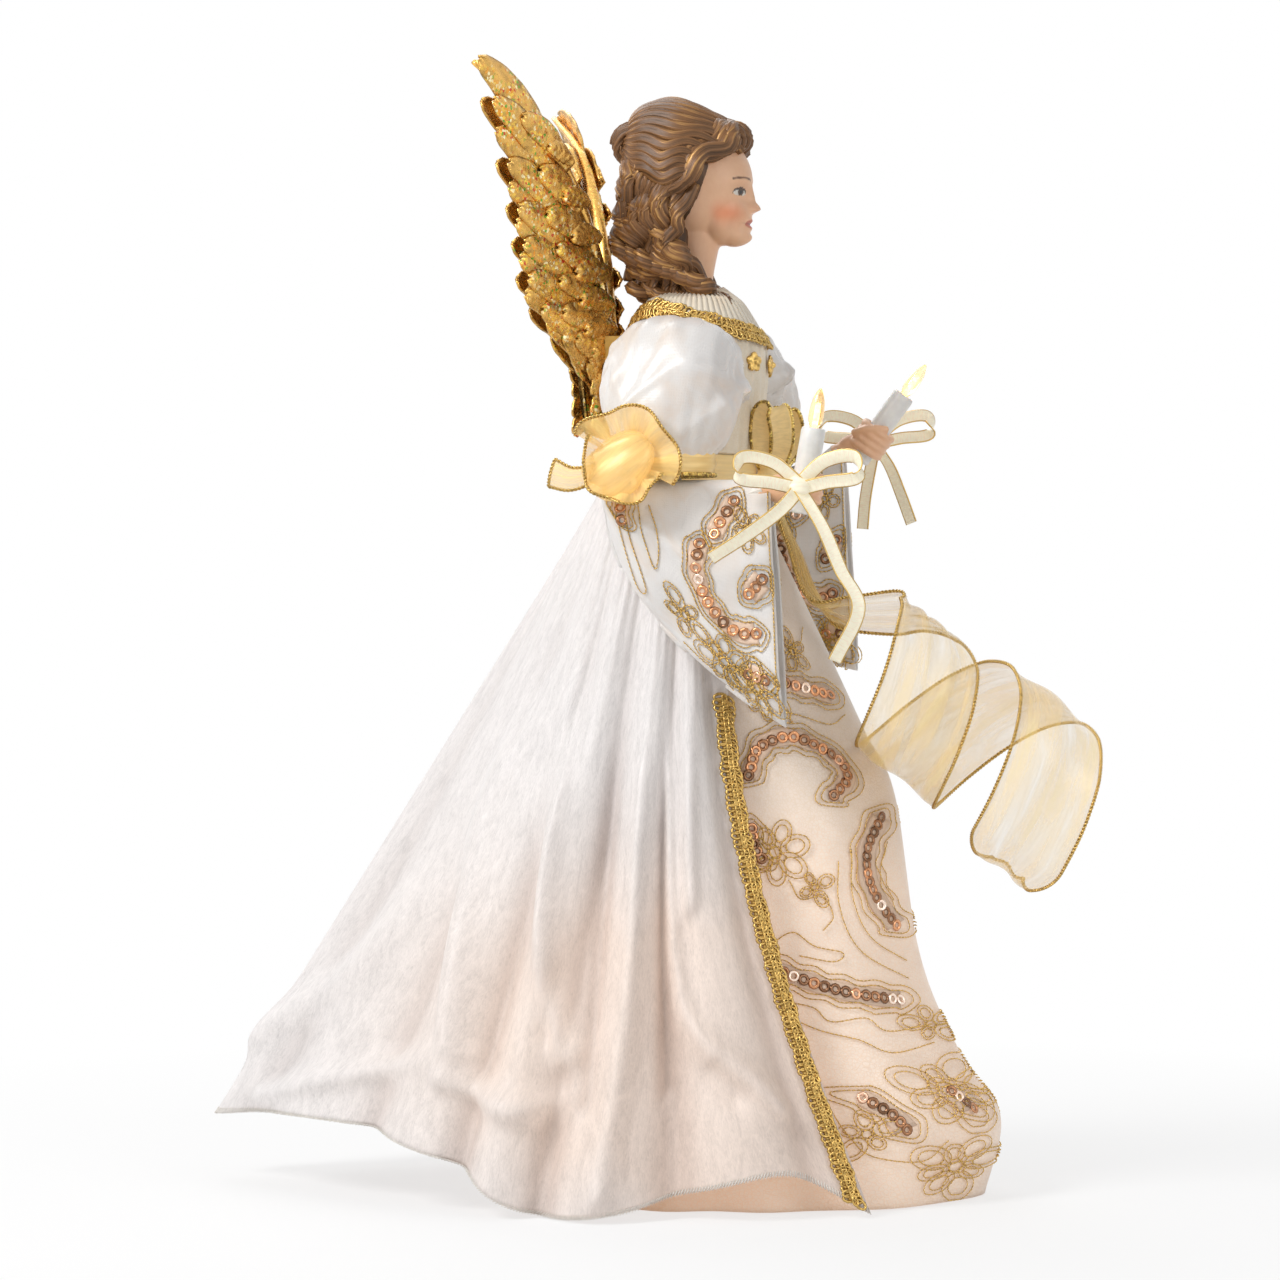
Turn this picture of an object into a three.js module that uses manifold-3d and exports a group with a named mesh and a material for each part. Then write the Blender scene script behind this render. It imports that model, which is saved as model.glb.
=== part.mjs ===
// Angel tree topper: a dressed figure on a hollow stand cone, holding two lit candles.
// Millimetres and degrees; the figure faces -Y, its right hand is at -X, and +Z is up.
import * as THREE from "three";
import { mergeVertices } from "three/addons/utils/BufferGeometryUtils.js";
import Module from "manifold-3d";

const wasm = await Module();
wasm.setup();

// Clearance between neighbouring pieces, how far a cut runs past a face, and a reach beyond the whole figure
const FIT = 0.4;
const OVERCUT = 1;
const BEYOND = 500;

// Stand cone
const CONE_HEIGHT = 228;
const CONE_BASE_RADIUS = 46;
const CONE_TOP_RADIUS = 15;
const CONE_WALL = 1.6;
const RIM_WIDTH = 5;
const RIM_THICKNESS = 2.4;

// Facets of round pieces, and of ovals as around and down
const CONE_SIDES = 24;
const OVAL_SIDES = 18;
const FLAME_SIDES = 12;
const ROUND_SIDES = 8;
const LAMP_SIDES = 6;
const TUBE_SIDES = 7;
const WIRE_SIDES = 5;
const FINE_OVAL = [18, 11];
const OVAL = [12, 8];
const SMALL_OVAL = [8, 6];

// Lamp set
const LAMP_COUNT = 8;
const LAMP_HEIGHT = 46;
const HOLDER_RADIUS = 3.2;
const HOLDER_DEPTH = 11;
const HOLDER_FLANGE_RADIUS = 4.6;
const HOLDER_FLANGE_THICKNESS = 1.2;
const SOCKET_RADIUS = 2;
const SOCKET_DEPTH = 7;
const LAMP_RADIUS = 2.5;
const LAMP_GLASS_LENGTH = 8.5;
const LAMP_OUTLINE = [
  [0.55, 0],
  [1, 0.25],
  [0.85, 0.65],
  [0.35, 0.92],
];
const WIRE_RADIUS = 1.1;
const WIRE_RING_START_ANGLE = 110;
const WIRE_RING_SWEEP_ANGLE = 310;
const WIRE_RING_RISE = 8;
const WIRE_RING_STEPS = 14;
const WIRE_STEPS = 64;
const WIRE_CLIMB_SHARES = [0.35, 0.55, 0.75, 0.88];
const INLET_HEIGHT = 12;
const GROMMET_RADIUS = 4;
const GROMMET_LIP = 1.4;

// Torso, neck and head
const PLUG_DEPTH = 12;
const TORSO_WIDTH_RATIO = 1.35;
const TORSO_WAIST_RADIUS = 16.5;
const TORSO_CHEST_RADIUS = 22;
// Rises, each above the one before: waist over the cone, chest, shoulder, neck's base, head's middle
const WAIST_RISE = 22;
const CHEST_RISE = 33;
const SHOULDER_RISE = 13;
const NECK_RISE = 16;
const HEAD_RISE = 40;
const WAIST_TAPER = 3;
const SHOULDER_TAPER = 0.8;
const NECK_SPREAD = 3;
const NECK_SLOPE = 5;
const TORSO_STEPS = 9;
const NECK_RADIUS = 8;
const NECK_SOCKET_DEPTH = 9;
const TORSO_BORE_RADIUS = 3.2;
const ARMHOLE_REACH = 26;
const HEAD_HALF_WIDTH = 16.5;
const HEAD_HALF_DEPTH = 19;
const HEAD_HALF_HEIGHT = 21.5;
const JAW_SHARES = [0.7, 0.5, 0.52];
const NOSE_HALF = [2.3, 3.2, 3.6];
const NOSE_DROP = 7;
const NOSE_OUT = 1.6;
const HAIR_THICKNESS = 4.6;
const HAIR_BACKSET = 2.5;
const HAIRLINE_RISE = 9;
const FACE_BACK = -2;
const NAPE_BACKSET = 9;
const NAPE_DROP = 19;
const NAPE_HALF = [16.5, 12, 17];
const BUN_RISE = 12;
const BUN_HALF = [11, 8, 8];
const LOCK_RADIUS = 3.4;
const LOCK_STEPS = 5;
// Side lock route: in from the head's side, back, and down from its middle
const LOCK_ROUTE = [
  [0, 4, 6],
  [1, 3, 20],
  [3, -3, 31],
  [5, -11, 36],
];

// Shoulder wire and arms, with the right arm's pose as the neutral one
const SHOULDER_BACKSET = 10;
const SHOULDER_WIRE_RADIUS = 1.5;
const SHOULDER_WIRE_GRIP = 10;
const ARM_RADIUS = 4;
const ARM_STEPS = 14;
const KNOB_RADIUS = 5.5;
const KNOB_CAP = 2;
// Upper arm and elbow bends, each as an offset from the shoulder knob's end or the elbow
const SHOULDER_BENDS = [
  [-4, 0, -1],
  [4, -1, -12],
];
const ELBOW_BENDS = [
  [-2, 4, 20.5],
  [-1, 2, 10],
  [0.5, -4, -1],
];
const FOREARM_OUT = 3;
const FOREARM_SAG = 4.5;
// Joints of the arm: out from the middle, back, and down from the shoulder
const ELBOW_PLACE = [52, 2, -53];
const RIGHT_WRIST_PLACE = [58, -33, -54];
const LEFT_WRIST_PLACE = [58, -30, -51];
const RIGHT_ARM_ANGLE = 0;
const LEFT_ARM_ANGLE = 18;
const RIGHT_CANDLE_ANGLE = 10;
const LEFT_CANDLE_ANGLE = 36;
const HAND_REACH = 13;
const HAND_HALF_WIDTH = 4.6;
const HAND_HALF_HEIGHT = 5;
const HAND_RISE = 0.5;
const GRIP_RISE = 1;
const FINGER_RADIUS = 1.3;
const FINGER_COUNT = 4;

// Candle and flame lamp
const CANDLE_RADIUS = 4.1;
const CANDLE_WALL = 1.1;
const CANDLE_ABOVE_HAND = 20;
const CANDLE_BELOW_HAND = 9;
const HOLDER_WALL = 0.8;
const FLAME_LENGTH = 13.5;

// Bodice and waist
const CLOTH = 1.4;
const BODICE_CLOTH = 2;
const COLLAR_SETDOWN = 2;
const SASH_HEIGHT = 12;
const COLLAR_DEPTH = 12;
const BODICE_ROWS = 7;
const COLLAR_ROWS = 2;
const SHOULDER_STEP = 20;
const BEAD_RADIUS = 3.4;
const BEAD_DROP = 22;
const SIDE_BEAD_ANGLE = 28;

// Gown
const GOWN_TOP_HALF_WIDTH = 24.6;
const GOWN_TOP_REACH = 20;
// Room between the cone's foot and the gown's hem, at the sides and at the back
const GOWN_SIDE_ROOM = 14;
const GOWN_BACK_ROOM = 20;
const GOWN_FOLD = 1.6;
const GOWN_FOLDS = 12;
const SKIRT_ROWS = 7;
// Front line of the gown below the waist, as share of its height and reach
const GOWN_FRONT = [
  [0.82, 41],
  [0.66, 59],
  [0.56, 70],
  [0.36, 77],
  [0.2, 92],
  [0.1, 106],
  [0, 100],
];
const REACH_HALVINGS = 24;

// Overskirt
const TRAIN_REACH = 172;
const OVERSKIRT_TOP_GAP = 2;
const OVERSKIRT_BUSTLE = 10;
const BUSTLE_POWER = 8;
const FRONT_EDGE_SWAY = 15;
const FRONT_SWAY_SHARE = 0.2;
const SWAY_POWER = 0.9;
const SWAY_OUT_SHARE = 0.45;
const NORMAL_STEP = 0.004;
const OVERSKIRT_FRONT_ANGLE = 55;
const OVERSKIRT_FOLD = 4.5;
const OVERSKIRT_FOLDS = 12;
// Hem points from the right front edge to the middle of the train:
// shares of the gown's half-width and of the train's reach, then up
const HEM_POINTS = [
  [0.92, -0.39, 1.5],
  [1.15, -0.25, 15],
  [1.28, -0.08, 10],
  [1.37, 0.08, 3],
  [1.38, 0.245, 1.5],
  [1.3, 0.36, 12],
  [1.08, 0.51, 22],
  [0.78, 0.66, 26],
  [0.4, 0.85, 26],
  [0, 1, 23],
];
const BRAID_WIDTH_SHARE = 0.018;
const BRAID_TOP_SHARE = 0.3;
const BRAID_THICKNESS = 1.5;
const BRAID_ROWS = 16;

// Sleeves
const PUFF_HALF = [17, 22.5, 19];
const PUFF_DROP = 13;
const PUFF_FORWARD = -1;
const PUFF_FOLDS = 9;
const PUFF_FOLD = 0.05;
const PUFF_ROWS = 8;
const PUFF_TUCK = 1;
const BAND_OFFSET = [-1, -1];
const BAND_HALF_WIDTH = 12;
const BAND_HALF_DEPTH = 16;
const BAND_HEIGHT = 10.5;
const BAND_DROP = 48.5;
const ROSETTE_RADIUS = 16;
const ROSETTE_DEPTH = 10;
const ROSETTE_BACK = 13;
const ROSETTE_FLUTES = 9;
const ROSETTE_FLUTE = 0.08;
const ROSETTE_ROWS = 4;
const SLEEVE_BACK_END = 21;
const SLEEVE_ELBOW_DROP = 11;
const SLEEVE_OPENING_DROP = 83;
const SLEEVE_ELBOW_HALF_WIDTH = 8.6;
const SLEEVE_OPENING_HALF_WIDTH = 8;
const SLEEVE_HEM_SLANT = 5;
const SLEEVE_DROP_POWER = 0.55;
const SLEEVE_RISE_POWER = 5;
const SLEEVE_WAVE = 0.12;
const SLEEVE_WAVES = 3;
const SLEEVE_ROWS = 6;
const SLEEVE_OUT = 2;
const CUFF_SETBACK = 2;

// Ribbons
const RIBBON_THICKNESS = 0.8;
const BOW_RIBBON_WIDTH = 5;
const BOW_KNOT_HALF = [2.6, 3.6, 3.6];
const BOW_LOOP_STEPS = 9;
const BOW_TAIL_STEPS = 7;
// Candle bow routes from its knot: outward, forward and up
const BOW_LOOP = [
  [0, 0, 0.7],
  [3, 9, 8],
  [4.5, 19, 9],
  [4, 20, 3],
  [2, 9, 1],
  [0, 0, -1],
];
// The right bow's tails are long and spread wide; the left bow's hang short and close
const RIGHT_BOW_TAILS = [
  [
    [0.5, 0, -1],
    [3, -6, -8],
    [5, -18, -17],
    [5, -29, -24],
  ],
  [
    [0.5, 0, -1],
    [3, 8, -14],
    [3, 14, -28],
    [4, 20, -40],
    [3, 12, -58],
  ],
];
const LEFT_BOW_TAILS = [
  [
    [0.5, 0, -1],
    [3, -2, -10],
    [4, -4, -21],
    [4, -5, -32],
  ],
  [
    [0.5, 0, -1],
    [3, 5, -9],
    [4, 9, -19],
    [4, 13, -30],
  ],
];
const SASH_KNOT_HALF = [5, 4, 6];
const SASH_LOOP_WIDTH = 5.6;
const SASH_LOOP_ROOT_WIDTH = 4;
const SASH_LOOP_STEPS = 14;
// Sash loop route from the sash's front at the waist: outward, forward and up
const SASH_LOOP = [
  [1, 4, 1],
  [9, 3, 9],
  [13, 5, 21],
  [15, 9, 22],
  [13, 11, 12],
  [1, 6, -1],
];
const STREAMER_WIDTH = 33;
const STREAMER_ROOT_WIDTH = 7;
const STREAMER_TURNING = [0, 0.12];
const STREAMER_OPENING = [0.06, 0.26];
const STREAMER_STEPS = 60;
const STREAMER_CURL_STEPS = 17;
// Where the streamer falls from the knot, and the two ends of its curl's axis, all from the knot
const STREAMER_FALL = [-4, -9, -26];
const STREAMER_BEND = [-20, -22, -47];
const STREAMER_CURL_START = [-27, -41, -67];
const STREAMER_CURL_END = [-4, -103, -116];
const STREAMER_START_ANGLE = 335;
const STREAMER_TURNS = 1.62;
const STREAMER_START_RADIUS = 23;
const STREAMER_END_RADIUS = 30;

// Wings
const WING_SWEEP_ANGLE = 27;
const WING_THICKNESS = 3;
const WING_ROOT_DROP = 1;
const WING_ROOT_GAP = 6;
// Leading edge of a wing from its root up to the tip, then its feather tips going down: outward and up
const WING_EDGE = [
  [0, -32],
  [0, 12],
  [4, 30],
  [14, 50],
  [23, 62],
  [33, 72],
  [45, 79],
  [71, 91],
];
const FEATHER_TIPS = [
  [61, 68],
  [54, 50],
  [50, 38],
  [48, 26],
  [45, 14],
  [33, 6],
  [20, 0],
];
const WING_FOOT = [
  [11, -8],
  [9, -32],
];
const FEATHER_NOTCH = 5;
const FEATHER_BULGE = 1;
const FEATHER_BULGE_SHARE = 0.4;
const FEATHER_CURVE_STEPS = 4;
const BRACKET_HALF_WIDTH = 13;
const BRACKET_THICKNESS = 5;
const BRACKET_RISE = 2;
const BRACKET_HEIGHT = 32;
const LUG_THICKNESS = 3;
const LUG_OVERLAP = 5;
const SCREW_RADIUS = 1.2;
const SCREW_HEAD_RADIUS = 2.4;
const SCREW_HEAD_THICKNESS = 1.4;
const SCREW_LENGTH = 7;
const SCREW_OUT = 5.5;

// Heights that follow from the rises and drops
const waistHeight = CONE_HEIGHT + WAIST_RISE;
const chestHeight = waistHeight + CHEST_RISE;
const shoulderHeight = chestHeight + SHOULDER_RISE;
const neckBase = shoulderHeight + NECK_RISE;
const headHeight = neckBase + HEAD_RISE;
const bodiceTop = neckBase - COLLAR_SETDOWN;
const puffHeight = shoulderHeight - PUFF_DROP;
const bandBottom = shoulderHeight - BAND_DROP;
const bracketTop = shoulderHeight + BRACKET_RISE;
const bracketBottom = bracketTop - BRACKET_HEIGHT;

const mix = THREE.MathUtils.lerp;
const radians = THREE.MathUtils.degToRad;
const point = (x, y, z) => new THREE.Vector3(x, y, z);
const FULL_TURN = 2 * Math.PI;
const WELD = 1e-3;

// Closed bodies from points and faces
function closedGeometry(points, faces) {
  const volume = faces.reduce(
    (sum, [a, b, c]) => sum + points[a].dot(points[b].clone().cross(points[c])),
    0,
  );
  const outward = volume > 0 ? faces : faces.map(([a, b, c]) => [a, c, b]);
  const geometry = new THREE.BufferGeometry();
  const values = points.flatMap((p) => p.toArray());
  geometry.setAttribute("position", new THREE.Float32BufferAttribute(values, 3));
  geometry.setIndex(outward.flat());
  return geometry;
}

// Any closed three.js geometry as welded points and faces that face out
function welded(geometry) {
  const loose = geometry.index ? geometry.toNonIndexed() : geometry;
  const bare = new THREE.BufferGeometry();
  bare.setAttribute("position", loose.getAttribute("position"));
  const merged = mergeVertices(bare, WELD);
  const place = merged.getAttribute("position");
  const points = [...Array(place.count).keys()].map((i) => point().fromBufferAttribute(place, i));
  const index = [...merged.index.array];
  const faces = [];
  for (let i = 0; i < index.length; i += 3) {
    const face = index.slice(i, i + 3);
    if (new Set(face).size === 3) faces.push(face);
  }
  return closedGeometry(points, faces);
}

function solidOf(geometry) {
  const body = welded(geometry);
  return new wasm.Manifold(
    new wasm.Mesh({
      numProp: 3,
      vertProperties: body.getAttribute("position").array,
      triVerts: new Uint32Array(body.index.array),
    }),
  );
}

function geometryOf(solid) {
  const mesh = solid.getMesh();
  const geometry = new THREE.BufferGeometry();
  const values = new Float32Array(mesh.vertProperties);
  geometry.setAttribute("position", new THREE.BufferAttribute(values, 3));
  geometry.setIndex([...mesh.triVerts]);
  return geometry;
}

const combine = (first, others, act) =>
  geometryOf(others.reduce((whole, other) => act(whole, solidOf(other)), solidOf(first)));
const joined = (first, ...others) => combine(first, others, (a, b) => a.add(b));
const cutBy = (first, ...others) => combine(first, others, (a, b) => a.subtract(b));
const within = (first, ...others) => combine(first, others, (a, b) => a.intersect(b));

// A skin with an outer and an inner face: place(across, down, side), side 0 outside and 1 inside
function skin(place, across, down, wraps) {
  const columns = wraps ? across : across + 1;
  const at = (side, i, j) => (side * (down + 1) + j) * columns + (i % columns);
  const points = [];
  for (const side of [0, 1])
    for (let j = 0; j <= down; j++)
      for (let i = 0; i < columns; i++) points.push(place(i / across, j / down, side));
  const faces = [];
  const quad = (a, b, c, d) => faces.push([a, b, c], [a, c, d]);
  for (let i = 0; i < across; i++) {
    for (let j = 0; j < down; j++) {
      quad(at(0, i, j), at(0, i + 1, j), at(0, i + 1, j + 1), at(0, i, j + 1));
      quad(at(1, i, j), at(1, i, j + 1), at(1, i + 1, j + 1), at(1, i + 1, j));
    }
    quad(at(0, i + 1, 0), at(0, i, 0), at(1, i, 0), at(1, i + 1, 0));
    quad(at(0, i, down), at(0, i + 1, down), at(1, i + 1, down), at(1, i, down));
  }
  if (!wraps)
    for (let j = 0; j < down; j++) {
      quad(at(0, 0, j), at(0, 0, j + 1), at(1, 0, j + 1), at(1, 0, j));
      quad(at(0, across, j + 1), at(0, across, j), at(1, across, j), at(1, across, j + 1));
    }
  return closedGeometry(points, faces);
}

// A body through closed rings of points, with both ends capped. Opposite sides are cut along like
// diagonals, so that the two faces of a twisted ribbon stay parallel
function lofted(rings) {
  const sides = rings[0].length;
  const middle = (ring) => ring.reduce((sum, p) => sum.add(p), point(0, 0, 0)).divideScalar(sides);
  const points = [...rings.flat(), middle(rings[0]), middle(rings.at(-1))];
  const faces = [];
  for (let i = 0; i < sides; i++) {
    const next = (i + 1) % sides;
    for (let j = 0; j < rings.length - 1; j++) {
      const low = j * sides;
      const high = low + sides;
      const near = [[low + i, low + next, high + next], [low + i, high + next, high + i]];
      const far = [[low + i, low + next, high + i], [low + next, high + next, high + i]];
      faces.push(...(i < sides / 2 ? near : far));
    }
    const last = (rings.length - 1) * sides;
    faces.push([points.length - 2, next, i], [points.length - 1, last + i, last + next]);
  }
  return closedGeometry(points, faces);
}

// Turned pieces about +Z, from [radius, height] pairs
function turned(profile, sides) {
  const pairs = profile.map(([radius, height]) => new THREE.Vector2(radius, height));
  const open = profile[0][0] > 0;
  const loop = open ? [...pairs, pairs[0]] : pairs;
  return new THREE.LatheGeometry(loop, sides).rotateX(Math.PI / 2);
}

const rod = (radius, low, high, sides = ROUND_SIDES) =>
  turned([[0, low], [radius, low], [radius, high], [0, high]], sides);

function block(low, high) {
  const size = high.map((value, i) => value - low[i]);
  const middle = high.map((value, i) => (value + low[i]) / 2);
  return new THREE.BoxGeometry(...size).translate(...middle);
}

function ellipsoid(centre, halves, [around, down]) {
  return new THREE.SphereGeometry(1, around, down).rotateX(Math.PI / 2).scale(...halves).translate(...centre);
}

// A round tube along a smooth route
function tube(route, radius, steps, sides) {
  const circle = new THREE.EllipseCurve(0, 0, radius, radius).getPoints(sides);
  const section = new THREE.Shape(circle.slice(0, sides));
  const path = new THREE.CatmullRomCurve3(route.map((p) => point(...p)));
  return new THREE.ExtrudeGeometry(section, { steps, extrudePath: path, bevelEnabled: false });
}

// A flat ribbon along a smooth route; the width lies along the given direction
function ribbon(route, widthAlong, widthAt, steps) {
  const path = new THREE.CatmullRomCurve3(route.map((p) => point(...p)), false, "centripetal");
  const rings = [];
  for (let i = 0; i <= steps; i++) {
    const share = i / steps;
    const along = path.getTangent(share);
    const across = widthAlong(share).clone();
    across.addScaledVector(along, -across.dot(along)).normalize();
    const normal = along.clone().cross(across);
    const half = across.multiplyScalar(widthAt(share) / 2);
    const thick = normal.multiplyScalar(RIBBON_THICKNESS / 2);
    const centre = path.getPoint(share);
    rings.push(
      [[-1, -1], [1, -1], [1, 1], [-1, 1]].map(([w, n]) =>
        centre.clone().addScaledVector(half, w).addScaledVector(thick, n),
      ),
    );
  }
  return lofted(rings);
}

// Named nodes
const angel = new THREE.Group();
angel.name = "angel_topper";

function section(name) {
  const group = new THREE.Group();
  group.name = name;
  angel.add(group);
  return group;
}

function node(group, name, geometry, look) {
  const body = welded(geometry);
  body.computeVertexNormals();
  const [color, roughness, metalness] = look;
  const mesh = new THREE.Mesh(body, new THREE.MeshStandardMaterial({ color, roughness, metalness }));
  mesh.name = name;
  group.add(mesh);
}

// Looks: colour, roughness, metalness
const IVORY_BOARD = [0xe9e2d2, 0.8, 0];
const WHITE_PLASTIC = [0xf1efe8, 0.45, 0];
const LAMP_WIRE = [0xe6dfd0, 0.6, 0];
const CLEAR_GLASS = [0xfff1d6, 0.08, 0];
const SKIN = [0xf0c8ac, 0.55, 0];
const HAIR = [0x5b3a22, 0.5, 0.1];
const SATIN = [0xf3efe6, 0.35, 0];
const EMBROIDERED = [0xe8d9ba, 0.45, 0];
const VELVET = [0xf4f0ea, 0.7, 0];
const GOLD_RIBBON = [0xc9a252, 0.4, 0.35];
const GOLD_BRAID = [0xb98f3c, 0.45, 0.5];
const GOLD_ORGANZA = [0xd8b978, 0.4, 0.15];
const WING_GOLD = [0xa8843f, 0.4, 0.7];
const STEEL = [0xb8b8b8, 0.35, 1];
const RUBBER = [0xd9d2c2, 0.8, 0];
const CANDLE_WHITE = [0xf6f3ea, 0.4, 0];

// Stand cone, lamps and wiring
const coneRadius = (height) => mix(CONE_BASE_RADIUS, CONE_TOP_RADIUS, height / CONE_HEIGHT);
const coneLean = Math.atan((CONE_BASE_RADIUS - CONE_TOP_RADIUS) / CONE_HEIGHT);

// A frame on the cone's outer wall with +Z pointing straight out of it
function wallFrame(angle, height) {
  return new THREE.Matrix4()
    .makeRotationZ(angle)
    .multiply(new THREE.Matrix4().makeTranslation(coneRadius(height), 0, height))
    .multiply(new THREE.Matrix4().makeRotationY(Math.PI / 2 - coneLean));
}

const lampFrames = [...Array(LAMP_COUNT).keys()].map((i) =>
  wallFrame(((i + 0.5) / LAMP_COUNT) * FULL_TURN, LAMP_HEIGHT),
);
const inletFrame = wallFrame(Math.PI / 2, INLET_HEIGHT);

function baseCone() {
  const shell = turned(
    [
      [CONE_BASE_RADIUS + RIM_WIDTH, 0],
      [CONE_BASE_RADIUS + RIM_WIDTH, RIM_THICKNESS],
      [coneRadius(RIM_THICKNESS), RIM_THICKNESS],
      [CONE_TOP_RADIUS, CONE_HEIGHT],
      [CONE_TOP_RADIUS - CONE_WALL, CONE_HEIGHT],
      [CONE_BASE_RADIUS - CONE_WALL, 0],
    ],
    CONE_SIDES,
  );
  const hole = (radius, frame) => rod(radius, -2 * CONE_WALL, 2 * CONE_WALL, LAMP_SIDES).applyMatrix4(frame);
  const lampHoles = lampFrames.map((frame) => hole(HOLDER_RADIUS + FIT, frame));
  return cutBy(shell, ...lampHoles, hole(GROMMET_RADIUS + FIT, inletFrame));
}

const flangeTop = FIT + HOLDER_FLANGE_THICKNESS;

function lampHolder() {
  return turned(
    [
      [0, flangeTop - SOCKET_DEPTH],
      [SOCKET_RADIUS, flangeTop - SOCKET_DEPTH],
      [SOCKET_RADIUS, flangeTop],
      [HOLDER_FLANGE_RADIUS, flangeTop],
      [HOLDER_FLANGE_RADIUS, FIT],
      [HOLDER_RADIUS, FIT],
      [HOLDER_RADIUS, -HOLDER_DEPTH],
      [0, -HOLDER_DEPTH],
    ],
    LAMP_SIDES,
  );
}

// A lamp whose stem reaches down from height 0 and whose glass stands above it
function lamp(stemRadius, stemLength, glassLength, sides) {
  const glass = LAMP_OUTLINE.map(([wide, high]) => [LAMP_RADIUS * wide, FIT + glassLength * high]);
  const stem = Math.min(stemRadius, glass[0][0]);
  return turned([[0, -stemLength], [stem, -stemLength], ...glass, [0, FIT + glassLength]], sides);
}

const grommet = () =>
  turned(
    [
      [WIRE_RADIUS + FIT, -CONE_WALL - FIT - GROMMET_LIP],
      [GROMMET_RADIUS, -CONE_WALL - FIT - GROMMET_LIP],
      [GROMMET_RADIUS, FIT],
      [GROMMET_RADIUS + GROMMET_LIP, FIT],
      [GROMMET_RADIUS + GROMMET_LIP, FIT + GROMMET_LIP],
      [WIRE_RADIUS + FIT, FIT + GROMMET_LIP],
    ],
    LAMP_SIDES,
  );

// The lamp wiring: in at the grommet, round behind the holders, up the back wall and into the torso
function lampWire() {
  const ringRadius = coneRadius(LAMP_HEIGHT) - HOLDER_DEPTH - 2 * FIT - WIRE_RADIUS;
  const outside = point(0, 0, GROMMET_LIP).applyMatrix4(inletFrame);
  const inside = point(0, 0, -3 * CONE_WALL).applyMatrix4(inletFrame);
  const route = [outside.toArray(), inside.toArray()];
  for (let i = 0; i <= WIRE_RING_STEPS; i++) {
    const share = i / WIRE_RING_STEPS;
    const angle = radians(WIRE_RING_START_ANGLE + share * WIRE_RING_SWEEP_ANGLE);
    const height = LAMP_HEIGHT + WIRE_RING_RISE * (share - 1 / 2);
    route.push([ringRadius * Math.cos(angle), ringRadius * Math.sin(angle), height]);
  }
  const wallInset = CONE_WALL + WIRE_RADIUS + 6 * FIT;
  for (const share of WIRE_CLIMB_SHARES) {
    const height = share * CONE_HEIGHT;
    route.push([0, coneRadius(height) - wallInset, height]);
  }
  const plugFoot = CONE_HEIGHT - PLUG_DEPTH - 2 * WIRE_RADIUS;
  route.push([0, WIRE_RADIUS, plugFoot], [0, 0, CONE_HEIGHT], [0, 0, shoulderHeight - PLUG_DEPTH]);
  return tube(route, WIRE_RADIUS, WIRE_STEPS, WIRE_SIDES);
}

// Torso: an oval core with flat armholes, a plug in the cone's mouth and a socket for the neck
const torsoOutline = new THREE.SplineCurve([
  new THREE.Vector2(TORSO_WAIST_RADIUS - WAIST_TAPER, CONE_HEIGHT + FIT),
  new THREE.Vector2(TORSO_WAIST_RADIUS, waistHeight),
  new THREE.Vector2(TORSO_CHEST_RADIUS, chestHeight),
  new THREE.Vector2(TORSO_CHEST_RADIUS - SHOULDER_TAPER, shoulderHeight),
  new THREE.Vector2((TORSO_CHEST_RADIUS + NECK_RADIUS) / 2, neckBase - NECK_SLOPE),
  new THREE.Vector2(NECK_RADIUS + NECK_SPREAD, neckBase),
]);
const torsoPairs = torsoOutline.getPoints(TORSO_STEPS).map((p) => p.toArray());

// Radius of the torso's oval along Y at a height
function torsoRadius(height) {
  const next = torsoPairs.findIndex(([, level]) => level >= height);
  const above = Math.max(1, next < 0 ? torsoPairs.length - 1 : next);
  const [lowRadius, lowLevel] = torsoPairs[above - 1];
  const [highRadius, highLevel] = torsoPairs[above];
  return mix(lowRadius, highRadius, (height - lowLevel) / (highLevel - lowLevel));
}

const armholeSlab = (reach) => block([-reach, -BEYOND, 0], [reach, BEYOND, BEYOND]);
const shoulderRod = (radius, reach) =>
  rod(radius, -reach, reach)
    .rotateY(Math.PI / 2)
    .translate(0, SHOULDER_BACKSET, shoulderHeight);

function torso() {
  const top = [0, neckBase];
  const profile = [[0, CONE_HEIGHT + FIT], ...torsoPairs, top];
  const body = turned(profile, OVAL_SIDES).scale(TORSO_WIDTH_RATIO, 1, 1);
  const plugFoot = CONE_HEIGHT - PLUG_DEPTH;
  const plug = rod(CONE_TOP_RADIUS - CONE_WALL - FIT, plugFoot, CONE_HEIGHT + OVERCUT, OVAL_SIDES);
  const whole = within(joined(body, plug), armholeSlab(ARMHOLE_REACH));
  const socketFloor = neckBase - NECK_SOCKET_DEPTH;
  return cutBy(
    whole,
    rod(TORSO_BORE_RADIUS, plugFoot - OVERCUT, socketFloor + OVERCUT),
    rod(NECK_RADIUS + FIT, socketFloor, neckBase + OVERCUT, OVAL_SIDES),
    shoulderRod(SHOULDER_WIRE_RADIUS + FIT, ARMHOLE_REACH + OVERCUT),
  );
}

// Point on an oval some way out from the torso; turn 0 is the front
function torsoSpot(turn, height, out) {
  const radius = torsoRadius(height) + out;
  const angle = turn * FULL_TURN;
  return point(radius * TORSO_WIDTH_RATIO * Math.sin(angle), -radius * Math.cos(angle), height);
}

// An oval skin that follows the torso between two heights
function torsoSkin(low, high, inset, outset, down) {
  const place = (turn, drop, side) => torsoSpot(turn, mix(high, low, drop), side ? inset : outset);
  return skin(place, OVAL_SIDES, down, true);
}

const bodiceBottom = waistHeight + FIT;
const bodiceOutset = FIT + BODICE_CLOTH;

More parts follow.
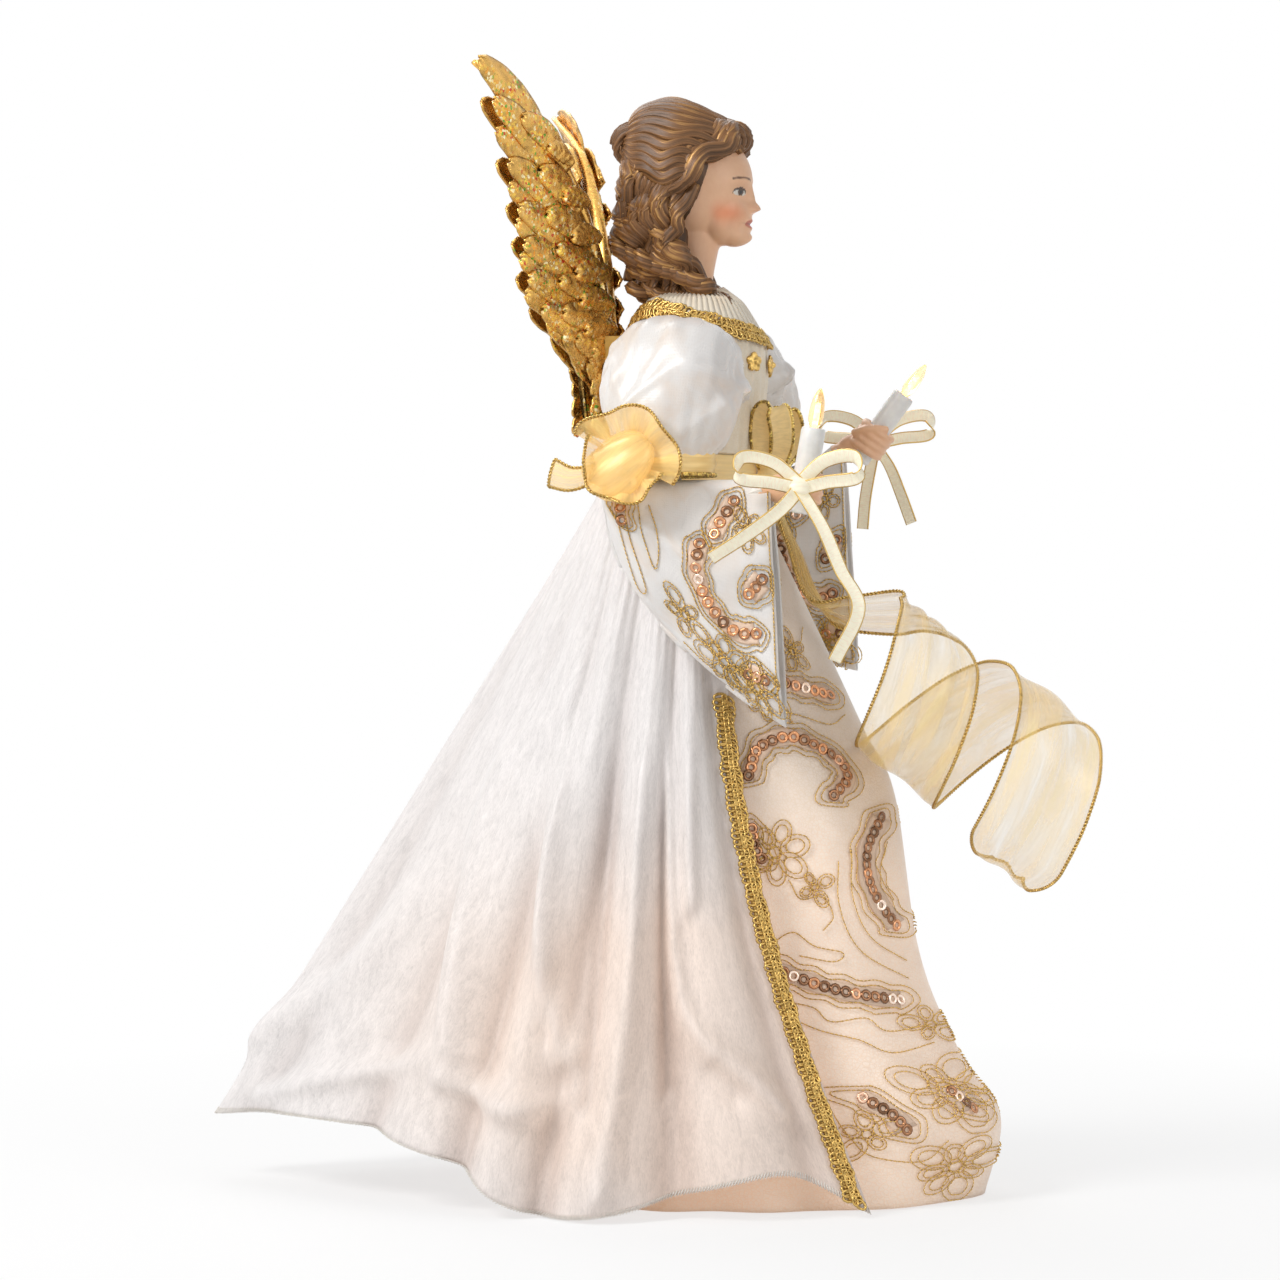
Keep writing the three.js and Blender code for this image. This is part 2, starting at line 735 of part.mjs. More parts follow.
function bodice() {
  const cloth = torsoSkin(bodiceBottom, bodiceTop, FIT, bodiceOutset, BODICE_ROWS);
  const cut = within(cloth, armholeSlab(ARMHOLE_REACH + FIT));
  return cutBy(cut, shoulderRod(SHOULDER_WIRE_RADIUS + FIT, armholeFace));
}

function collarTrim() {
  const trim = torsoSkin(
    bodiceTop - COLLAR_DEPTH,
    bodiceTop,
    bodiceOutset + FIT,
    bodiceOutset + FIT + BRAID_THICKNESS,
    COLLAR_ROWS,
  );
  return within(trim, armholeSlab(ARMHOLE_REACH + FIT));
}

// The room that the bodice takes, grown by the clearance
function bodiceRoom() {
  const rings = [];
  for (let j = 0; j <= BODICE_ROWS; j++) {
    const height = mix(bodiceBottom, bodiceTop, j / BODICE_ROWS);
    const turns = [...Array(OVAL_SIDES).keys()].map((i) => i / OVAL_SIDES);
    rings.push(turns.map((turn) => torsoSpot(turn, height, bodiceOutset + FIT)));
  }
  return lofted(rings);
}

// A flat-backed bead sewn on the bodice front, across from the middle by an angle
function bead(angle) {
  const seat = torsoSpot(angle / FULL_TURN, bodiceTop - BEAD_DROP, bodiceOutset);
  return cutBy(ellipsoid(seat.toArray(), Array(3).fill(BEAD_RADIUS), SMALL_OVAL), bodiceRoom());
}

// Head with jaw, nose and neck; the hair is a cap with a rolled bun and side locks, hollowed for the head
const headHalves = [HEAD_HALF_WIDTH, HEAD_HALF_DEPTH, HEAD_HALF_HEIGHT];

function headBody(grow) {
  const skull = ellipsoid(
    [0, 0, headHeight],
    headHalves.map((half) => half + grow),
    FINE_OVAL,
  );
  const jaw = ellipsoid(
    [0, -HEAD_HALF_DEPTH / 2, headHeight - HEAD_HALF_HEIGHT / 2],
    headHalves.map((half, i) => half * JAW_SHARES[i] + grow),
    OVAL,
  );
  const neckFoot = neckBase - NECK_SOCKET_DEPTH + FIT - grow;
  const neck = rod(NECK_RADIUS + grow, neckFoot, headHeight, OVAL_SIDES);
  return joined(skull, jaw, neck);
}

function head() {
  const nose = ellipsoid([0, -HEAD_HALF_DEPTH - NOSE_OUT, headHeight - NOSE_DROP], NOSE_HALF, SMALL_OVAL);
  return joined(headBody(0), nose);
}

function hair() {
  const cap = ellipsoid(
    [0, HAIR_BACKSET, headHeight],
    headHalves.map((half) => half + HAIR_THICKNESS),
    FINE_OVAL,
  );
  const nape = ellipsoid([0, NAPE_BACKSET, headHeight - NAPE_DROP], NAPE_HALF, OVAL);
  const bun = ellipsoid([0, HEAD_HALF_DEPTH, headHeight + BUN_RISE], BUN_HALF, OVAL);
  const lock = (side) => {
    const route = LOCK_ROUTE.map(([inset, back, drop]) => [
      side * (HEAD_HALF_WIDTH - inset),
      back,
      headHeight - drop,
    ]);
    return tube(route, LOCK_RADIUS, LOCK_STEPS, WIRE_SIDES);
  };
  const face = block([-BEYOND, -BEYOND, 0], [BEYOND, FACE_BACK, headHeight + HAIRLINE_RISE]);
  const mass = joined(cutBy(joined(cap, nape, bun), face), lock(-1), lock(1));
  const shoulders = turned(
    [[0, bodiceTop - 2 * SHOULDER_STEP], ...collarTopPairs(), [0, neckBase + FIT]],
    CONE_SIDES,
  ).scale(TORSO_WIDTH_RATIO, 1, 1);
  return cutBy(mass, headBody(FIT), shoulders);
}

// Outer outline of the dressed shoulders, for what rests on them
function collarTopPairs() {
  const outset = bodiceOutset + BRAID_THICKNESS + 2 * FIT;
  const drops = [2 * SHOULDER_STEP, SHOULDER_STEP, COLLAR_DEPTH, COLLAR_DEPTH / 2, 0];
  const levels = drops.map((drop) => bodiceTop - drop);
  const pairs = levels.map((level) => [torsoRadius(level) + outset, level]);
  return [...pairs, [pairs.at(-1)[0], neckBase + FIT]];
}

// Gown: a full skirt whose front swells to the toe
const gownHalfWidth = CONE_BASE_RADIUS + GOWN_SIDE_ROOM;
const gownTop = waistHeight - SASH_HEIGHT / 2 - FIT;
const gownFront = new THREE.SplineCurve(
  [[1, GOWN_TOP_REACH], ...GOWN_FRONT].map(([share, reach]) => new THREE.Vector2(share * gownTop, reach)),
);

function gownReach(drop) {
  const height = gownTop * (1 - drop);
  let low = 0;
  let high = 1;
  for (let i = 0; i < REACH_HALVINGS; i++) {
    const half = (low + high) / 2;
    if (gownFront.getPoint(half).x > height) low = half;
    else high = half;
  }
  return gownFront.getPoint(low).y;
}

// Point on the gown: turn 0 is the front, drop 0 the waist and 1 the hem
function gownPoint(turn, drop, inset) {
  const angle = turn * FULL_TURN;
  const wide = mix(GOWN_TOP_HALF_WIDTH, gownHalfWidth, drop);
  const back = mix(GOWN_TOP_REACH, CONE_BASE_RADIUS + GOWN_BACK_ROOM, drop);
  const long = Math.cos(angle) > 0 ? gownReach(drop) : back;
  const oval = 1 / Math.hypot(Math.cos(angle) / long, Math.sin(angle) / wide);
  const fold = GOWN_FOLD * drop * Math.cos(GOWN_FOLDS * angle);
  const radius = oval + fold - inset;
  return point(-radius * Math.sin(angle), -radius * Math.cos(angle), gownTop * (1 - drop));
}

function gown() {
  const place = (turn, drop, side) => gownPoint(turn, drop, side * CLOTH);
  return skin(place, 4 * GOWN_FOLDS, SKIRT_ROWS, true);
}

// Overskirt: straight from the waist to its hem curve, open at the front
const hemSpot =
  (side) =>
  ([wide, back, up]) =>
    point(side * wide * gownHalfWidth, back * TRAIN_REACH, up);
const hemRight = HEM_POINTS.map(hemSpot(-1));
const hemLeft = HEM_POINTS.slice(0, -1)
  .reverse()
  .map(hemSpot(1));
const hemCurve = new THREE.CatmullRomCurve3([...hemRight, ...hemLeft], false, "centripetal");

function overskirtBase(across, drop) {
  const angle = mix(radians(OVERSKIRT_FRONT_ANGLE), FULL_TURN - radians(OVERSKIRT_FRONT_ANGLE), across);
  const topGap = OVERSKIRT_TOP_GAP + CLOTH;
  const start = gownPoint(angle / FULL_TURN, 0, 0);
  const outward = point(start.x, start.y, 0).normalize();
  start.addScaledVector(outward, topGap + OVERSKIRT_BUSTLE * Math.sin(angle / 2) ** BUSTLE_POWER);
  const end = hemCurve.getPoint(across);
  const nearEdge = 1 - THREE.MathUtils.smoothstep(Math.min(across, 1 - across), 0, FRONT_SWAY_SHARE);
  const sway = FRONT_EDGE_SWAY * nearEdge * Math.sin(Math.PI * drop ** SWAY_POWER);
  return start.lerp(end, drop).add(point(Math.sign(start.x) * sway * SWAY_OUT_SHARE, sway, 0));
}

// Point on the overskirt, pushed out by an offset along the cloth's level normal
function overskirtPoint(across, drop, offset) {
  const ahead = overskirtBase(Math.min(1, across + NORMAL_STEP), drop);
  const behind = overskirtBase(Math.max(0, across - NORMAL_STEP), drop);
  const along = ahead.sub(behind);
  const outward = point(-along.y, along.x, 0).normalize();
  const fold = OVERSKIRT_FOLD * drop * Math.cos(OVERSKIRT_FOLDS * FULL_TURN * across);
  return overskirtBase(across, drop).addScaledVector(outward, fold + offset);
}

function overskirt() {
  const place = (across, drop, side) => overskirtPoint(across, drop, -side * CLOTH);
  return skin(place, 4 * OVERSKIRT_FOLDS, SKIRT_ROWS, false);
}

function frontBraid(side) {
  const place = (across, drop, layer) => {
    const share = BRAID_WIDTH_SHARE * across;
    const offset = FIT + (layer ? 0 : BRAID_THICKNESS);
    return overskirtPoint(side < 0 ? share : 1 - share, mix(BRAID_TOP_SHARE, 1, drop), offset);
  };
  return skin(place, 1, BRAID_ROWS, false);
}

// Waist sash, its bow and the sheer streamer
const sashBottom = waistHeight - SASH_HEIGHT / 2;
const sashInner = torsoRadius(waistHeight + SASH_HEIGHT / 2) + bodiceOutset + FIT;
const sashInnerWide = sashInner * TORSO_WIDTH_RATIO;

function waistSash() {
  const place = (turn, drop, side) => {
    const angle = turn * FULL_TURN;
    const grow = side ? 0 : CLOTH;
    const height = sashBottom + SASH_HEIGHT * (1 - drop);
    return point((sashInnerWide + grow) * Math.sin(angle), -(sashInner + grow) * Math.cos(angle), height);
  };
  return skin(place, OVAL_SIDES, 1, true);
}

const sashFront = -(sashInner + CLOTH);
const sashKnot = point(0, sashFront - FIT - SASH_KNOT_HALF[1], waistHeight);

function sashBow() {
  const knot = ellipsoid(sashKnot.toArray(), SASH_KNOT_HALF, OVAL);
  const loop = (side) =>
    ribbon(
      SASH_LOOP.map(([out, ahead, up]) => [side * out, sashFront - ahead, waistHeight + up]),
      () => point(side / 3, 1, 1 / 3),
      (share) => mix(SASH_LOOP_ROOT_WIDTH, SASH_LOOP_WIDTH, Math.sin(Math.PI * share)),
      SASH_LOOP_STEPS,
    );
  return joined(knot, loop(-1), loop(1));
}

const fromKnot = (offset) => sashKnot.clone().add(point(...offset));

// The streamer hangs from under the knot, then curls in a widening helix from over its axis
function streamerRoute() {
  const route = [
    [0, sashKnot.y, sashKnot.z - SASH_KNOT_HALF[2] - FIT],
    fromKnot(STREAMER_FALL).toArray(),
    fromKnot(STREAMER_BEND).toArray(),
  ];
  const start = fromKnot(STREAMER_CURL_START);
  const end = fromKnot(STREAMER_CURL_END);
  const axis = end.clone().sub(start).normalize();
  const sideways = point(1, 0, 0).addScaledVector(axis, -axis.x).normalize();
  const upward = axis.clone().cross(sideways);
  for (let i = 0; i <= STREAMER_CURL_STEPS; i++) {
    const share = i / STREAMER_CURL_STEPS;
    const angle = radians(STREAMER_START_ANGLE) + share * STREAMER_TURNS * FULL_TURN;
    const radius = mix(STREAMER_START_RADIUS, STREAMER_END_RADIUS, share);
    const centre = start.clone().lerp(end, share);
    centre.addScaledVector(upward, radius * Math.cos(angle));
    centre.addScaledVector(sideways, -radius * Math.sin(angle));
    route.push(centre.toArray());
  }
  return { route, axis };
}

function streamer() {
  const { route, axis } = streamerRoute();
  const level = point(1, 0, 0);
  const turning = (share) => THREE.MathUtils.smoothstep(share, ...STREAMER_TURNING);
  const opening = (share) => THREE.MathUtils.smoothstep(share, ...STREAMER_OPENING);
  const lean = (share) => level.clone().lerp(axis, turning(share));
  const width = (share) => mix(STREAMER_ROOT_WIDTH, STREAMER_WIDTH, opening(share));
  return ribbon(route, lean, width, STREAMER_STEPS);
}

// Arms: built for an arm that reaches out along +X, then turned about the shoulder and set on its side
function armFrame(side, raise) {
  return new THREE.Matrix4()
    .makeTranslation(0, SHOULDER_BACKSET, shoulderHeight)
    .multiply(new THREE.Matrix4().makeRotationX(-radians(raise)))
    .multiply(new THREE.Matrix4().makeTranslation(0, -SHOULDER_BACKSET, -shoulderHeight))
    .multiply(new THREE.Matrix4().makeScale(side, 1, 1));
}

const fromShoulder = ([out, back, up]) => [out, back, shoulderHeight + up];
const elbow = fromShoulder(ELBOW_PLACE);
const armholeFace = ARMHOLE_REACH + 2.5 * FIT;
const knobEnd = armholeFace + SHOULDER_WIRE_GRIP + KNOB_CAP;

function armRoute(wrist) {
  const shift = (from, [x, y, z]) => [from[0] + x, from[1] + y, from[2] + z];
  const knob = [knobEnd, SHOULDER_BACKSET, shoulderHeight];
  const halfway = wrist.map((value, i) => (value + elbow[i]) / 2);
  const forearm = [elbow[0] + FOREARM_OUT, halfway[1], halfway[2] - FOREARM_SAG];
  return [
    ...SHOULDER_BENDS.map((bend) => shift(knob, bend)),
    ...ELBOW_BENDS.map((bend) => shift(elbow, bend)),
    forearm,
    wrist,
  ];
}

function armBody(grow, wrist) {
  const knob = rod(KNOB_RADIUS + grow, armholeFace - grow, knobEnd + grow, FLAME_SIDES)
    .rotateY(Math.PI / 2)
    .translate(0, SHOULDER_BACKSET, shoulderHeight);
  return joined(knob, tube(armRoute(wrist), ARM_RADIUS + grow, ARM_STEPS, TUBE_SIDES));
}

function arm(wrist) {
  return cutBy(armBody(0, wrist), shoulderRod(SHOULDER_WIRE_RADIUS + FIT, armholeFace + SHOULDER_WIRE_GRIP));
}

const puffCentre = [armholeFace + PUFF_HALF[0] - PUFF_TUCK, PUFF_FORWARD, puffHeight];
const bandCentre = [elbow[0] + BAND_OFFSET[0], elbow[1] + BAND_OFFSET[1]];

function puffSleeve(wrist) {
  const rings = [];
  for (let j = 1; j < PUFF_ROWS; j++) {
    const down = (j / PUFF_ROWS) * Math.PI;
    const ring = [];
    for (let i = 0; i < 3 * PUFF_FOLDS; i++) {
      const angle = (i / (3 * PUFF_FOLDS)) * FULL_TURN;
      const swell = Math.sin(down) * (1 + PUFF_FOLD * Math.cos(PUFF_FOLDS * angle));
      ring.push(
        point(
          puffCentre[0] + PUFF_HALF[0] * swell * Math.cos(angle),
          puffCentre[1] + PUFF_HALF[1] * swell * Math.sin(angle),
          puffCentre[2] + PUFF_HALF[2] * Math.cos(down),
        ),
      );
    }
    rings.push(ring);
  }
  const gather = rod(1, bandBottom + FIT, puffHeight - PUFF_HALF[2] / 2, OVAL_SIDES)
    .scale(BAND_HALF_WIDTH - CLOTH - FIT, BAND_HALF_DEPTH - CLOTH - FIT, 1)
    .translate(...bandCentre, 0);
  const whole = joined(lofted(rings), gather);
  const outer = block([armholeFace, -BEYOND, 0], [BEYOND, BEYOND, BEYOND]);
  return cutBy(within(whole, outer), armBody(FIT, wrist));
}

function armBand() {
  const place = (turn, drop, side) => {
    const angle = turn * FULL_TURN;
    const shrink = side ? CLOTH : 0;
    return point(
      bandCentre[0] + (BAND_HALF_WIDTH - shrink) * Math.cos(angle),
      bandCentre[1] + (BAND_HALF_DEPTH - shrink) * Math.sin(angle),
      bandBottom + BAND_HEIGHT * (1 - drop),
    );
  };
  return skin(place, OVAL_SIDES, 1, true);
}

function rosette() {
  const base = bandCentre[0] + BAND_HALF_WIDTH + FIT;
  const rings = [];
  for (let j = 0; j < ROSETTE_ROWS; j++) {
    const share = (j / ROSETTE_ROWS) * (Math.PI / 2);
    const ring = [];
    for (let i = 0; i < 3 * ROSETTE_FLUTES; i++) {
      const angle = (i / (3 * ROSETTE_FLUTES)) * FULL_TURN;
      const flute = 1 + ROSETTE_FLUTE * Math.cos(ROSETTE_FLUTES * angle);
      const radius = ROSETTE_RADIUS * Math.cos(share) * flute;
      ring.push(
        point(
          base + ROSETTE_DEPTH * Math.sin(share),
          ROSETTE_BACK + radius * Math.cos(angle),
          bandBottom + BAND_HEIGHT / 2 + radius * Math.sin(angle),
        ),
      );
    }
    rings.push(ring);
  }
  const puffRoom = PUFF_HALF.map((half) => half * (1 + PUFF_FOLD) + FIT);
  return cutBy(lofted(rings), ellipsoid(puffCentre, puffRoom, FINE_OVAL));
}

// Bell sleeve: hangs straight down from the forearm, tallest at its open front
function bellSleeve(frame, side, wrist) {
  const back = point(elbow[0] + SLEEVE_OUT, SLEEVE_BACK_END, bandBottom - FIT - CLOTH).applyMatrix4(frame);
  const rise = Math.max(0, wrist[2] + ARM_RADIUS + 2 * FIT - (bandBottom - FIT));
  const front = point(wrist[0], wrist[1] - CUFF_SETBACK, bandBottom - FIT - CLOTH).applyMatrix4(frame);
  const place = (turn, length, layer) => {
    const angle = turn * FULL_TURN;
    const inset = layer * CLOTH;
    const drop = mix(SLEEVE_ELBOW_DROP, SLEEVE_OPENING_DROP, length ** SLEEVE_DROP_POWER) / 2 - inset;
    const wide = mix(SLEEVE_ELBOW_HALF_WIDTH, SLEEVE_OPENING_HALF_WIDTH, length) - inset;
    const top = back.clone().lerp(front, length);
    top.z += rise * length ** SLEEVE_RISE_POWER;
    const sag = Math.sin(angle) * wide * (1 + SLEEVE_WAVE * length * Math.cos(SLEEVE_WAVES * angle));
    const forward = SLEEVE_HEM_SLANT * length * Math.sin(angle / 2) ** 2;
    const fall = inset + drop * (1 - Math.cos(angle));
    return point(top.x + side * sag, top.y - forward, top.z - fall);
  };
  const cloth = skin(place, OVAL_SIDES, SLEEVE_ROWS, true);
  return cutBy(cloth, ...[armBody, handBody].map((body) => body(FIT, wrist).applyMatrix4(frame)));
}

// Candle frame: +Z along the candle, origin where the hand grips it
function candleFrame(tilt, wrist) {
  return new THREE.Matrix4()
    .makeTranslation(wrist[0], wrist[1] - HAND_REACH, wrist[2] + GRIP_RISE)
    .multiply(new THREE.Matrix4().makeRotationX(radians(tilt)));
}

function handBody(grow, wrist) {
  return ellipsoid(
    [wrist[0], wrist[1] - HAND_REACH / 2 - FIT, wrist[2] + HAND_RISE],
    [HAND_HALF_WIDTH + grow, HAND_REACH / 2 + grow, HAND_HALF_HEIGHT + grow],
    OVAL,
  );
}

// A fist with four knuckle ridges closed round the candle, joined to the palm
function hand(tilt, wrist) {
  const frame = candleFrame(tilt, wrist);
  const bore = CANDLE_RADIUS + FIT;
  const fistHalf = FINGER_COUNT * FINGER_RADIUS;
  const ridges = [[bore, -fistHalf]];
  for (let i = 0; i < FINGER_COUNT; i++) {
    const low = -fistHalf + 2 * i * FINGER_RADIUS;
    ridges.push([bore + FINGER_RADIUS, low + (i ? 0 : FINGER_RADIUS / 4)]);
    ridges.push([bore + 2 * FINGER_RADIUS, low + FINGER_RADIUS]);
  }
  ridges.push([bore + FINGER_RADIUS, fistHalf - FINGER_RADIUS / 4], [bore, fistHalf]);
  const fist = turned(ridges, FLAME_SIDES).applyMatrix4(frame);
  const reach = 2 * HAND_REACH;
  const room = rod(bore + FINGER_RADIUS / 2, -reach, reach, FLAME_SIDES).applyMatrix4(frame);
  return cutBy(joined(cutBy(handBody(0, wrist), room), fist), armBody(FIT, wrist));
}

const holderFloor = -CANDLE_BELOW_HAND / 2;

function candle() {
  const bore = CANDLE_RADIUS - CANDLE_WALL;
  return turned(
    [
      [0, -CANDLE_BELOW_HAND],
      [CANDLE_RADIUS, -CANDLE_BELOW_HAND],
      [CANDLE_RADIUS, CANDLE_ABOVE_HAND],
      [bore, CANDLE_ABOVE_HAND],
      [bore, holderFloor],
      [0, holderFloor],
    ],
    FLAME_SIDES,
  );
}

function candleHolder() {
  const radius = CANDLE_RADIUS - CANDLE_WALL - FIT;
  const top = CANDLE_ABOVE_HAND - FIT;
  return turned(
    [
      [0, top - SOCKET_DEPTH],
      [radius - HOLDER_WALL, top - SOCKET_DEPTH],
      [radius - HOLDER_WALL, top],
      [radius, top],
      [radius, holderFloor + FIT],
      [0, holderFloor + FIT],
    ],
    ROUND_SIDES,
  );
}

function flameLamp() {
  const stem = CANDLE_RADIUS - CANDLE_WALL - HOLDER_WALL - 2 * FIT;
  return lamp(stem, SOCKET_DEPTH - 2 * FIT, FLAME_LENGTH, FLAME_SIDES).translate(0, 0, CANDLE_ABOVE_HAND);
}

// Candle bow: a knot on the outer side of the hand with two loops and two hanging tails
function candleBow(frame, side, wrist, tails) {
  const reach = CANDLE_RADIUS + 2 * FIT + 2 * FINGER_RADIUS + BOW_KNOT_HALF[0];
  const knot = point(wrist[0] + reach, wrist[1] - HAND_REACH, wrist[2] + GRIP_RISE).applyMatrix4(frame);
  const spots = (route, way) =>
    route.map(([out, ahead, up]) => [knot.x + side * out, knot.y - way * ahead, knot.z + up]);
  const width = () => BOW_RIBBON_WIDTH;
  const loop = (way) => ribbon(spots(BOW_LOOP, way), () => point(side / 2, 0, 1), width, BOW_LOOP_STEPS);
  const tail = (route) => ribbon(spots(route, 1), () => point(side / 2, 1, 1 / 5), width, BOW_TAIL_STEPS);
  const core = ellipsoid(knot.toArray(), BOW_KNOT_HALF, SMALL_OVAL);
  return joined(core, loop(-1), loop(1), ...tails.map(tail));
}

// Wings: swept-back plates with a scalloped trailing edge, each with a flat lug on the bracket
const bracketBack = TORSO_CHEST_RADIUS + bodiceOutset + FIT + BRACKET_THICKNESS;
const lugBack = bracketBack + FIT + LUG_THICKNESS;

function wingShape() {
  const shape = new THREE.Shape();
  shape.moveTo(...WING_EDGE[0]);
  shape.lineTo(...WING_EDGE[1]);
  shape.splineThru(WING_EDGE.slice(2).map((p) => new THREE.Vector2(...p)));
  let [fromU, fromV] = WING_EDGE.at(-1);
  for (const [u, v] of FEATHER_TIPS) {
    const notch = [(fromU + u) / 2 - FEATHER_NOTCH, (fromV + v) / 2];
    shape.lineTo(...notch);
    shape.quadraticCurveTo(u + FEATHER_BULGE, mix(notch[1], v, FEATHER_BULGE_SHARE), u, v);
    fromU = u;
    fromV = v;
  }
  for (const spot of WING_FOOT) shape.lineTo(...spot);
  return shape;
}

const screwHeight = (bracketBottom + bracketTop) / 2;
const screwBore = () =>
  rod(SCREW_RADIUS + FIT, lugBack - SCREW_LENGTH - FIT, lugBack + OVERCUT, FLAME_SIDES)
    .rotateX(-Math.PI / 2)
    .translate(0, 0, screwHeight);

function wing(side) {
  const rule = { depth: WING_THICKNESS, bevelEnabled: false, curveSegments: FEATHER_CURVE_STEPS };
  const plate = new THREE.ExtrudeGeometry(wingShape(), rule);
  const sweep = radians(WING_SWEEP_ANGLE);
  const outward = point(Math.cos(sweep), Math.sin(sweep), 0);
  const rearward = point(-Math.sin(sweep), Math.cos(sweep), 0);
  const frame = new THREE.Matrix4()
    .makeBasis(outward, point(0, 0, 1), rearward)
    .setPosition(WING_ROOT_GAP, bracketBack + 2 * FIT, shoulderHeight - WING_ROOT_DROP);
  const lugOut = WING_ROOT_GAP + LUG_OVERLAP;
  const lug = block([FIT, bracketBack + FIT, bracketBottom], [lugOut, lugBack, bracketTop]);
  const ahead = block([-BEYOND, 0, 0], [BEYOND, bracketBack + FIT, BEYOND]);
  const bore = screwBore().translate(SCREW_OUT, 0, 0);
  const headRoom = block(
    [SCREW_OUT - SCREW_HEAD_RADIUS - FIT, lugBack, screwHeight - SCREW_HEAD_RADIUS - FIT],
    [SCREW_OUT + SCREW_HEAD_RADIUS + FIT, lugBack + BEYOND, screwHeight + SCREW_HEAD_RADIUS + FIT],
  );
  return cutBy(joined(plate.applyMatrix4(frame), lug), ahead, bore, headRoom).scale(side, 1, 1);
}

function wingBracket() {
  const saddle = block(
    [-BRACKET_HALF_WIDTH, TORSO_CHEST_RADIUS / 2, bracketBottom],
    [BRACKET_HALF_WIDTH, bracketBack, bracketTop],
  );
  const bores = [1, -1].map((side) => screwBore().translate(side * SCREW_OUT, 0, 0));
  return cutBy(saddle, bodiceRoom(), ...bores);
}

function wingScrew(side) {
  const top = lugBack + FIT / 2;
  return turned(
    [
      [0, top + SCREW_HEAD_THICKNESS],
      [SCREW_HEAD_RADIUS, top + SCREW_HEAD_THICKNESS],
      [SCREW_HEAD_RADIUS, top],
      [SCREW_RADIUS, top],
      [SCREW_RADIUS, lugBack - SCREW_LENGTH],
      [0, lugBack - SCREW_LENGTH],
    ],
    FLAME_SIDES,
  )
    .rotateX(-Math.PI / 2)
    .translate(side * SCREW_OUT, 0, screwHeight);
}

// Assembly
const stand = section("stand");
node(stand, "base_cone", baseCone(), IVORY_BOARD);
node(stand, "cord_grommet", grommet().applyMatrix4(inletFrame), RUBBER);
node(stand, "lamp_wire", lampWire(), LAMP_WIRE);
lampFrames.forEach((frame, i) => {
  node(stand, `skirt_lamp_holder_${i + 1}`, lampHolder().applyMatrix4(frame), WHITE_PLASTIC);
  const bulb = lamp(SOCKET_RADIUS - FIT, SOCKET_DEPTH - FIT, LAMP_GLASS_LENGTH, LAMP_SIDES);
  node(stand, `skirt_lamp_${i + 1}`, bulb.translate(0, 0, flangeTop).applyMatrix4(frame), CLEAR_GLASS);
});

const figure = section("figure");
node(figure, "torso", torso(), IVORY_BOARD);
const wireReach = armholeFace + SHOULDER_WIRE_GRIP - FIT;
node(figure, "shoulder_wire", shoulderRod(SHOULDER_WIRE_RADIUS, wireReach), STEEL);
node(figure, "head", head(), SKIN);
node(figure, "hair", hair(), HAIR);

const dress = section("dress");
node(dress, "bodice", bodice(), SATIN);
node(dress, "collar_trim", collarTrim(), GOLD_BRAID);
node(dress, "front_bead", bead(0), GOLD_BRAID);
node(dress, "right_bead", bead(-radians(SIDE_BEAD_ANGLE)), GOLD_BRAID);
node(dress, "left_bead", bead(radians(SIDE_BEAD_ANGLE)), GOLD_BRAID);
node(dress, "gown", gown(), EMBROIDERED);
node(dress, "overskirt", overskirt(), VELVET);
node(dress, "right_front_braid", frontBraid(-1), GOLD_BRAID);
node(dress, "left_front_braid", frontBraid(1), GOLD_BRAID);
node(dress, "waist_sash", waistSash(), GOLD_RIBBON);
node(dress, "sash_bow", sashBow(), GOLD_RIBBON);
node(dress, "sash_streamer", streamer(), GOLD_ORGANZA);

const wings = section("wings");
node(wings, "wing_bracket", wingBracket(), WHITE_PLASTIC);
for (const [name, side] of [["right", -1], ["left", 1]]) {
  node(wings, `${name}_wing`, wing(side), WING_GOLD);
  node(wings, `${name}_wing_screw`, wingScrew(side), STEEL);
}

const arms = [
  ["right", -1, RIGHT_ARM_ANGLE, RIGHT_CANDLE_ANGLE, fromShoulder(RIGHT_WRIST_PLACE), RIGHT_BOW_TAILS],
  ["left", 1, LEFT_ARM_ANGLE, LEFT_CANDLE_ANGLE, fromShoulder(LEFT_WRIST_PLACE), LEFT_BOW_TAILS],
];
for (const [name, side, raise, lean, wrist, tails] of arms) {
  const tilt = lean + raise;
  const group = section(`${name}_arm_group`);
  const frame = armFrame(side, raise);
  const held = frame.clone().multiply(candleFrame(tilt, wrist));
  node(group, `${name}_arm`, arm(wrist).applyMatrix4(frame), IVORY_BOARD);
  node(group, `${name}_puff_sleeve`, puffSleeve(wrist).applyMatrix4(frame), SATIN);
  node(group, `${name}_arm_band`, armBand().applyMatrix4(frame), GOLD_RIBBON);
  node(group, `${name}_rosette`, rosette().applyMatrix4(frame), GOLD_ORGANZA);
  node(group, `${name}_bell_sleeve`, bellSleeve(frame, side, wrist), SATIN);
  node(group, `${name}_hand`, hand(tilt, wrist).applyMatrix4(frame), SKIN);
  node(group, `${name}_candle`, candle().applyMatrix4(held), CANDLE_WHITE);
  node(group, `${name}_lamp_holder`, candleHolder().applyMatrix4(held), WHITE_PLASTIC);
  node(group, `${name}_flame_lamp`, flameLamp().applyMatrix4(held), CLEAR_GLASS);
  node(group, `${name}_candle_bow`, candleBow(frame, side, wrist, tails), SATIN);
}

export default angel;
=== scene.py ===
"""Angel tree topper: cloth, trims, hair, face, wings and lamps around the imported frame."""

import math

import bpy
import numpy as np
from mathutils import Matrix, Vector


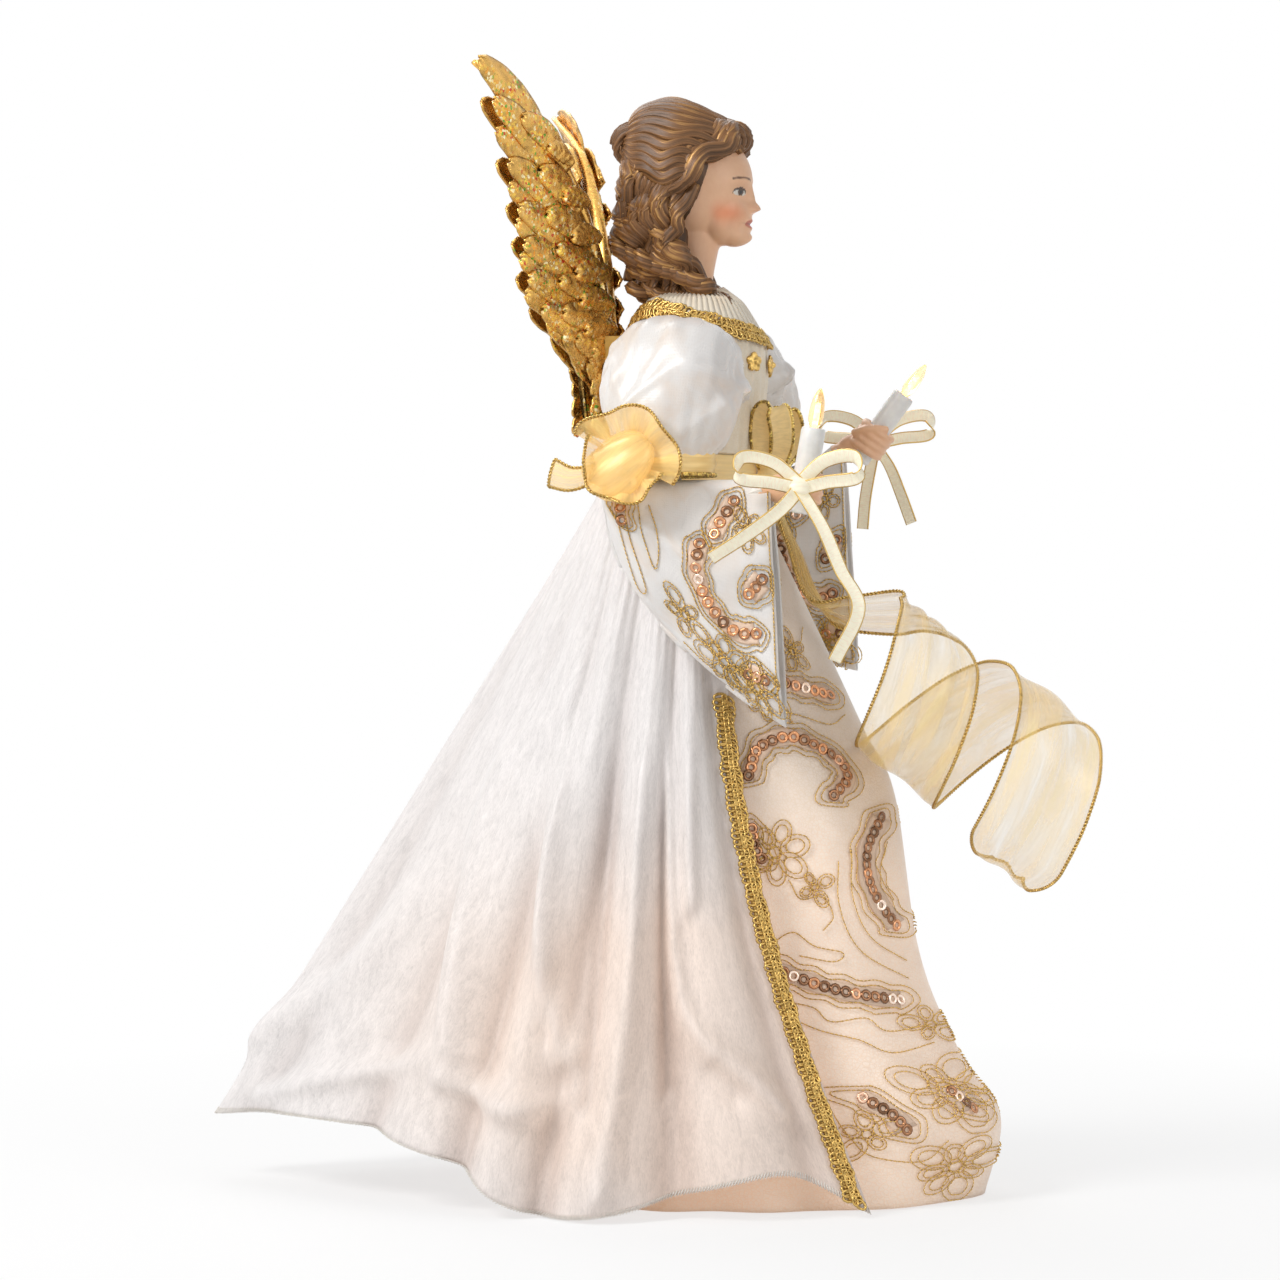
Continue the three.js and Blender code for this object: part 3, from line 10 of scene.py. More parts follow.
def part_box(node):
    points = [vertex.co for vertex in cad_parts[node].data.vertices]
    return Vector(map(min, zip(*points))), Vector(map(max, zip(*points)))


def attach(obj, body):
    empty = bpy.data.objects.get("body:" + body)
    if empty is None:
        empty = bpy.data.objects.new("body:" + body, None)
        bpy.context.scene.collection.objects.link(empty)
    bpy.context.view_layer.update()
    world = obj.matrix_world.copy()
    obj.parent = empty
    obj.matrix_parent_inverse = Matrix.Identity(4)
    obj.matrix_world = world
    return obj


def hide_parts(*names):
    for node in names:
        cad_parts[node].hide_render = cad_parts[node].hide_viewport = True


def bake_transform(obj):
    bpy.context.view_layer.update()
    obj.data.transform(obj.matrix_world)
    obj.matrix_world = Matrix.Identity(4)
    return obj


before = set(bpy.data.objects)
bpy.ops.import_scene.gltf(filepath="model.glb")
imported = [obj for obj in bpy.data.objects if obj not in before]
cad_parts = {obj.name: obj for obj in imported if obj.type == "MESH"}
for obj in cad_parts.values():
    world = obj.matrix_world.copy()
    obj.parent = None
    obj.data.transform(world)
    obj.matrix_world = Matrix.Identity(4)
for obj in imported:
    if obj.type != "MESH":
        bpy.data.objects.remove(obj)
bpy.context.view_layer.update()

bl_info = {
    "name": "Angel Tree Topper",
    "version": (1, 0, 0),
    "blender": (4, 5, 0),
    "location": "View3D > Sidebar > Angel",
    "description": "Dresses the packed angel figure in cloth, braid, sequins, hair and wings",
    "category": "Object",
}

MM = 0.001
TURN = 2 * math.pi

# Figure sizes in millimetres, as in the part's source
WAIST = 250.0
SHOULDER = (10.0, 296.0)
HEAD_MIDDLE = 352.0
TORSO_RATIO = 1.35
TORSO_LINE = [(13.5, 228.4), (16.5, 250), (22, 283), (21.2, 296), (15, 307), (11, 312)]
BODICE_OUT = 2.4
BODICE_HALF = 26.2
GOWN_TOP = 243.6
GOWN_HALF = 60.0
GOWN_TOP_HALF = 24.6
GOWN_TOP_REACH = 20.0
GOWN_BACK = 66.0
GOWN_FRONT = [(1, 20), (0.82, 41), (0.66, 59), (0.56, 70), (0.36, 77), (0.2, 92), (0.1, 106), (0, 100)]
TRAIN = 172.0
HEM_SHARES = [
    (0.92, -0.39, 1.5),
    (1.15, -0.25, 15),
    (1.28, -0.08, 10),
    (1.37, 0.08, 3),
    (1.38, 0.245, 1.5),
    (1.3, 0.36, 12),
    (1.08, 0.51, 22),
    (0.78, 0.66, 26),
    (0.4, 0.85, 26),
    (0, 1, 23),
]
FRONT_ANGLE = math.radians(55)
SKIRT_FOLDS = 12
SKIRT_FOLD = 4.5
GOWN_FOLDS = 12
WRISTS = {"right": (58.0, -33.0, 242.0), "left": (58.0, -30.0, 245.0)}
RAISES = {"right": 0.0, "left": 18.0}
LEANS = {"right": 10.0, "left": 36.0}
SIDES = {"right": -1, "left": 1}
HAND_REACH = 13.0
BAND_MIDDLE = (51.0, 1.0)
BAND_BOTTOM = 247.5
BAND_HEIGHT = 10.5
WING_ROOT = (6.0, 30.6, 295.0)
WING_SWEEP = math.radians(27)
WING_PLATE = [(1, -32), (1, 12), (5, 28), (15, 48), (24, 60), (34, 68), (40, 62), (40, 40), (36, 22), (26, 6)]
WING_PLATE += [(12, -6), (9, -31)]
WING_EDGE = [(0, -32), (0, 12), (4, 30), (14, 50), (23, 62), (33, 72), (45, 79), (71, 91)]
FEATHER_ROOTS = [(27, 58), (22, 44), (17, 32), (13, 22), (10, 13), (8, 4), (6, -6), (5, -14)]
FEATHER_TIPS = [(71, 91), (61, 68), (54, 50), (50, 38), (48, 26), (45, 14), (33, 6), (20, 0)]


# Curves and grids, in millimetres
def smooth(low, high, value):
    """Eased step from 0 at low to 1 at high."""
    share = np.clip((np.asarray(value, float) - low) / (high - low), 0, 1)
    return share * share * (3 - 2 * share)


def mix(a, b, share):
    return a + (b - a) * share


def spline(points, count):
    """Points on a smooth curve through points; count is a number of points or an array of shares."""
    p = np.asarray(points, float)
    t = np.linspace(0, 1, count) if np.isscalar(count) else np.asarray(count, float)
    place = np.clip(t, 0, 1) * (len(p) - 1)
    i = np.minimum(place.astype(int), len(p) - 2)
    w = (place - i)[:, None]
    q = np.vstack([2 * p[0] - p[1], p, 2 * p[-1] - p[-2]])
    a, b, c, d = q[i], q[i + 1], q[i + 2], q[i + 3]
    gap = lambda m, n: np.maximum(np.linalg.norm(n - m, axis=1), 1e-6)[:, None] ** 0.5
    u, v, z = gap(a, b), gap(b, c), gap(c, d)
    start = ((b - a) / u - (c - a) / (u + v) + (c - b) / v) * v
    end = ((c - b) / v - (d - b) / (v + z) + (d - c) / z) * v
    return b + start * w + (3 * (c - b) - 2 * start - end) * w**2 + (2 * (b - c) + start + end) * w**3


def even(points, step):
    """The polyline at an even spacing of about step."""
    p = np.asarray(points, float)
    run = np.concatenate([[0], np.cumsum(np.linalg.norm(np.diff(p, axis=0), axis=1))])
    count = max(2, int(round(run[-1] / step)) + 1)
    at = np.linspace(0, run[-1], count)
    return np.stack([np.interp(at, run, p[:, k]) for k in range(p.shape[1])], axis=1)


def unit(v):
    v = np.asarray(v, float)
    return v / np.maximum(np.linalg.norm(v, axis=-1, keepdims=True), 1e-9)


def tangents(p):
    return unit(np.gradient(p, axis=0))


def grid_normals(p, wrap):
    """Unit normals of a grid of points, rows down and columns across."""
    if wrap:
        across = np.roll(p, -1, 1) - np.roll(p, 1, 1)
    else:
        across = np.gradient(p, axis=1)
    return unit(np.cross(np.gradient(p, axis=0), across))


def grid_quads(rows, columns, wrap):
    i = np.arange(columns if wrap else columns - 1)
    j = np.arange(rows - 1)[:, None] * columns
    a, b = j + i, j + (i + 1) % columns
    return np.stack([a, b, b + columns, a + columns], -1).reshape(-1, 4)


def link(mesh, name):
    obj = bpy.data.objects.new(name, mesh)
    bpy.context.scene.collection.objects.link(obj)
    return obj


def signed_volume(points, quads):
    a, b, c, d = (points[quads[:, k]] for k in range(4))
    return np.einsum("ij,ij->i", a, np.cross(b, c) + np.cross(c, d)).sum()


def mesh_piece(name, points, quads, uv=None, flip=True):
    """A smooth mesh from points in millimetres; a closed one is turned to face out."""
    if flip and signed_volume(points, quads) < 0:
        quads = quads[:, ::-1]
        uv = None if uv is None else uv[:, ::-1]
    mesh = bpy.data.meshes.new(name)
    mesh.from_pydata((points * MM).tolist(), [], quads.tolist())
    if uv is not None:
        mesh.uv_layers.new(name="UVMap").data.foreach_set("uv", np.ascontiguousarray(uv, np.float32).ravel())
    mesh.polygons.foreach_set("use_smooth", np.ones(len(mesh.polygons), bool))
    mesh.update()
    return link(mesh, name)


def merged(name, parts):
    """One mesh from several (points, quads, uv) parts."""
    points, quads, uvs, start = [], [], [], 0
    for p, q, uv in parts:
        points.append(p)
        quads.append(q + start)
        uvs.append(uv)
        start += len(p)
    return mesh_piece(name, np.vstack(points), np.vstack(quads), np.concatenate(uvs), flip=False)


def shell_parts(outer, thickness, wrap=False, size=(1, 1)):
    """A closed skin of a given thickness under a grid of points, facing out."""
    rows, columns = outer.shape[:2]
    inner = outer - grid_normals(outer, wrap) * thickness
    n = rows * columns
    points = np.vstack([outer.reshape(-1, 3), inner.reshape(-1, 3)])
    front = grid_quads(rows, columns, wrap)
    quads = [front, front[:, ::-1] + n]
    i = np.arange(columns if wrap else columns - 1)
    k = (i + 1) % columns
    last = (rows - 1) * columns
    quads.append(np.stack([k, i, i + n, k + n], -1))
    quads.append(np.stack([last + i, last + k, last + k + n, last + i + n], -1))
    if not wrap:
        j = np.arange(rows - 1) * columns
        e = columns - 1
        quads.append(np.stack([j, j + columns, j + columns + n, j + n], -1))
        quads.append(np.stack([j + e + columns, j + e, j + e + n, j + e + columns + n], -1))
    quads = np.vstack(quads)
    column = quads % n % columns
    seam = wrap & (column.max(1) - column.min(1) > 1)
    column = np.where(seam[:, None] & (column == 0), columns, column)
    across = column / (columns if wrap else columns - 1)
    down = quads % n // columns / (rows - 1)
    uv = np.stack([across * size[0], down * size[1]], -1)
    if signed_volume(points, quads) < 0:
        quads, uv = quads[:, ::-1], uv[:, ::-1]
    return points, quads, uv


def shell(name, outer, thickness, wrap=False, size=(1, 1)):
    return mesh_piece(name, *shell_parts(outer, thickness, wrap, size), flip=False)


def path_frames(path, across):
    """Along, across and up directions on a path, with across near a given direction."""
    along = tangents(path)
    side = np.broadcast_to(np.asarray(across, float), path.shape)
    side = unit(side - along * np.einsum("ij,ij->i", side, along)[:, None])
    return along, side, np.cross(along, side)


def tube_parts(path, radius, sides=8, across=(0.31, 0.21, 0.93), lobes=0, groove=0.0, twist=0.0, flat=1.0):
    """A closed tube on a path, round or lobed; the radius may change along it."""
    path = np.asarray(path, float)
    n = len(path)
    _, side, up = path_frames(path, across)
    turn = np.linspace(0, TURN, sides, endpoint=False)
    share = np.linspace(0, 1, n)[:, None]
    r = np.broadcast_to(np.asarray(radius, float).reshape(-1, 1), (n, 1))
    wave = 1 + groove * np.cos(lobes * turn[None, :] + twist * TURN * share)
    x, y = r * wave * np.cos(turn), r * wave * np.sin(turn) * flat
    rings = path[:, None] + side[:, None] * x[..., None] + up[:, None] * y[..., None]
    return ring_parts(rings)


def ring_parts(rings):
    """A closed body through rings of points, with its ends drawn to a point."""
    n, sides = rings.shape[:2]
    ends = np.repeat(np.stack([rings[0].mean(0), rings[-1].mean(0)])[:, None], sides, 1)
    full = np.concatenate([ends[:1], rings, ends[1:]])
    points = full.reshape(-1, 3)
    quads = grid_quads(n + 2, sides, True)
    column = quads % sides
    column = np.where((column.max(1) - column.min(1) > 1)[:, None] & (column == 0), sides, column)
    uv = np.stack([column / sides, quads // sides / (n + 1)], -1)
    if signed_volume(points, quads) < 0:
        quads, uv = quads[:, ::-1], uv[:, ::-1]
    return points, quads, uv


def turned_rings(profile, sides, swell=1.0):
    """Rings of points about +Z from (radius, height) pairs; swell changes the radius round each ring."""
    turn = np.linspace(0, TURN, sides, endpoint=False)
    x, y = swell * np.cos(turn), swell * np.sin(turn)
    return np.array([np.stack([r * x, r * y, np.full(sides, float(z))], -1) for r, z in profile])


def turned_parts(profile, sides=32):
    """A piece turned about +Z from (radius, height) pairs that start and end on the axis."""
    return ring_parts(turned_rings(profile, sides))


def ellipsoid_parts(centre, halves, sides=32, rows=18):
    down = np.linspace(0, math.pi, rows)[1:-1]
    p, q, uv = turned_parts([(math.sin(a), math.cos(a)) for a in down], sides)
    return p * np.asarray(halves) + np.asarray(centre), q, uv


def moved(parts, matrix):
    p, q, uv = parts
    m = np.array(matrix)
    p = p @ m[:3, :3].T + m[:3, 3]
    if np.linalg.det(m[:3, :3]) < 0:
        q, uv = q[:, ::-1], uv[:, ::-1]
    return p, q, uv


def ribbon_grid(path, across, width, columns=9, bow=0.0):
    """A grid of points for a ribbon: width across the path, with an optional bowed section."""
    path = np.asarray(path, float)
    _, side, up = path_frames(path, across)
    s = np.linspace(-1, 1, columns)
    half = np.broadcast_to(np.asarray(width, float).reshape(-1, 1), (len(path), 1)) / 2
    return (
        path[:, None]
        + side[:, None] * (half * s)[..., None]
        + up[:, None] * (bow * half * (1 - s**2))[..., None]
    )


def attribute(obj, name, values):
    """Stores one number, or one colour, for each point of a piece."""
    values = np.asarray(values, np.float32)
    kind, key = ("FLOAT", "value") if values.ndim == 1 else ("FLOAT_COLOR", "color")
    if values.ndim == 2 and values.shape[1] == 3:
        values = np.concatenate([values, np.ones((len(values), 1), np.float32)], 1)
    layer = obj.data.attributes.new(name, kind, "POINT")
    layer.data.foreach_set(key, np.ascontiguousarray(values).ravel())


def places(obj):
    """The points of a piece, in millimetres."""
    co = np.zeros(len(obj.data.vertices) * 3, np.float32)
    obj.data.vertices.foreach_get("co", co)
    return co.reshape(-1, 3).astype(float) / MM


def baked(obj):
    """Applies the modifiers of a piece to its mesh."""
    graph = bpy.context.evaluated_depsgraph_get()
    made = obj.evaluated_get(graph)
    mesh = bpy.data.meshes.new_from_object(made, preserve_all_data_layers=True, depsgraph=graph)
    old = obj.data
    obj.modifiers.clear()
    obj.data = mesh
    bpy.data.meshes.remove(old)
    mesh.name = obj.name
    return obj


def sculpted(name, parts, voxel, passes):
    """Parts melted into one smooth body."""
    obj = merged(name, parts)
    melt = obj.modifiers.new("melt", "REMESH")
    melt.mode = "VOXEL"
    melt.voxel_size = voxel * MM
    melt.use_smooth_shade = True
    ease = obj.modifiers.new("ease", "SMOOTH")
    ease.factor = 0.5
    ease.iterations = passes
    return baked(obj)


# Geometry node trees
def node_tree(name, inputs):
    """An empty geometry tree with named inputs, its input and output nodes, and each input's identifier."""
    tree = bpy.data.node_groups.new(name, "GeometryNodeTree")
    tree.interface.new_socket(name="Geometry", in_out="OUTPUT", socket_type="NodeSocketGeometry")
    tree.interface.new_socket(name="Geometry", in_out="INPUT", socket_type="NodeSocketGeometry")
    keys = {}
    for label, kind in inputs:
        keys[label] = tree.interface.new_socket(name=label, in_out="INPUT", socket_type=kind).identifier
    return tree, tree.nodes.new("NodeGroupInput"), tree.nodes.new("NodeGroupOutput"), keys


def join(tree, *pairs):
    for source, target in pairs:
        tree.links.new(source, target)


def finish_nodes(tree, source, given, made):
    """Ends a tree: real meshes, smooth shading and one material."""
    real = tree.nodes.new("GeometryNodeRealizeInstances")
    shade = tree.nodes.new("GeometryNodeSetShadeSmooth")
    paint = tree.nodes.new("GeometryNodeSetMaterial")
    join(
        tree,
        (source, real.inputs[0]),
        (real.outputs[0], shade.inputs["Geometry"]),
        (shade.outputs[0], paint.inputs["Geometry"]),
        (given.outputs["Finish"], paint.inputs["Material"]),
        (paint.outputs[0], made.inputs[0]),
    )


def sewn_tree():
    """Copies one small piece onto each point, facing out and turned along its row."""
    tree, given, made, keys = node_tree(
        "sewn_on",
        [
            ("Piece", "NodeSocketObject"),
            ("Tilt", "NodeSocketFloat"),
            ("Seed", "NodeSocketInt"),
            ("Finish", "NodeSocketMaterial"),
        ],
    )
    new = tree.nodes.new
    stored = {}
    for label, kind in (("facing", "FLOAT_VECTOR"), ("along", "FLOAT_VECTOR"), ("size", "FLOAT")):
        stored[label] = new("GeometryNodeInputNamedAttribute")
        stored[label].data_type = kind
        stored[label].inputs["Name"].default_value = label
    stand = new("FunctionNodeAlignRotationToVector")
    stand.axis = "Z"
    turn = new("FunctionNodeAlignRotationToVector")
    turn.axis, turn.pivot_axis = "X", "Z"
    loose = new("FunctionNodeRandomValue")
    loose.data_type = "FLOAT_VECTOR"
    below = new("ShaderNodeMath")
    below.operation = "MULTIPLY"
    below.inputs[1].default_value = -1
    euler = new("FunctionNodeEulerToRotation")
    sway = new("FunctionNodeRotateRotation")
    sway.rotation_space = "LOCAL"
    piece = new("GeometryNodeObjectInfo")
    copies = new("GeometryNodeInstanceOnPoints")
    tone = new("FunctionNodeRandomValue")
    keep = new("GeometryNodeStoreNamedAttribute")
    keep.domain = "INSTANCE"
    keep.inputs["Name"].default_value = "tone"
    tone_value = [s for s in tone.outputs if s.type == "VALUE"][0]
    join(
        tree,
        (stored["facing"].outputs[0], stand.inputs["Vector"]),
        (stand.outputs[0], turn.inputs["Rotation"]),
        (stored["along"].outputs[0], turn.inputs["Vector"]),
        (given.outputs["Tilt"], loose.inputs["Max"]),
        (given.outputs["Tilt"], below.inputs[0]),
        (below.outputs[0], loose.inputs["Min"]),
        (given.outputs["Seed"], loose.inputs["Seed"]),
        (loose.outputs[0], euler.inputs[0]),
        (turn.outputs[0], sway.inputs["Rotation"]),
        (euler.outputs[0], sway.inputs["Rotate By"]),
        (given.outputs["Piece"], piece.inputs["Object"]),
        (given.outputs["Geometry"], copies.inputs["Points"]),
        (piece.outputs["Geometry"], copies.inputs["Instance"]),
        (sway.outputs[0], copies.inputs["Rotation"]),
        (stored["size"].outputs[0], copies.inputs["Scale"]),
        (given.outputs["Seed"], tone.inputs["Seed"]),
        (copies.outputs[0], keep.inputs["Geometry"]),
        (tone_value, keep.inputs["Value"]),
    )
    finish_nodes(tree, keep.outputs[0], given, made)
    return tree, keys


def thread_tree():
    """Sweeps a round thread or wire along each line of edges."""
    tree, given, made, keys = node_tree(
        "swept_thread",
        [("Radius", "NodeSocketFloat"), ("Sides", "NodeSocketInt"), ("Finish", "NodeSocketMaterial")],
    )
    curve = tree.nodes.new("GeometryNodeMeshToCurve")
    ring = tree.nodes.new("GeometryNodeCurvePrimitiveCircle")
    sweep = tree.nodes.new("GeometryNodeCurveToMesh")
    sweep.inputs["Fill Caps"].default_value = True
    join(
        tree,
        (given.outputs["Geometry"], curve.inputs[0]),
        (given.outputs["Radius"], ring.inputs["Radius"]),
        (given.outputs["Sides"], ring.inputs["Resolution"]),
        (curve.outputs[0], sweep.inputs["Curve"]),
        (ring.outputs[0], sweep.inputs["Profile Curve"]),
    )
    finish_nodes(tree, sweep.outputs[0], given, made)
    return tree, keys


TREES = {}


def run_tree(obj, maker, values):
    """Runs a geometry tree on a piece and keeps the result as its plain mesh."""
    if maker.__name__ not in TREES:
        TREES[maker.__name__] = maker()
    tree, keys = TREES[maker.__name__]
    work = obj.modifiers.new(tree.name, "NODES")
    work.node_group = tree
    for label, value in values.items():
        work[keys[label]] = value
    bpy.context.view_layer.update()
    return baked(obj)


def sewn(name, template, rows, finish, tilt=0.0, seed=1):
    """Sews copies of a template on rows of (points, facing, along, size)."""
    points = np.vstack([row[0] for row in rows])
    mesh = bpy.data.meshes.new(name)
    mesh.from_pydata((points * MM).tolist(), [], [])
    obj = link(mesh, name)
    for key, column in (("facing", 1), ("along", 2)):
        layer = mesh.attributes.new(key, "FLOAT_VECTOR", "POINT")
        layer.data.foreach_set("vector", np.vstack([row[column] for row in rows]).astype(np.float32).ravel())
    scales = np.concatenate([np.full(len(row[0]), row[3], np.float32) for row in rows])
    mesh.attributes.new("size", "FLOAT", "POINT").data.foreach_set("value", scales)
    return run_tree(obj, sewn_tree, {"Piece": template, "Tilt": tilt, "Seed": seed, "Finish": finish})


def threads(name, lines, radius, finish, sides=6):
    """Round threads along polylines in millimetres."""
    points, edges, start = [], [], 0
    for line in lines:
        points.append(line)
        i = np.arange(start, start + len(line) - 1)
        edges.append(np.stack([i, i + 1], -1))
        start += len(line)
    mesh = bpy.data.meshes.new(name)
    mesh.from_pydata((np.vstack(points) * MM).tolist(), np.vstack(edges).tolist(), [])
    return run_tree(link(mesh, name), thread_tree, {"Radius": radius * MM, "Sides": sides, "Finish": finish})


def twisted(path, across, radius, pitch):
    """Two strands wound round each other along a path."""
    path = even(path, pitch / 7)
    _, side, up = path_frames(path, across)
    turn = np.arange(len(path)) / 7 * TURN
    lines = []
    for start in (0, math.pi):
        swing = side * np.cos(turn + start)[:, None] + up * np.sin(turn + start)[:, None]
        lines.append(path + swing * radius)
    return lines


def discard(*objects):
    for obj in objects:
        mesh = obj.data
        bpy.data.objects.remove(obj)
        bpy.data.meshes.remove(mesh)


# Finishes
class Finish:
    """A procedural finish, built on one principled shader."""

    def __init__(self, name, sockets):
        self.material = bpy.data.materials.new(name)
        self.material.use_nodes = True
        self.tree = self.material.node_tree
        self.shader = self.tree.nodes["Principled BSDF"]
        for key, value in sockets.items():
            self.shader.inputs[key].default_value = value

    def feed(self, socket, value):
        if isinstance(value, bpy.types.NodeSocket):
            self.tree.links.new(value, socket)
        else:
            socket.default_value = value

    def node(self, kind, inputs=None, **settings):
        made = self.tree.nodes.new(kind)
        for key, value in settings.items():
            setattr(made, key, value)
        for key, value in (inputs or {}).items():
            self.feed(made.inputs[key], value)
        return made

    def where(self, scale=(1, 1, 1), source="UV"):
        """Surface coordinates, scaled."""
        place = self.node("ShaderNodeTexCoord").outputs[source]
        return self.node("ShaderNodeMapping", {"Vector": place, "Scale": scale}).outputs[0]

    def inside(self):
        """The piece's own coordinates, in metres."""
        return self.where(source="Object")

    def weave(self, count, kind):
        """Threads that cross; a higher count sets them closer."""
        warp = self.node("ShaderNodeTexWave", {"Vector": self.where((count, 1, 1)), "Scale": 1.0})
        across = {"Vector": self.where((1, count, 1)), "Scale": 1.0}
        weft = self.node("ShaderNodeTexWave", across, bands_direction="Y")
        return self.math(kind, warp.outputs[1], weft.outputs[1])

    def noise(self, vector, scale, detail=3.0, rough=0.55, warp=0.0):
        inputs = {"Vector": vector, "Scale": scale, "Detail": detail, "Roughness": rough, "Distortion": warp}
        return self.node("ShaderNodeTexNoise", inputs).outputs[0]

    def cells(self, vector, scale, feature="F1", output="Distance"):
        made = self.node("ShaderNodeTexVoronoi", {"Vector": vector, "Scale": scale}, feature=feature)
        return made.outputs[output]

    def stored(self, name, output="Fac"):
        return self.node("ShaderNodeAttribute", attribute_name=name).outputs[output]

    def ramp(self, value, stops, ease="LINEAR"):
        made = self.node("ShaderNodeValToRGB", {"Fac": value})
        made.color_ramp.interpolation = ease
        spots = made.color_ramp.elements
        while len(spots) < len(stops):
            spots.new(0.5)
        for spot, (at, colour) in zip(spots, stops):
            spot.position = at
            spot.color = (*colour, 1) if len(colour) == 3 else colour
        return made.outputs[0]

    def level(self, value, low, high, start=0.0, end=1.0):
        inputs = {"Value": value, "From Min": start, "From Max": end, "To Min": low, "To Max": high}
        return self.node("ShaderNodeMapRange", inputs).outputs[0]

    def math(self, kind, a, b):
        made = self.node("ShaderNodeMath", operation=kind)
        self.feed(made.inputs[0], a)
        self.feed(made.inputs[1], b)
        return made.outputs[0]

    def blend(self, share, a, b, kind="MIX"):
        made = self.node("ShaderNodeMix", data_type="RGBA", blend_type=kind)
        for index, value in ((0, share), (6, a), (7, b)):
            if isinstance(value, tuple) and len(value) == 3:
                value = (*value, 1)
            self.feed(made.inputs[index], value)
        return made.outputs[2]

    def bump(self, height, strength, distance, under=None):
        inputs = {"Height": height, "Strength": strength, "Distance": distance}
        if under is not None:
            inputs["Normal"] = under
        return self.node("ShaderNodeBump", inputs).outputs[0]

    def set(self, **links):
        for key, value in links.items():
            self.feed(self.shader.inputs[key.replace("_", " ")], value)
        return self.material


def shade(colour, factor):
    return tuple(min(1.0, c * factor) for c in colour)


def tint(name):
    """A colour setting."""
    return tuple(getattr(bpy.context.scene.angel_colours, name))


def size(name):
    """A size setting, in millimetres."""
    return getattr(bpy.context.scene.angel_sizes, name) / MM


def velvet_finish():
    """Crushed velvet: streaks of pile that lie both ways, painted shade darkening its fold valleys, and the lamps'
    glow through it painted in as a warm tint and faint emission.
    """
    pale = tint("velvet")
    f = Finish("velvet", {"Sheen Weight": 0.35, "Sheen Roughness": 0.35, "Specular IOR Level": 0.35})
    streak = f.noise(f.where((1700, 420, 1)), 1, 4, 0.7, 0.8)
    crush = f.noise(f.where((170, 60, 1)), 1, 3, 0.55, 1.2)
    pile = f.math("ADD", f.math("MULTIPLY", streak, 0.6), f.math("MULTIPLY", crush, 0.4))
    colour = f.ramp(pile, [(0.3, shade(pale, 0.76)), (0.5, shade(pale, 0.97)), (0.68, shade(pale, 1.12))])
    # painted shade: the velvet is darkened where its folds sink into valleys
    deep = f.blend(f.stored("valley"), colour, (0.80, 0.77, 0.76), "MULTIPLY")
    warm = f.blend(f.stored("glow"), deep, (1.0, 0.92, 0.85), "MULTIPLY")
    return f.set(
        Base_Color=warm,
        Roughness=f.level(pile, 0.62, 0.3, 0.3, 0.7),
        Normal=f.bump(pile, 0.35, 0.0004),
        Emission_Color=f.blend(f.stored("glow"), (0, 0, 0), (1.0, 0.6, 0.38)),
        Emission_Strength=0.08,
    )


def satin_finish(name, colour):
    """Pearly satin with a fine cross weave."""
    f = Finish(name, {"Sheen Weight": 0.2, "Coat Weight": 0.12, "Coat Roughness": 0.3, "Anisotropic": 0.3})
    weave = f.weave(420, "MULTIPLY")
    crease = f.noise(f.where(), 90, 4, 0.6, 0.8)
    # painted shade and highlight: the low parts of the crease noise take a duller, peach-tinted colour and its
    # highs a slightly lighter one
    crease_shade = tuple(c * k for c, k in zip(colour, (0.97, 0.9, 0.84)))
    colours = f.ramp(crease, [(0.3, crease_shade), (0.55, colour), (0.75, shade(colour, 1.05))])
    return f.set(
        Base_Color=f.blend(f.level(weave, 0.0, 0.12), colours, shade(colour, 0.8)),
        Roughness=f.level(crease, 0.42, 0.22, 0.3, 0.7),
        Normal=f.bump(crease, 0.35, 0.0008, f.bump(weave, 0.12, 0.0002)),
    )


def net_finish(name, colour, thread, glow=False):
    """Satin seen through gold net: small six-sided meshes over a soft sheen."""
    f = Finish(name, {"Sheen Weight": 0.25, "Coat Weight": 0.1, "Coat Roughness": 0.35})
    mesh = f.cells(f.where(), 900, "DISTANCE_TO_EDGE")
    line = f.ramp(mesh, [(0.03, (1, 1, 1)), (0.12, (0, 0, 0))])
    crease = f.noise(f.where(), 60, 4, 0.6, 0.6)
    base = f.ramp(crease, [(0.3, shade(colour, 0.92)), (0.6, colour), (0.8, shade(colour, 1.06))])
    f.set(
        Base_Color=f.blend(f.math("MULTIPLY", line, 0.16), base, thread),
        Roughness=f.level(crease, 0.5, 0.3, 0.3, 0.7),
        Normal=f.bump(crease, 0.3, 0.0007, f.bump(line, 0.35, 0.0002)),
    )
    if glow:
        f.set(
            Emission_Color=f.blend(f.stored("glow"), (0, 0, 0), (1.0, 0.6, 0.36)), Emission_Strength=0.2
        )
    return f.material


def gold_finish(name, colour, rough=0.3, grain=900, glitter=0.0):
    """Metallic gold thread or foil with worn, uneven brightness."""
    f = Finish(name, {"Metallic": 0.9})
    place = f.inside()
    wear = f.noise(place, grain, 3, 0.6)
    patch = f.noise(place, grain / 9, 2, 0.5)
    colours = f.ramp(wear, [(0.3, shade(colour, 0.45)), (0.5, colour), (0.72, shade(colour, 1.35))])
    normal = f.bump(wear, 0.4, 0.0003)
    f.set(Roughness=f.level(patch, rough + 0.12, rough - 0.08, 0.3, 0.7))
    if glitter:
        flake = f.cells(place, glitter, "F1", "Color")
        spark = f.node("ShaderNodeSeparateColor", {"Color": flake})
        colours = f.ramp(spark.outputs[0], [(0.1, shade(colour, 0.3)), (0.55, colour), (0.95, shade(colour, 1.9))])
        normal = f.bump(spark.outputs[1], 0.6, 0.0006)
    return f.set(Base_Color=colours, Normal=normal)


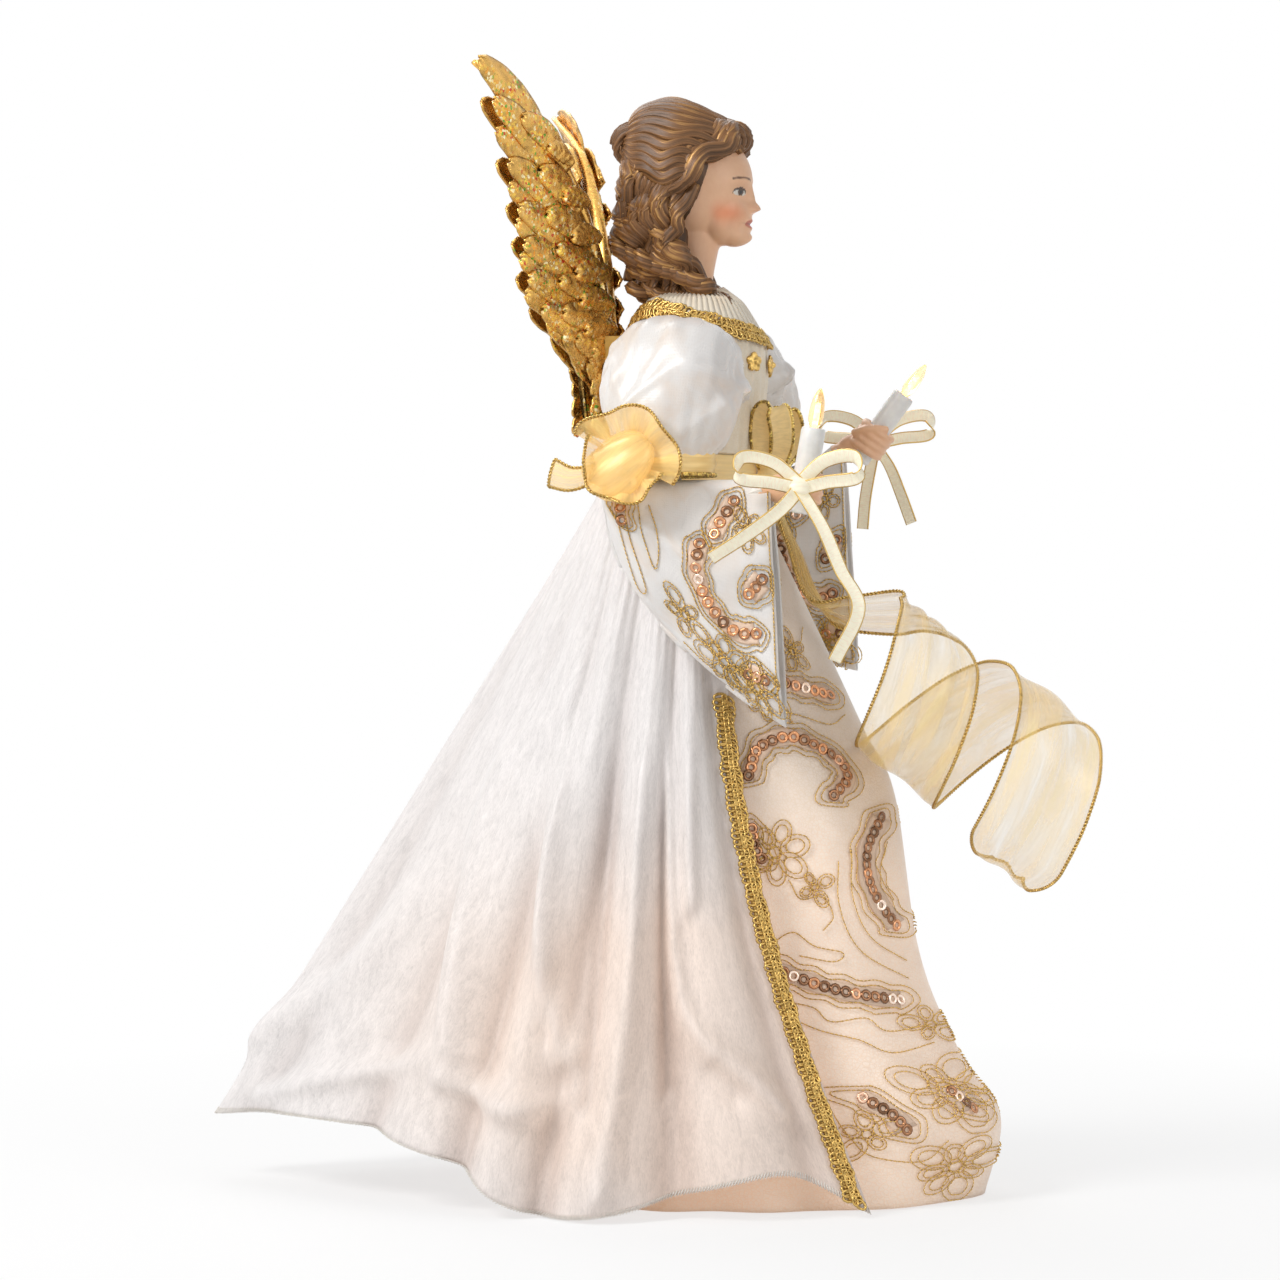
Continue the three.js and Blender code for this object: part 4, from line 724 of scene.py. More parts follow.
def sequin_finish():
    """Bronze to rose-gold foil discs, each of its own shade."""
    f = Finish("sequin", {"Metallic": 1.0, "Coat Weight": 0.4, "Coat Roughness": 0.1})
    tone = f.stored("tone")
    rose = tint("sequin")
    # partly painted glints: the tone differs at random from sequin to sequin, and the pale, near-white end of the
    # ramp stands in for glints
    stops = [(0.0, shade(rose, 0.4)), (0.6, rose), (0.8, shade(rose, 1.7)), (0.95, (0.9, 0.72, 0.6))]
    colours = f.ramp(tone, stops)
    scuff = f.noise(f.inside(), 1800, 2)
    return f.set(Base_Color=colours, Roughness=f.level(scuff, 0.32, 0.14), Normal=f.bump(scuff, 0.2, 0.0002))


def organza_finish(name, colour, cover, lit):
    """Sheer crisp weave: it shows more where its threads bunch; lit is the light that comes through."""
    f = Finish(name, {"Sheen Weight": 0.5, "Sheen Roughness": 0.3, "Metallic": 0.1})
    f.set(Emission_Color=(*colour, 1), Emission_Strength=lit)
    weave = f.weave(1000, "MAXIMUM")
    crease = f.noise(f.where((160, 22, 1)), 1, 3, 0.6, 0.5)
    thick = f.math("ADD", f.level(weave, cover * 0.6, cover * 1.15), f.level(crease, -0.14, 0.14, 0.3, 0.7))
    return f.set(
        Base_Color=f.ramp(crease, [(0.3, shade(colour, 0.72)), (0.55, colour), (0.75, shade(colour, 1.15))]),
        Alpha=thick,
        Roughness=f.level(crease, 0.45, 0.25, 0.3, 0.7),
        Normal=f.bump(crease, 0.4, 0.0006),
    )


def ribbon_finish(name, colour, edge, lit):
    """Thin ribbon with woven metal edges, set by its width; lit is the light that comes through it."""
    f = Finish(name, {"Sheen Weight": 0.2, "Coat Weight": 0.1, "Coat Roughness": 0.3, "Emission Strength": lit})
    place = f.node("ShaderNodeTexCoord").outputs["UV"]
    across = f.node("ShaderNodeSeparateXYZ", {"Vector": place}).outputs[0]
    middle = f.math("ABSOLUTE", f.math("SUBTRACT", across, 0.5), 0)
    rim = f.ramp(middle, [(0.41, (0, 0, 0)), (0.44, (1, 1, 1))])
    weft = {"Vector": f.where((1, 60, 1)), "Scale": 1.0}
    ribs = f.node("ShaderNodeTexWave", weft, bands_direction="Y").outputs[1]
    crease = f.noise(f.where((2, 9, 1)), 1, 3, 0.6)
    cloth = f.ramp(crease, [(0.3, shade(colour, 0.85)), (0.55, colour), (0.75, shade(colour, 1.06))])
    return f.set(
        Base_Color=f.blend(rim, cloth, edge),
        Metallic=f.math("MULTIPLY", rim, 0.85),
        Emission_Color=f.blend(rim, cloth, (0, 0, 0)),
        Roughness=f.level(crease, 0.42, 0.28, 0.3, 0.7),
        Normal=f.bump(crease, 0.25, 0.0006, f.bump(ribs, 0.15, 0.0002)),
    )


# Where each colour of the wings' glitter starts, as a share of the flakes
GLITTER_HUES = [
    (0.0, (0.95, 0.62, 0.1)),
    (0.4, (0.85, 0.36, 0.05)),
    (0.66, (1.0, 0.88, 0.5)),
    (0.84, (0.2, 0.42, 0.05)),
    (0.94, (0.62, 0.1, 0.04)),
]


def wing_finish():
    """Antique gold moulding: dark in the hollows, with coarse coloured glitter on the raised parts."""
    gold = tint("wing")
    f = Finish("wing_gold", {"Metallic": 0.85, "Coat Weight": 0.15, "Coat Roughness": 0.25})
    place = f.inside()
    raised = f.stored("raised")
    grime = f.noise(place, 220, 4, 0.65)
    height = f.math("ADD", raised, f.level(grime, -0.3, 0.3, 0.3, 0.7))
    body = f.ramp(height, [(0.1, shade(gold, 0.4)), (0.42, gold), (0.85, shade(gold, 1.5))])
    flake = f.node("ShaderNodeSeparateColor", {"Color": f.cells(place, 1050, "F1", "Color")})
    hue = f.ramp(flake.outputs[0], GLITTER_HUES, "CONSTANT")
    patch = f.ramp(f.noise(place, 75, 2, 0.5), [(0.42, (0, 0, 0)), (0.58, (1, 1, 1))])
    strewn = f.ramp(flake.outputs[1], [(0.5, (0, 0, 0)), (0.56, (1, 1, 1))])
    shown = f.math("MULTIPLY", f.math("MULTIPLY", strewn, patch), f.stored("glitter"))
    return f.set(
        Base_Color=f.blend(shown, body, hue),
        Roughness=f.level(flake.outputs[2], 0.45, 0.16),
        Normal=f.bump(flake.outputs[2], 0.55, 0.0007, f.bump(grime, 0.3, 0.0006)),
    )


def skin_finish():
    """Painted skin: the paint's own colours, with fine brush grain."""
    soft = {"Subsurface Weight": 0.06, "Subsurface Radius": (0.004, 0.002, 0.001)}
    f = Finish("painted_skin", {**soft, "Coat Weight": 0.15, "Coat Roughness": 0.35})
    grain = f.noise(f.inside(), 500, 4, 0.6)
    paint = f.stored("paint", "Color")
    return f.set(
        Base_Color=f.blend(f.level(grain, 0.0, 0.12, 0.35, 0.7), paint, shade(tint("skin"), 0.85), "MULTIPLY"),
        Roughness=f.level(grain, 0.5, 0.36),
        Normal=f.bump(grain, 0.1, 0.0003),
    )


def hair_finish():
    """Painted hair: gold brushed over the strands, with painted shade dark in the grooves and painted highlight on
    the crests.
    """
    brown = tint("hair")
    f = Finish("painted_hair", {"Coat Weight": 0.06, "Coat Roughness": 0.4, "Specular IOR Level": 0.3})
    raised = f.stored("raised")
    brush = f.noise(f.where((30, 4, 1)), 1, 4, 0.6)
    height = f.math("ADD", raised, f.level(brush, -0.35, 0.35, 0.3, 0.7))
    # painted shade and highlight: low values, in the grooves and on the cap under the locks, are darkened; higher
    # values on the crests are lightened; the gold at the top is the hair's own paint
    colours = f.ramp(
        height, [(0.05, shade(brown, 0.4)), (0.4, brown), (0.68, shade(brown, 1.55)), (0.95, (0.52, 0.29, 0.10))]
    )
    return f.set(
        Base_Color=colours,
        Metallic=f.level(height, 0.0, 0.45, 0.65, 1.0),
        Roughness=f.level(brush, 0.5, 0.34),
        Normal=f.bump(brush, 0.3, 0.0005),
    )


def wax_finish():
    """Smooth white candle sleeve, faintly mottled."""
    soft = {"Subsurface Weight": 0.2, "Subsurface Radius": (0.004, 0.003, 0.002)}
    f = Finish("candle_white", {**soft, "Coat Weight": 0.1})
    mottle = f.noise(f.inside(), 260, 4, 0.6)
    white = tint("candle")
    return f.set(
        Base_Color=f.ramp(mottle, [(0.3, shade(white, 0.9)), (0.7, shade(white, 1.04))]),
        Roughness=f.level(mottle, 0.45, 0.3),
        Normal=f.bump(mottle, 0.15, 0.0005),
    )


def glass_finish():
    """Clear lamp glass with a little of the lamp's own light."""
    lit = {"Emission Strength": 0.12, "Emission Color": (1.0, 0.66, 0.26, 1)}
    f = Finish("lamp_glass", {"Transmission Weight": 0.85, "IOR": 1.46, "Coat Weight": 0.2, **lit})
    ripple = f.noise(f.inside(), 300, 2)
    return f.set(
        Base_Color=f.ramp(ripple, [(0.3, (0.96, 0.78, 0.48)), (0.7, (1, 0.88, 0.66))]),
        Roughness=f.level(ripple, 0.02, 0.08),
        Normal=f.bump(ripple, 0.05, 0.0004),
    )


def filament_finish():
    """Hot wire that lights the lamp."""
    f = Finish("filament", {"Emission Strength": 5.0, "Roughness": 0.5})
    heat = f.noise(f.inside(), 600, 2)
    return f.set(
        Base_Color=f.ramp(heat, [(0.3, (0.9, 0.5, 0.1)), (0.7, (1.0, 0.7, 0.25))]),
        Emission_Color=f.ramp(heat, [(0.3, (1.0, 0.5, 0.12)), (0.7, (1.0, 0.72, 0.3))]),
    )


def plain_finish(name, colour, rough, metal=0.0, grain=350.0, depth=0.0004, fleck=0.15):
    """A moulded, painted or pressed surface with fine grain and uneven gloss."""
    f = Finish(name, {"Metallic": metal})
    mark = f.noise(f.inside(), grain, 4, 0.6)
    return f.set(
        Base_Color=f.ramp(mark, [(0.3, shade(colour, 1 - fleck)), (0.7, shade(colour, 1 + fleck / 2))]),
        Roughness=f.level(mark, rough + 0.1, rough - 0.1, 0.3, 0.7),
        Normal=f.bump(mark, 0.2, depth),
    )


FINISHES = {}


def finish(name):
    """One finish of the angel, made when it is first needed."""
    makers = {
        "velvet": velvet_finish,
        "satin": lambda: satin_finish("white_satin", tint("satin")),
        "gown": lambda: net_finish("gown_satin", tint("gown"), tint("gold"), True),
        "net": lambda: net_finish("bodice_net", tint("net"), tint("gold")),
        "patch": lambda: net_finish("peach_net", tint("patch"), tint("gold")),
        "ecru": lambda: satin_finish("ecru_pleat", tint("ecru")),
        "thread": lambda: gold_finish("gold_thread", tint("gold"), 0.34, 1500),
        "braid": lambda: gold_finish("gold_braid", shade(tint("gold"), 0.9), 0.32, 1100),
        "bead": lambda: gold_finish("gold_bead", shade(tint("gold"), 1.1), 0.24, 700),
        "glitter": lambda: gold_finish("glitter_ribbon", tint("gold"), 0.28, 1100, 1300),
        "wire": lambda: gold_finish("edge_wire", shade(tint("gold"), 0.85), 0.28, 1500),
        "sequin": sequin_finish,
        "sash": lambda: ribbon_finish("gold_ribbon", tint("ribbon"), tint("gold"), 0.17),
        "organza": lambda: organza_finish("gold_organza", tint("organza"), 0.3, 0.05),
        "rosette": lambda: organza_finish("rosette_organza", tint("organza"), 0.46, 0.2),
        "ivory": lambda: ribbon_finish("ivory_ribbon", tint("ivory"), tint("gold"), 0.22),
        "wing": wing_finish,
        "skin": skin_finish,
        "hair": hair_finish,
        "wax": wax_finish,
        "glass": glass_finish,
        "filament": filament_finish,
        "board": lambda: plain_finish("cone_board", (0.80, 0.74, 0.64), 0.75, 0.0, 180, 0.0006),
        "foam": lambda: plain_finish("core_foam", (0.86, 0.84, 0.78), 0.8, 0.0, 500, 0.0008),
        "rubber": lambda: plain_finish("grommet_rubber", (0.68, 0.63, 0.54), 0.6),
        "lead": lambda: plain_finish("lamp_wire", (0.78, 0.73, 0.64), 0.42),
        "holder": lambda: plain_finish("lamp_holder", (0.86, 0.85, 0.80), 0.4),
        "steel": lambda: plain_finish("wire_steel", (0.62, 0.62, 0.6), 0.35, 0.9, 700),
        "bracket": lambda: plain_finish("bracket_gold", shade(tint("wing"), 0.9), 0.4, 0.8, 500),
        "arm": lambda: plain_finish("arm_cloth", (0.86, 0.82, 0.76), 0.6, 0.0, 900),
        "stitch": lambda: plain_finish("hem_stitch", (0.80, 0.76, 0.70), 0.6, 0.0, 900),
    }
    if name not in FINISHES:
        FINISHES[name] = makers[name]()
    return FINISHES[name]


def dress(obj, finish_name, body, slot, *nodes):
    """Gives a finished piece its finish and its body, and hides the nodes it stands for; the slot argument is not
    used.
    """
    if not obj.data.materials:
        obj.data.materials.append(finish(finish_name))
    if body:
        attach(obj, body)
    if nodes:
        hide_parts(*nodes)
    return obj


# Shapes shared by several pieces
def torso_radius(height):
    line = spline([(r, z) for r, z in TORSO_LINE], 80)
    return np.interp(height, line[:, 1], line[:, 0])


def torso_spot(angle, height, out):
    """A point on the torso's oval; angle 0 faces forward, and grows toward the left hand."""
    r = torso_radius(height) + out
    return np.stack(np.broadcast_arrays(r * TORSO_RATIO * np.sin(angle), -r * np.cos(angle), height), -1)


def gown_reach(drop):
    line = spline([(1 - share, reach) for share, reach in GOWN_FRONT], 90)
    return np.interp(drop, line[:, 0], line[:, 1])


def gown_spot(angle, drop, out, fold=1.6):
    """A point on the gown; angle 0 faces forward, and grows toward the right hand."""
    wide = mix(GOWN_TOP_HALF, GOWN_HALF, drop)
    far = np.where(np.cos(angle) > 0, gown_reach(drop), mix(GOWN_TOP_REACH, GOWN_BACK, drop))
    oval = 1 / np.hypot(np.cos(angle) / far, np.sin(angle) / wide)
    r = oval + fold * drop * np.cos(GOWN_FOLDS * angle) + out
    return np.stack(np.broadcast_arrays(-r * np.sin(angle), -r * np.cos(angle), GOWN_TOP * (1 - drop)), -1)


def hem_line():
    right = [(-x * GOWN_HALF, y * TRAIN, z) for x, y, z in HEM_SHARES]
    left = [(-x, y, z) for x, y, z in right[-2::-1]]
    return right + left


def skirt_base(across, drop):
    """The overskirt without its folds; across runs from the right front edge round the back to the left."""
    angle = mix(FRONT_ANGLE, TURN - FRONT_ANGLE, across)
    start = gown_spot(angle, np.zeros_like(angle), 0)
    lift = 3.4 + 10 * np.sin(angle / 2) ** 8
    start = start + unit(start * (1, 1, 0)) * lift[..., None]
    end = spline(hem_line(), across.ravel()).reshape(*across.shape, 3)
    near = 1 - smooth(0, 0.2, np.minimum(across, 1 - across))
    sway = 15 * near * np.sin(math.pi * drop**0.9)
    point = start + (end - start) * drop[..., None]
    point[..., 0] += np.sign(start[..., 0]) * 0.45 * sway
    point[..., 1] += sway
    return point


def skirt_spot(across, drop, out):
    """A point on the overskirt, with its folds."""
    step = 0.004
    along = skirt_base(np.clip(across + step, 0, 1), drop) - skirt_base(np.clip(across - step, 0, 1), drop)
    normal = unit(np.stack([-along[..., 1], along[..., 0], np.zeros_like(across)], -1))
    lift = velvet_folds(across, drop) + out
    return skirt_base(across, drop) + normal * lift[..., None]


def arm_matrix(side):
    """From an arm's own space, at +X and level, to its place on the figure."""
    y, z = SHOULDER
    pivot = Matrix.Translation((0, y, z))
    turn = Matrix.Rotation(-math.radians(RAISES[side]), 4, "X")
    return pivot @ turn @ pivot.inverted() @ Matrix.Diagonal((SIDES[side], 1, 1, 1))


def candle_matrix(side):
    x, y, z = WRISTS[side]
    lean = Matrix.Rotation(math.radians(LEANS[side] + RAISES[side]), 4, "X")
    return Matrix.Translation((x, y - HAND_REACH, z + 1)) @ lean


def on_arm(points, side):
    """Points of an arm's own space, in their place on the figure."""
    m = np.array(arm_matrix(side))
    return np.asarray(points, float) @ m[:3, :3].T + m[:3, 3]


def lamp_glow(points, nodes, reach):
    """How much of the skirt lamps' light each point takes up, from 0 to 1."""
    total = np.zeros(len(points))
    for node in nodes:
        low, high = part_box(node)
        centre = (np.array(low) + np.array(high)) / 2 / MM
        total += np.exp(-((np.linalg.norm(points - centre, axis=1) / reach) ** 2))
    return np.clip(total, 0, 1)


SKIRT_LAMPS = ["skirt_lamp_%d" % k for k in range(1, 9)]


def looped_parts(rings):
    """A closed body through rings of points, its last ring joined to its first."""
    n, sides = rings.shape[:2]
    return rings.reshape(-1, 3), grid_quads(n + 1, sides, True) % (n * sides)


def loop_template(name, wide, long, wire):
    """One loop of gimp braid: a flattened ring of cord."""
    turn = np.linspace(0, TURN, 10, endpoint=False)
    path = np.stack([long / 2 * np.cos(turn), wide / 2 * np.sin(turn), 0.25 * wire * np.sin(2 * turn)], -1)
    side = unit(np.stack([np.cos(turn), np.sin(turn), 0 * turn], -1))
    ring = np.linspace(0, TURN, 4, endpoint=False)
    rings = path[:, None] + wire * (
        side[:, None] * np.cos(ring)[:, None] + np.array((0, 0, 1.0)) * np.sin(ring)[:, None]
    )
    return mesh_piece(name, *looped_parts(rings))


def stitch_template(name, long, wide):
    """One stitch: a short twist of thread, raised in the middle."""
    path = np.array([(-long / 2, 0, 0), (0, 0, wide * 0.5), (long / 2, 0, 0)])
    return mesh_piece(name, *tube_parts(path, [wide * 0.3, wide * 0.52, wide * 0.3], 4, (0, 1, 0)))


def sequin_template(name, radius):
    """A cupped foil disc with a hole in its middle."""
    rows = [(0.42, 0.1), (0.72, 0.26), (1.0, 0.14), (0.98, 0.04), (0.72, 0.14), (0.42, 0.0)]
    return mesh_piece(name, *looped_parts(turned_rings(np.array(rows) * radius, 10)))


def petal_template(name, radius):
    """A five-petalled flower of moulded gold, with a bead in its middle."""
    sides = 20
    lobe = 0.72 + 0.28 * np.abs(np.cos(2.5 * np.linspace(0, TURN, sides, endpoint=False)))
    rows = [(1.0, 0.05), (1.0, 0.25), (0.7, 0.42), (0.36, 0.3), (0.3, 0.55), (0.14, 0.72)]
    return mesh_piece(name, *ring_parts(turned_rings(np.array(rows) * radius, sides, lobe)))


def surface_row(spot, line, step, lift=0.0):
    """A row of sewn pieces along a line in a surface's own coordinates: places, facing, direction and size."""
    a, b = np.asarray(line, float).T
    eps = 1e-3
    fine = spline(np.stack([a, b], -1), max(40, 12 * len(a)))
    p = even(np.concatenate([spot(fine[:, 0], fine[:, 1]), fine], 1), step)
    flat, uv = p[:, :3], p[:, 3:]
    du = spot(uv[:, 0] + eps, uv[:, 1]) - spot(uv[:, 0] - eps, uv[:, 1])
    dv = spot(uv[:, 0], uv[:, 1] + eps) - spot(uv[:, 0], uv[:, 1] - eps)
    facing = unit(np.cross(du, dv))
    raised = flat + facing * lift
    return raised, facing, tangents(raised), 1.0


def gown_side(side):
    """Places on the gown's side by their share of its reach and their height, as seen from that side."""
    turn = np.linspace(0, math.pi, 240)

    def spot(forward, height):
        forward, height = np.atleast_1d(forward), np.atleast_1d(height)
        forward = forward * gown_reach(np.clip(1 - height / GOWN_TOP, 0, 1))
        drop = np.clip(1 - height / GOWN_TOP, 0, 1)
        ring = gown_spot(turn[None, :], drop[:, None], 0.35, gown_fold(turn[None, :], drop[:, None]))
        place = [np.interp(-f, r[:, 1], turn) for f, r in zip(forward, ring)]
        place = np.array(place)
        point = gown_spot(place, drop, 0.5, gown_fold(place, drop))
        point[:, 0] *= -SIDES[side]
        return point

    return spot


def gown_fold(angle, drop):
    """Depth of the gown's folds at its hem, uneven round it."""
    return 1.5 + 0.5 * np.sin(3 * angle + 0.4) * np.sin(5 * drop + 1)


def velvet_folds(across, drop):
    """Depth of the overskirt's folds: deep at the sides, broad and soft on the train."""
    mirror = np.minimum(across, 1 - across)
    phase = SKIRT_FOLDS * TURN * across + 0.5 * np.sin(TURN * 3 * across + 0.6) + 0.3 * np.sin(4 * drop)
    side = 0.55 + 0.6 * smooth(0.03, 0.12, mirror) * (1 - smooth(0.26, 0.42, mirror))
    long = SKIRT_FOLD * side * drop**0.9 * (2.3 * np.sqrt(np.cos(phase / 2) ** 2 + 0.03) - 1.45)
    gathers = 0.7 * np.exp(-drop / 0.12) * np.cos(54 * TURN * across)
    return long + gathers + velvet_creases(mirror, drop)


def velvet_creases(mirror, drop):
    """Rolls, tucks and hollows where the velvet swags between its folds and along the train."""

    def laid_flat(share, fall):
        return np.stack([(share - 0.25) * (250 + 300 * fall), fall * GOWN_TOP], -1)

    total = np.zeros_like(mirror)
    spots = laid_flat(mirror, drop)
    for route, height, half in CREASES:
        line = spline(route, 16)
        line = laid_flat(line[:, 0], line[:, 1])
        nearest = np.full(mirror.shape, np.inf)
        way = np.zeros_like(mirror)
        for k, (a, b) in enumerate(zip(line[:-1], line[1:])):
            along = np.clip((spots - a) @ (b - a) / ((b - a) @ (b - a)), 0, 1)
            off = np.linalg.norm(spots - a - along[..., None] * (b - a), axis=-1)
            way = np.where(off < nearest, (k + along) / (len(line) - 1), way)
            nearest = np.minimum(off, nearest)
        total += height * smooth(-0.1, 0.35, way) * np.exp(-((nearest / half) ** 2))
    by_sleeve = (1 - smooth(0.28, 0.52, drop)) * (1 - smooth(0.24, 0.32, mirror))
    return total * (1 - by_sleeve)


# Each by its line (share of the way round from a front edge, drop), its height and its half width
CREASES = [
    ([(0.175, 0.12), (0.165, 0.67), (0.178, 0.97)], 5.5, 6.0),
    ([(0.30, 0.25), (0.263, 0.6), (0.215, 0.78)], 7.0, 6.5),
    ([(0.36, 0.3), (0.365, 0.53), (0.315, 0.84)], 7.0, 7.5),
    ([(0.20, 0.83), (0.26, 0.88), (0.315, 0.89)], 5.5, 5.0),
    ([(0.12, 0.2), (0.115, 0.73), (0.10, 0.79), (0.05, 0.9)], 5.5, 4.5),
    ([(0.075, 0.15), (0.097, 0.6)], 4.0, 5.0),
    ([(0.40, 0.6), (0.44, 0.77), (0.5, 0.87)], 5.0, 8.0),
    ([(0.315, 0.86), (0.39, 0.92), (0.46, 0.97)], 4.5, 5.0),
    ([(0.22, 0.2), (0.20, 0.6), (0.19, 0.85)], -3.5, 4.0),
    ([(0.137, 0.3), (0.13, 0.85)], -3.0, 3.0),
    ([(0.235, 0.66), (0.235, 0.76)], -3.0, 5.0),
    ([(0.095, 0.82), (0.08, 0.88)], -3.0, 6.0),
]


class AngelColours(bpy.types.PropertyGroup):
    """Colours of the angel's cloths, trims and painted parts."""


class AngelSizes(bpy.types.PropertyGroup):
    """Sizes of the angel's trims and cloth."""


def colour_setting(label, default):
    return bpy.props.FloatVectorProperty(
        name=label,
        description="Colour of the " + label.lower(),
        subtype="COLOR",
        size=3,
        min=0,
        max=1,
        default=default,
    )


def length_setting(label, default):
    return bpy.props.FloatProperty(
        name=label, description=label + ", in metres", subtype="DISTANCE", unit="LENGTH", min=0, default=default
    )


COLOURS = {
    "velvet": ("Velvet overskirt", (0.81, 0.775, 0.76)),
    "satin": ("White satin", (0.80, 0.775, 0.75)),
    "gown": ("Gown satin", (0.90, 0.79, 0.69)),
    "net": ("Bodice net", (0.95, 0.86, 0.70)),
    "ecru": ("Pleated edge", (0.80, 0.72, 0.58)),
    "gold": ("Gold thread", (0.66, 0.44, 0.14)),
    "sequin": ("Sequins", (0.42, 0.20, 0.095)),
    "organza": ("Sheer ribbon", (0.97, 0.71, 0.29)),
    "patch": ("Peach net", (0.90, 0.66, 0.50)),
    "ribbon": ("Gold ribbon", (0.84, 0.62, 0.28)),
    "ivory": ("Ivory ribbon", (0.90, 0.83, 0.64)),
    "wing": ("Wing gold", (0.62, 0.36, 0.09)),
    "skin": ("Painted skin", (0.90, 0.55, 0.34)),
    "hair": ("Painted hair", (0.165, 0.078, 0.03)),
    "candle": ("Candles", (0.88, 0.87, 0.84)),
}
LENGTHS = {
    "cloth": ("Cloth thickness", 0.0009),
    "sheer": ("Sheer ribbon thickness", 0.00025),
    "sequin": ("Sequin radius", 0.0021),
    "stitch": ("Stitch length", 0.0015),
    "loop": ("Braid loop length", 0.0040),
    "wire": ("Edge wire radius", 0.00034),
    "ribbon": ("Candle ribbon width", 0.0050),
    "flower": ("Flower bead radius", 0.0036),
}
AngelColours.__annotations__ = {key: colour_setting(*row) for key, row in COLOURS.items()}
AngelSizes.__annotations__ = {key: length_setting(*row) for key, row in LENGTHS.items()}


# Stage, in metres: the level view from the right side, and the lamps by (toward it, right, up), width and watts
VIEW_AZIMUTH = math.radians(280)
VIEW_ANGLE = math.radians(19.6)
VIEW_HEIGHT = 0.192
VIEW_ASIDE = 0.0193
VIEW_REACH = 1.3
LAMP_AIM = Vector((0, 0, 0.18))
LAMPS = [
    ("key_lamp", (0.7, -0.95, 1.15), 0.55, 16.5),
    ("fill_lamp", (1.0, 1.1, 0.7), 0.8, 4.0),
    ("rim_lamp", (-0.9, -0.3, 1.1), 0.9, 6.0),
]
FLOOR_RINGS = (0.1, 0.4, 1.0, 4.0)


class ANGEL_OT_stage(bpy.types.Operator):
    """Floor, world, soft lamps and the camera."""

    bl_idname = "angel.stage"
    bl_label = "Stage"

    def execute(self, context):
        scene = context.scene
        scene.view_settings.view_transform = "Standard"
        toward = Vector((math.sin(VIEW_AZIMUTH), -math.cos(VIEW_AZIMUTH), 0))
        right = Vector((-toward.y, toward.x, 0))
        aim = Vector((0, 0, VIEW_HEIGHT)) - right * VIEW_ASIDE
        camera = bpy.data.cameras.new("photo_camera")
        camera.angle = VIEW_ANGLE
        view = bpy.data.objects.new("photo_camera", camera)
        view.location = aim + toward * VIEW_REACH
        view.rotation_euler = (aim - view.location).to_track_quat("-Z", "Y").to_euler()
        scene.collection.objects.link(view)
        scene.camera = view
        self.world(scene)
        self.floor()
        for name, (near, aside, up), wide, power in LAMPS:
            lamp = bpy.data.lights.new(name, "AREA")
            lamp.energy, lamp.size = power, wide
            obj = bpy.data.objects.new(name, lamp)
            obj.location = toward * near + right * aside + Vector((0, 0, up))
            obj.rotation_euler = (LAMP_AIM - obj.location).to_track_quat("-Z", "Y").to_euler()
            scene.collection.objects.link(obj)
        return {"FINISHED"}

    @staticmethod
    def seen_plain(tree):
        """1 for rays from the camera and for what metal and glass show."""
        path = tree.nodes.new("ShaderNodeLightPath")
        total = path.outputs["Is Camera Ray"]
        for label in ("Is Glossy Ray", "Is Transmission Ray"):
            add = tree.nodes.new("ShaderNodeMath")
            add.operation = "MAXIMUM"
            tree.links.new(total, add.inputs[0])
            tree.links.new(path.outputs[label], add.inputs[1])
            total = add.outputs[0]
        return total

    def world(self, scene):
        scene.world = bpy.data.worlds.new("studio")
        scene.world.use_nodes = True
        tree = scene.world.node_tree
        soft = tree.nodes["Background"]
        soft.inputs["Color"].default_value = (0.295, 0.294, 0.298, 1)
        white = tree.nodes.new("ShaderNodeBackground")
        blend = tree.nodes.new("ShaderNodeMixShader")
        white.inputs["Color"].default_value = (1, 1, 1, 1)
        join(
            tree,
            (self.seen_plain(tree), blend.inputs[0]),
            (soft.outputs[0], blend.inputs[1]),
            (white.outputs[0], blend.inputs[2]),
            (blend.outputs[0], tree.nodes["World Output"].inputs["Surface"]),
        )

    def floor(self):
        sides = 64
        rings = turned_rings([(reach, 0) for reach in FLOOR_RINGS], sides)
        points = np.vstack([rings.reshape(-1, 3), [(0, 0, 0)]])
        i = np.arange(sides)
        fan = np.stack([i, (i + 1) % sides, np.full(sides, len(points) - 1)], -1)
        mesh = bpy.data.meshes.new("studio_floor")
        faces = grid_quads(len(FLOOR_RINGS), sides, True)[:, ::-1].tolist() + fan.tolist()
        mesh.from_pydata(points.tolist(), [], faces)
        floor = link(mesh, "studio_floor")
        f = Finish("pale_floor", {"Base Color": (0.86, 0.86, 0.86, 1), "Roughness": 0.9})
        place = f.node("ShaderNodeTexCoord").outputs["Object"]
        far = f.node("ShaderNodeVectorMath", {0: place}, operation="LENGTH").outputs["Value"]
        share = f.math("MULTIPLY", f.level(far, 0.72, 1.0, 0.12, 0.5), self.seen_plain(f.tree))
        glow = f.node("ShaderNodeEmission").outputs[0]
        blend = f.node("ShaderNodeMixShader", {0: share, 1: f.shader.outputs[0], 2: glow}).outputs[0]
        f.feed(f.tree.nodes["Material Output"].inputs["Surface"], blend)
        mesh.materials.append(f.material)


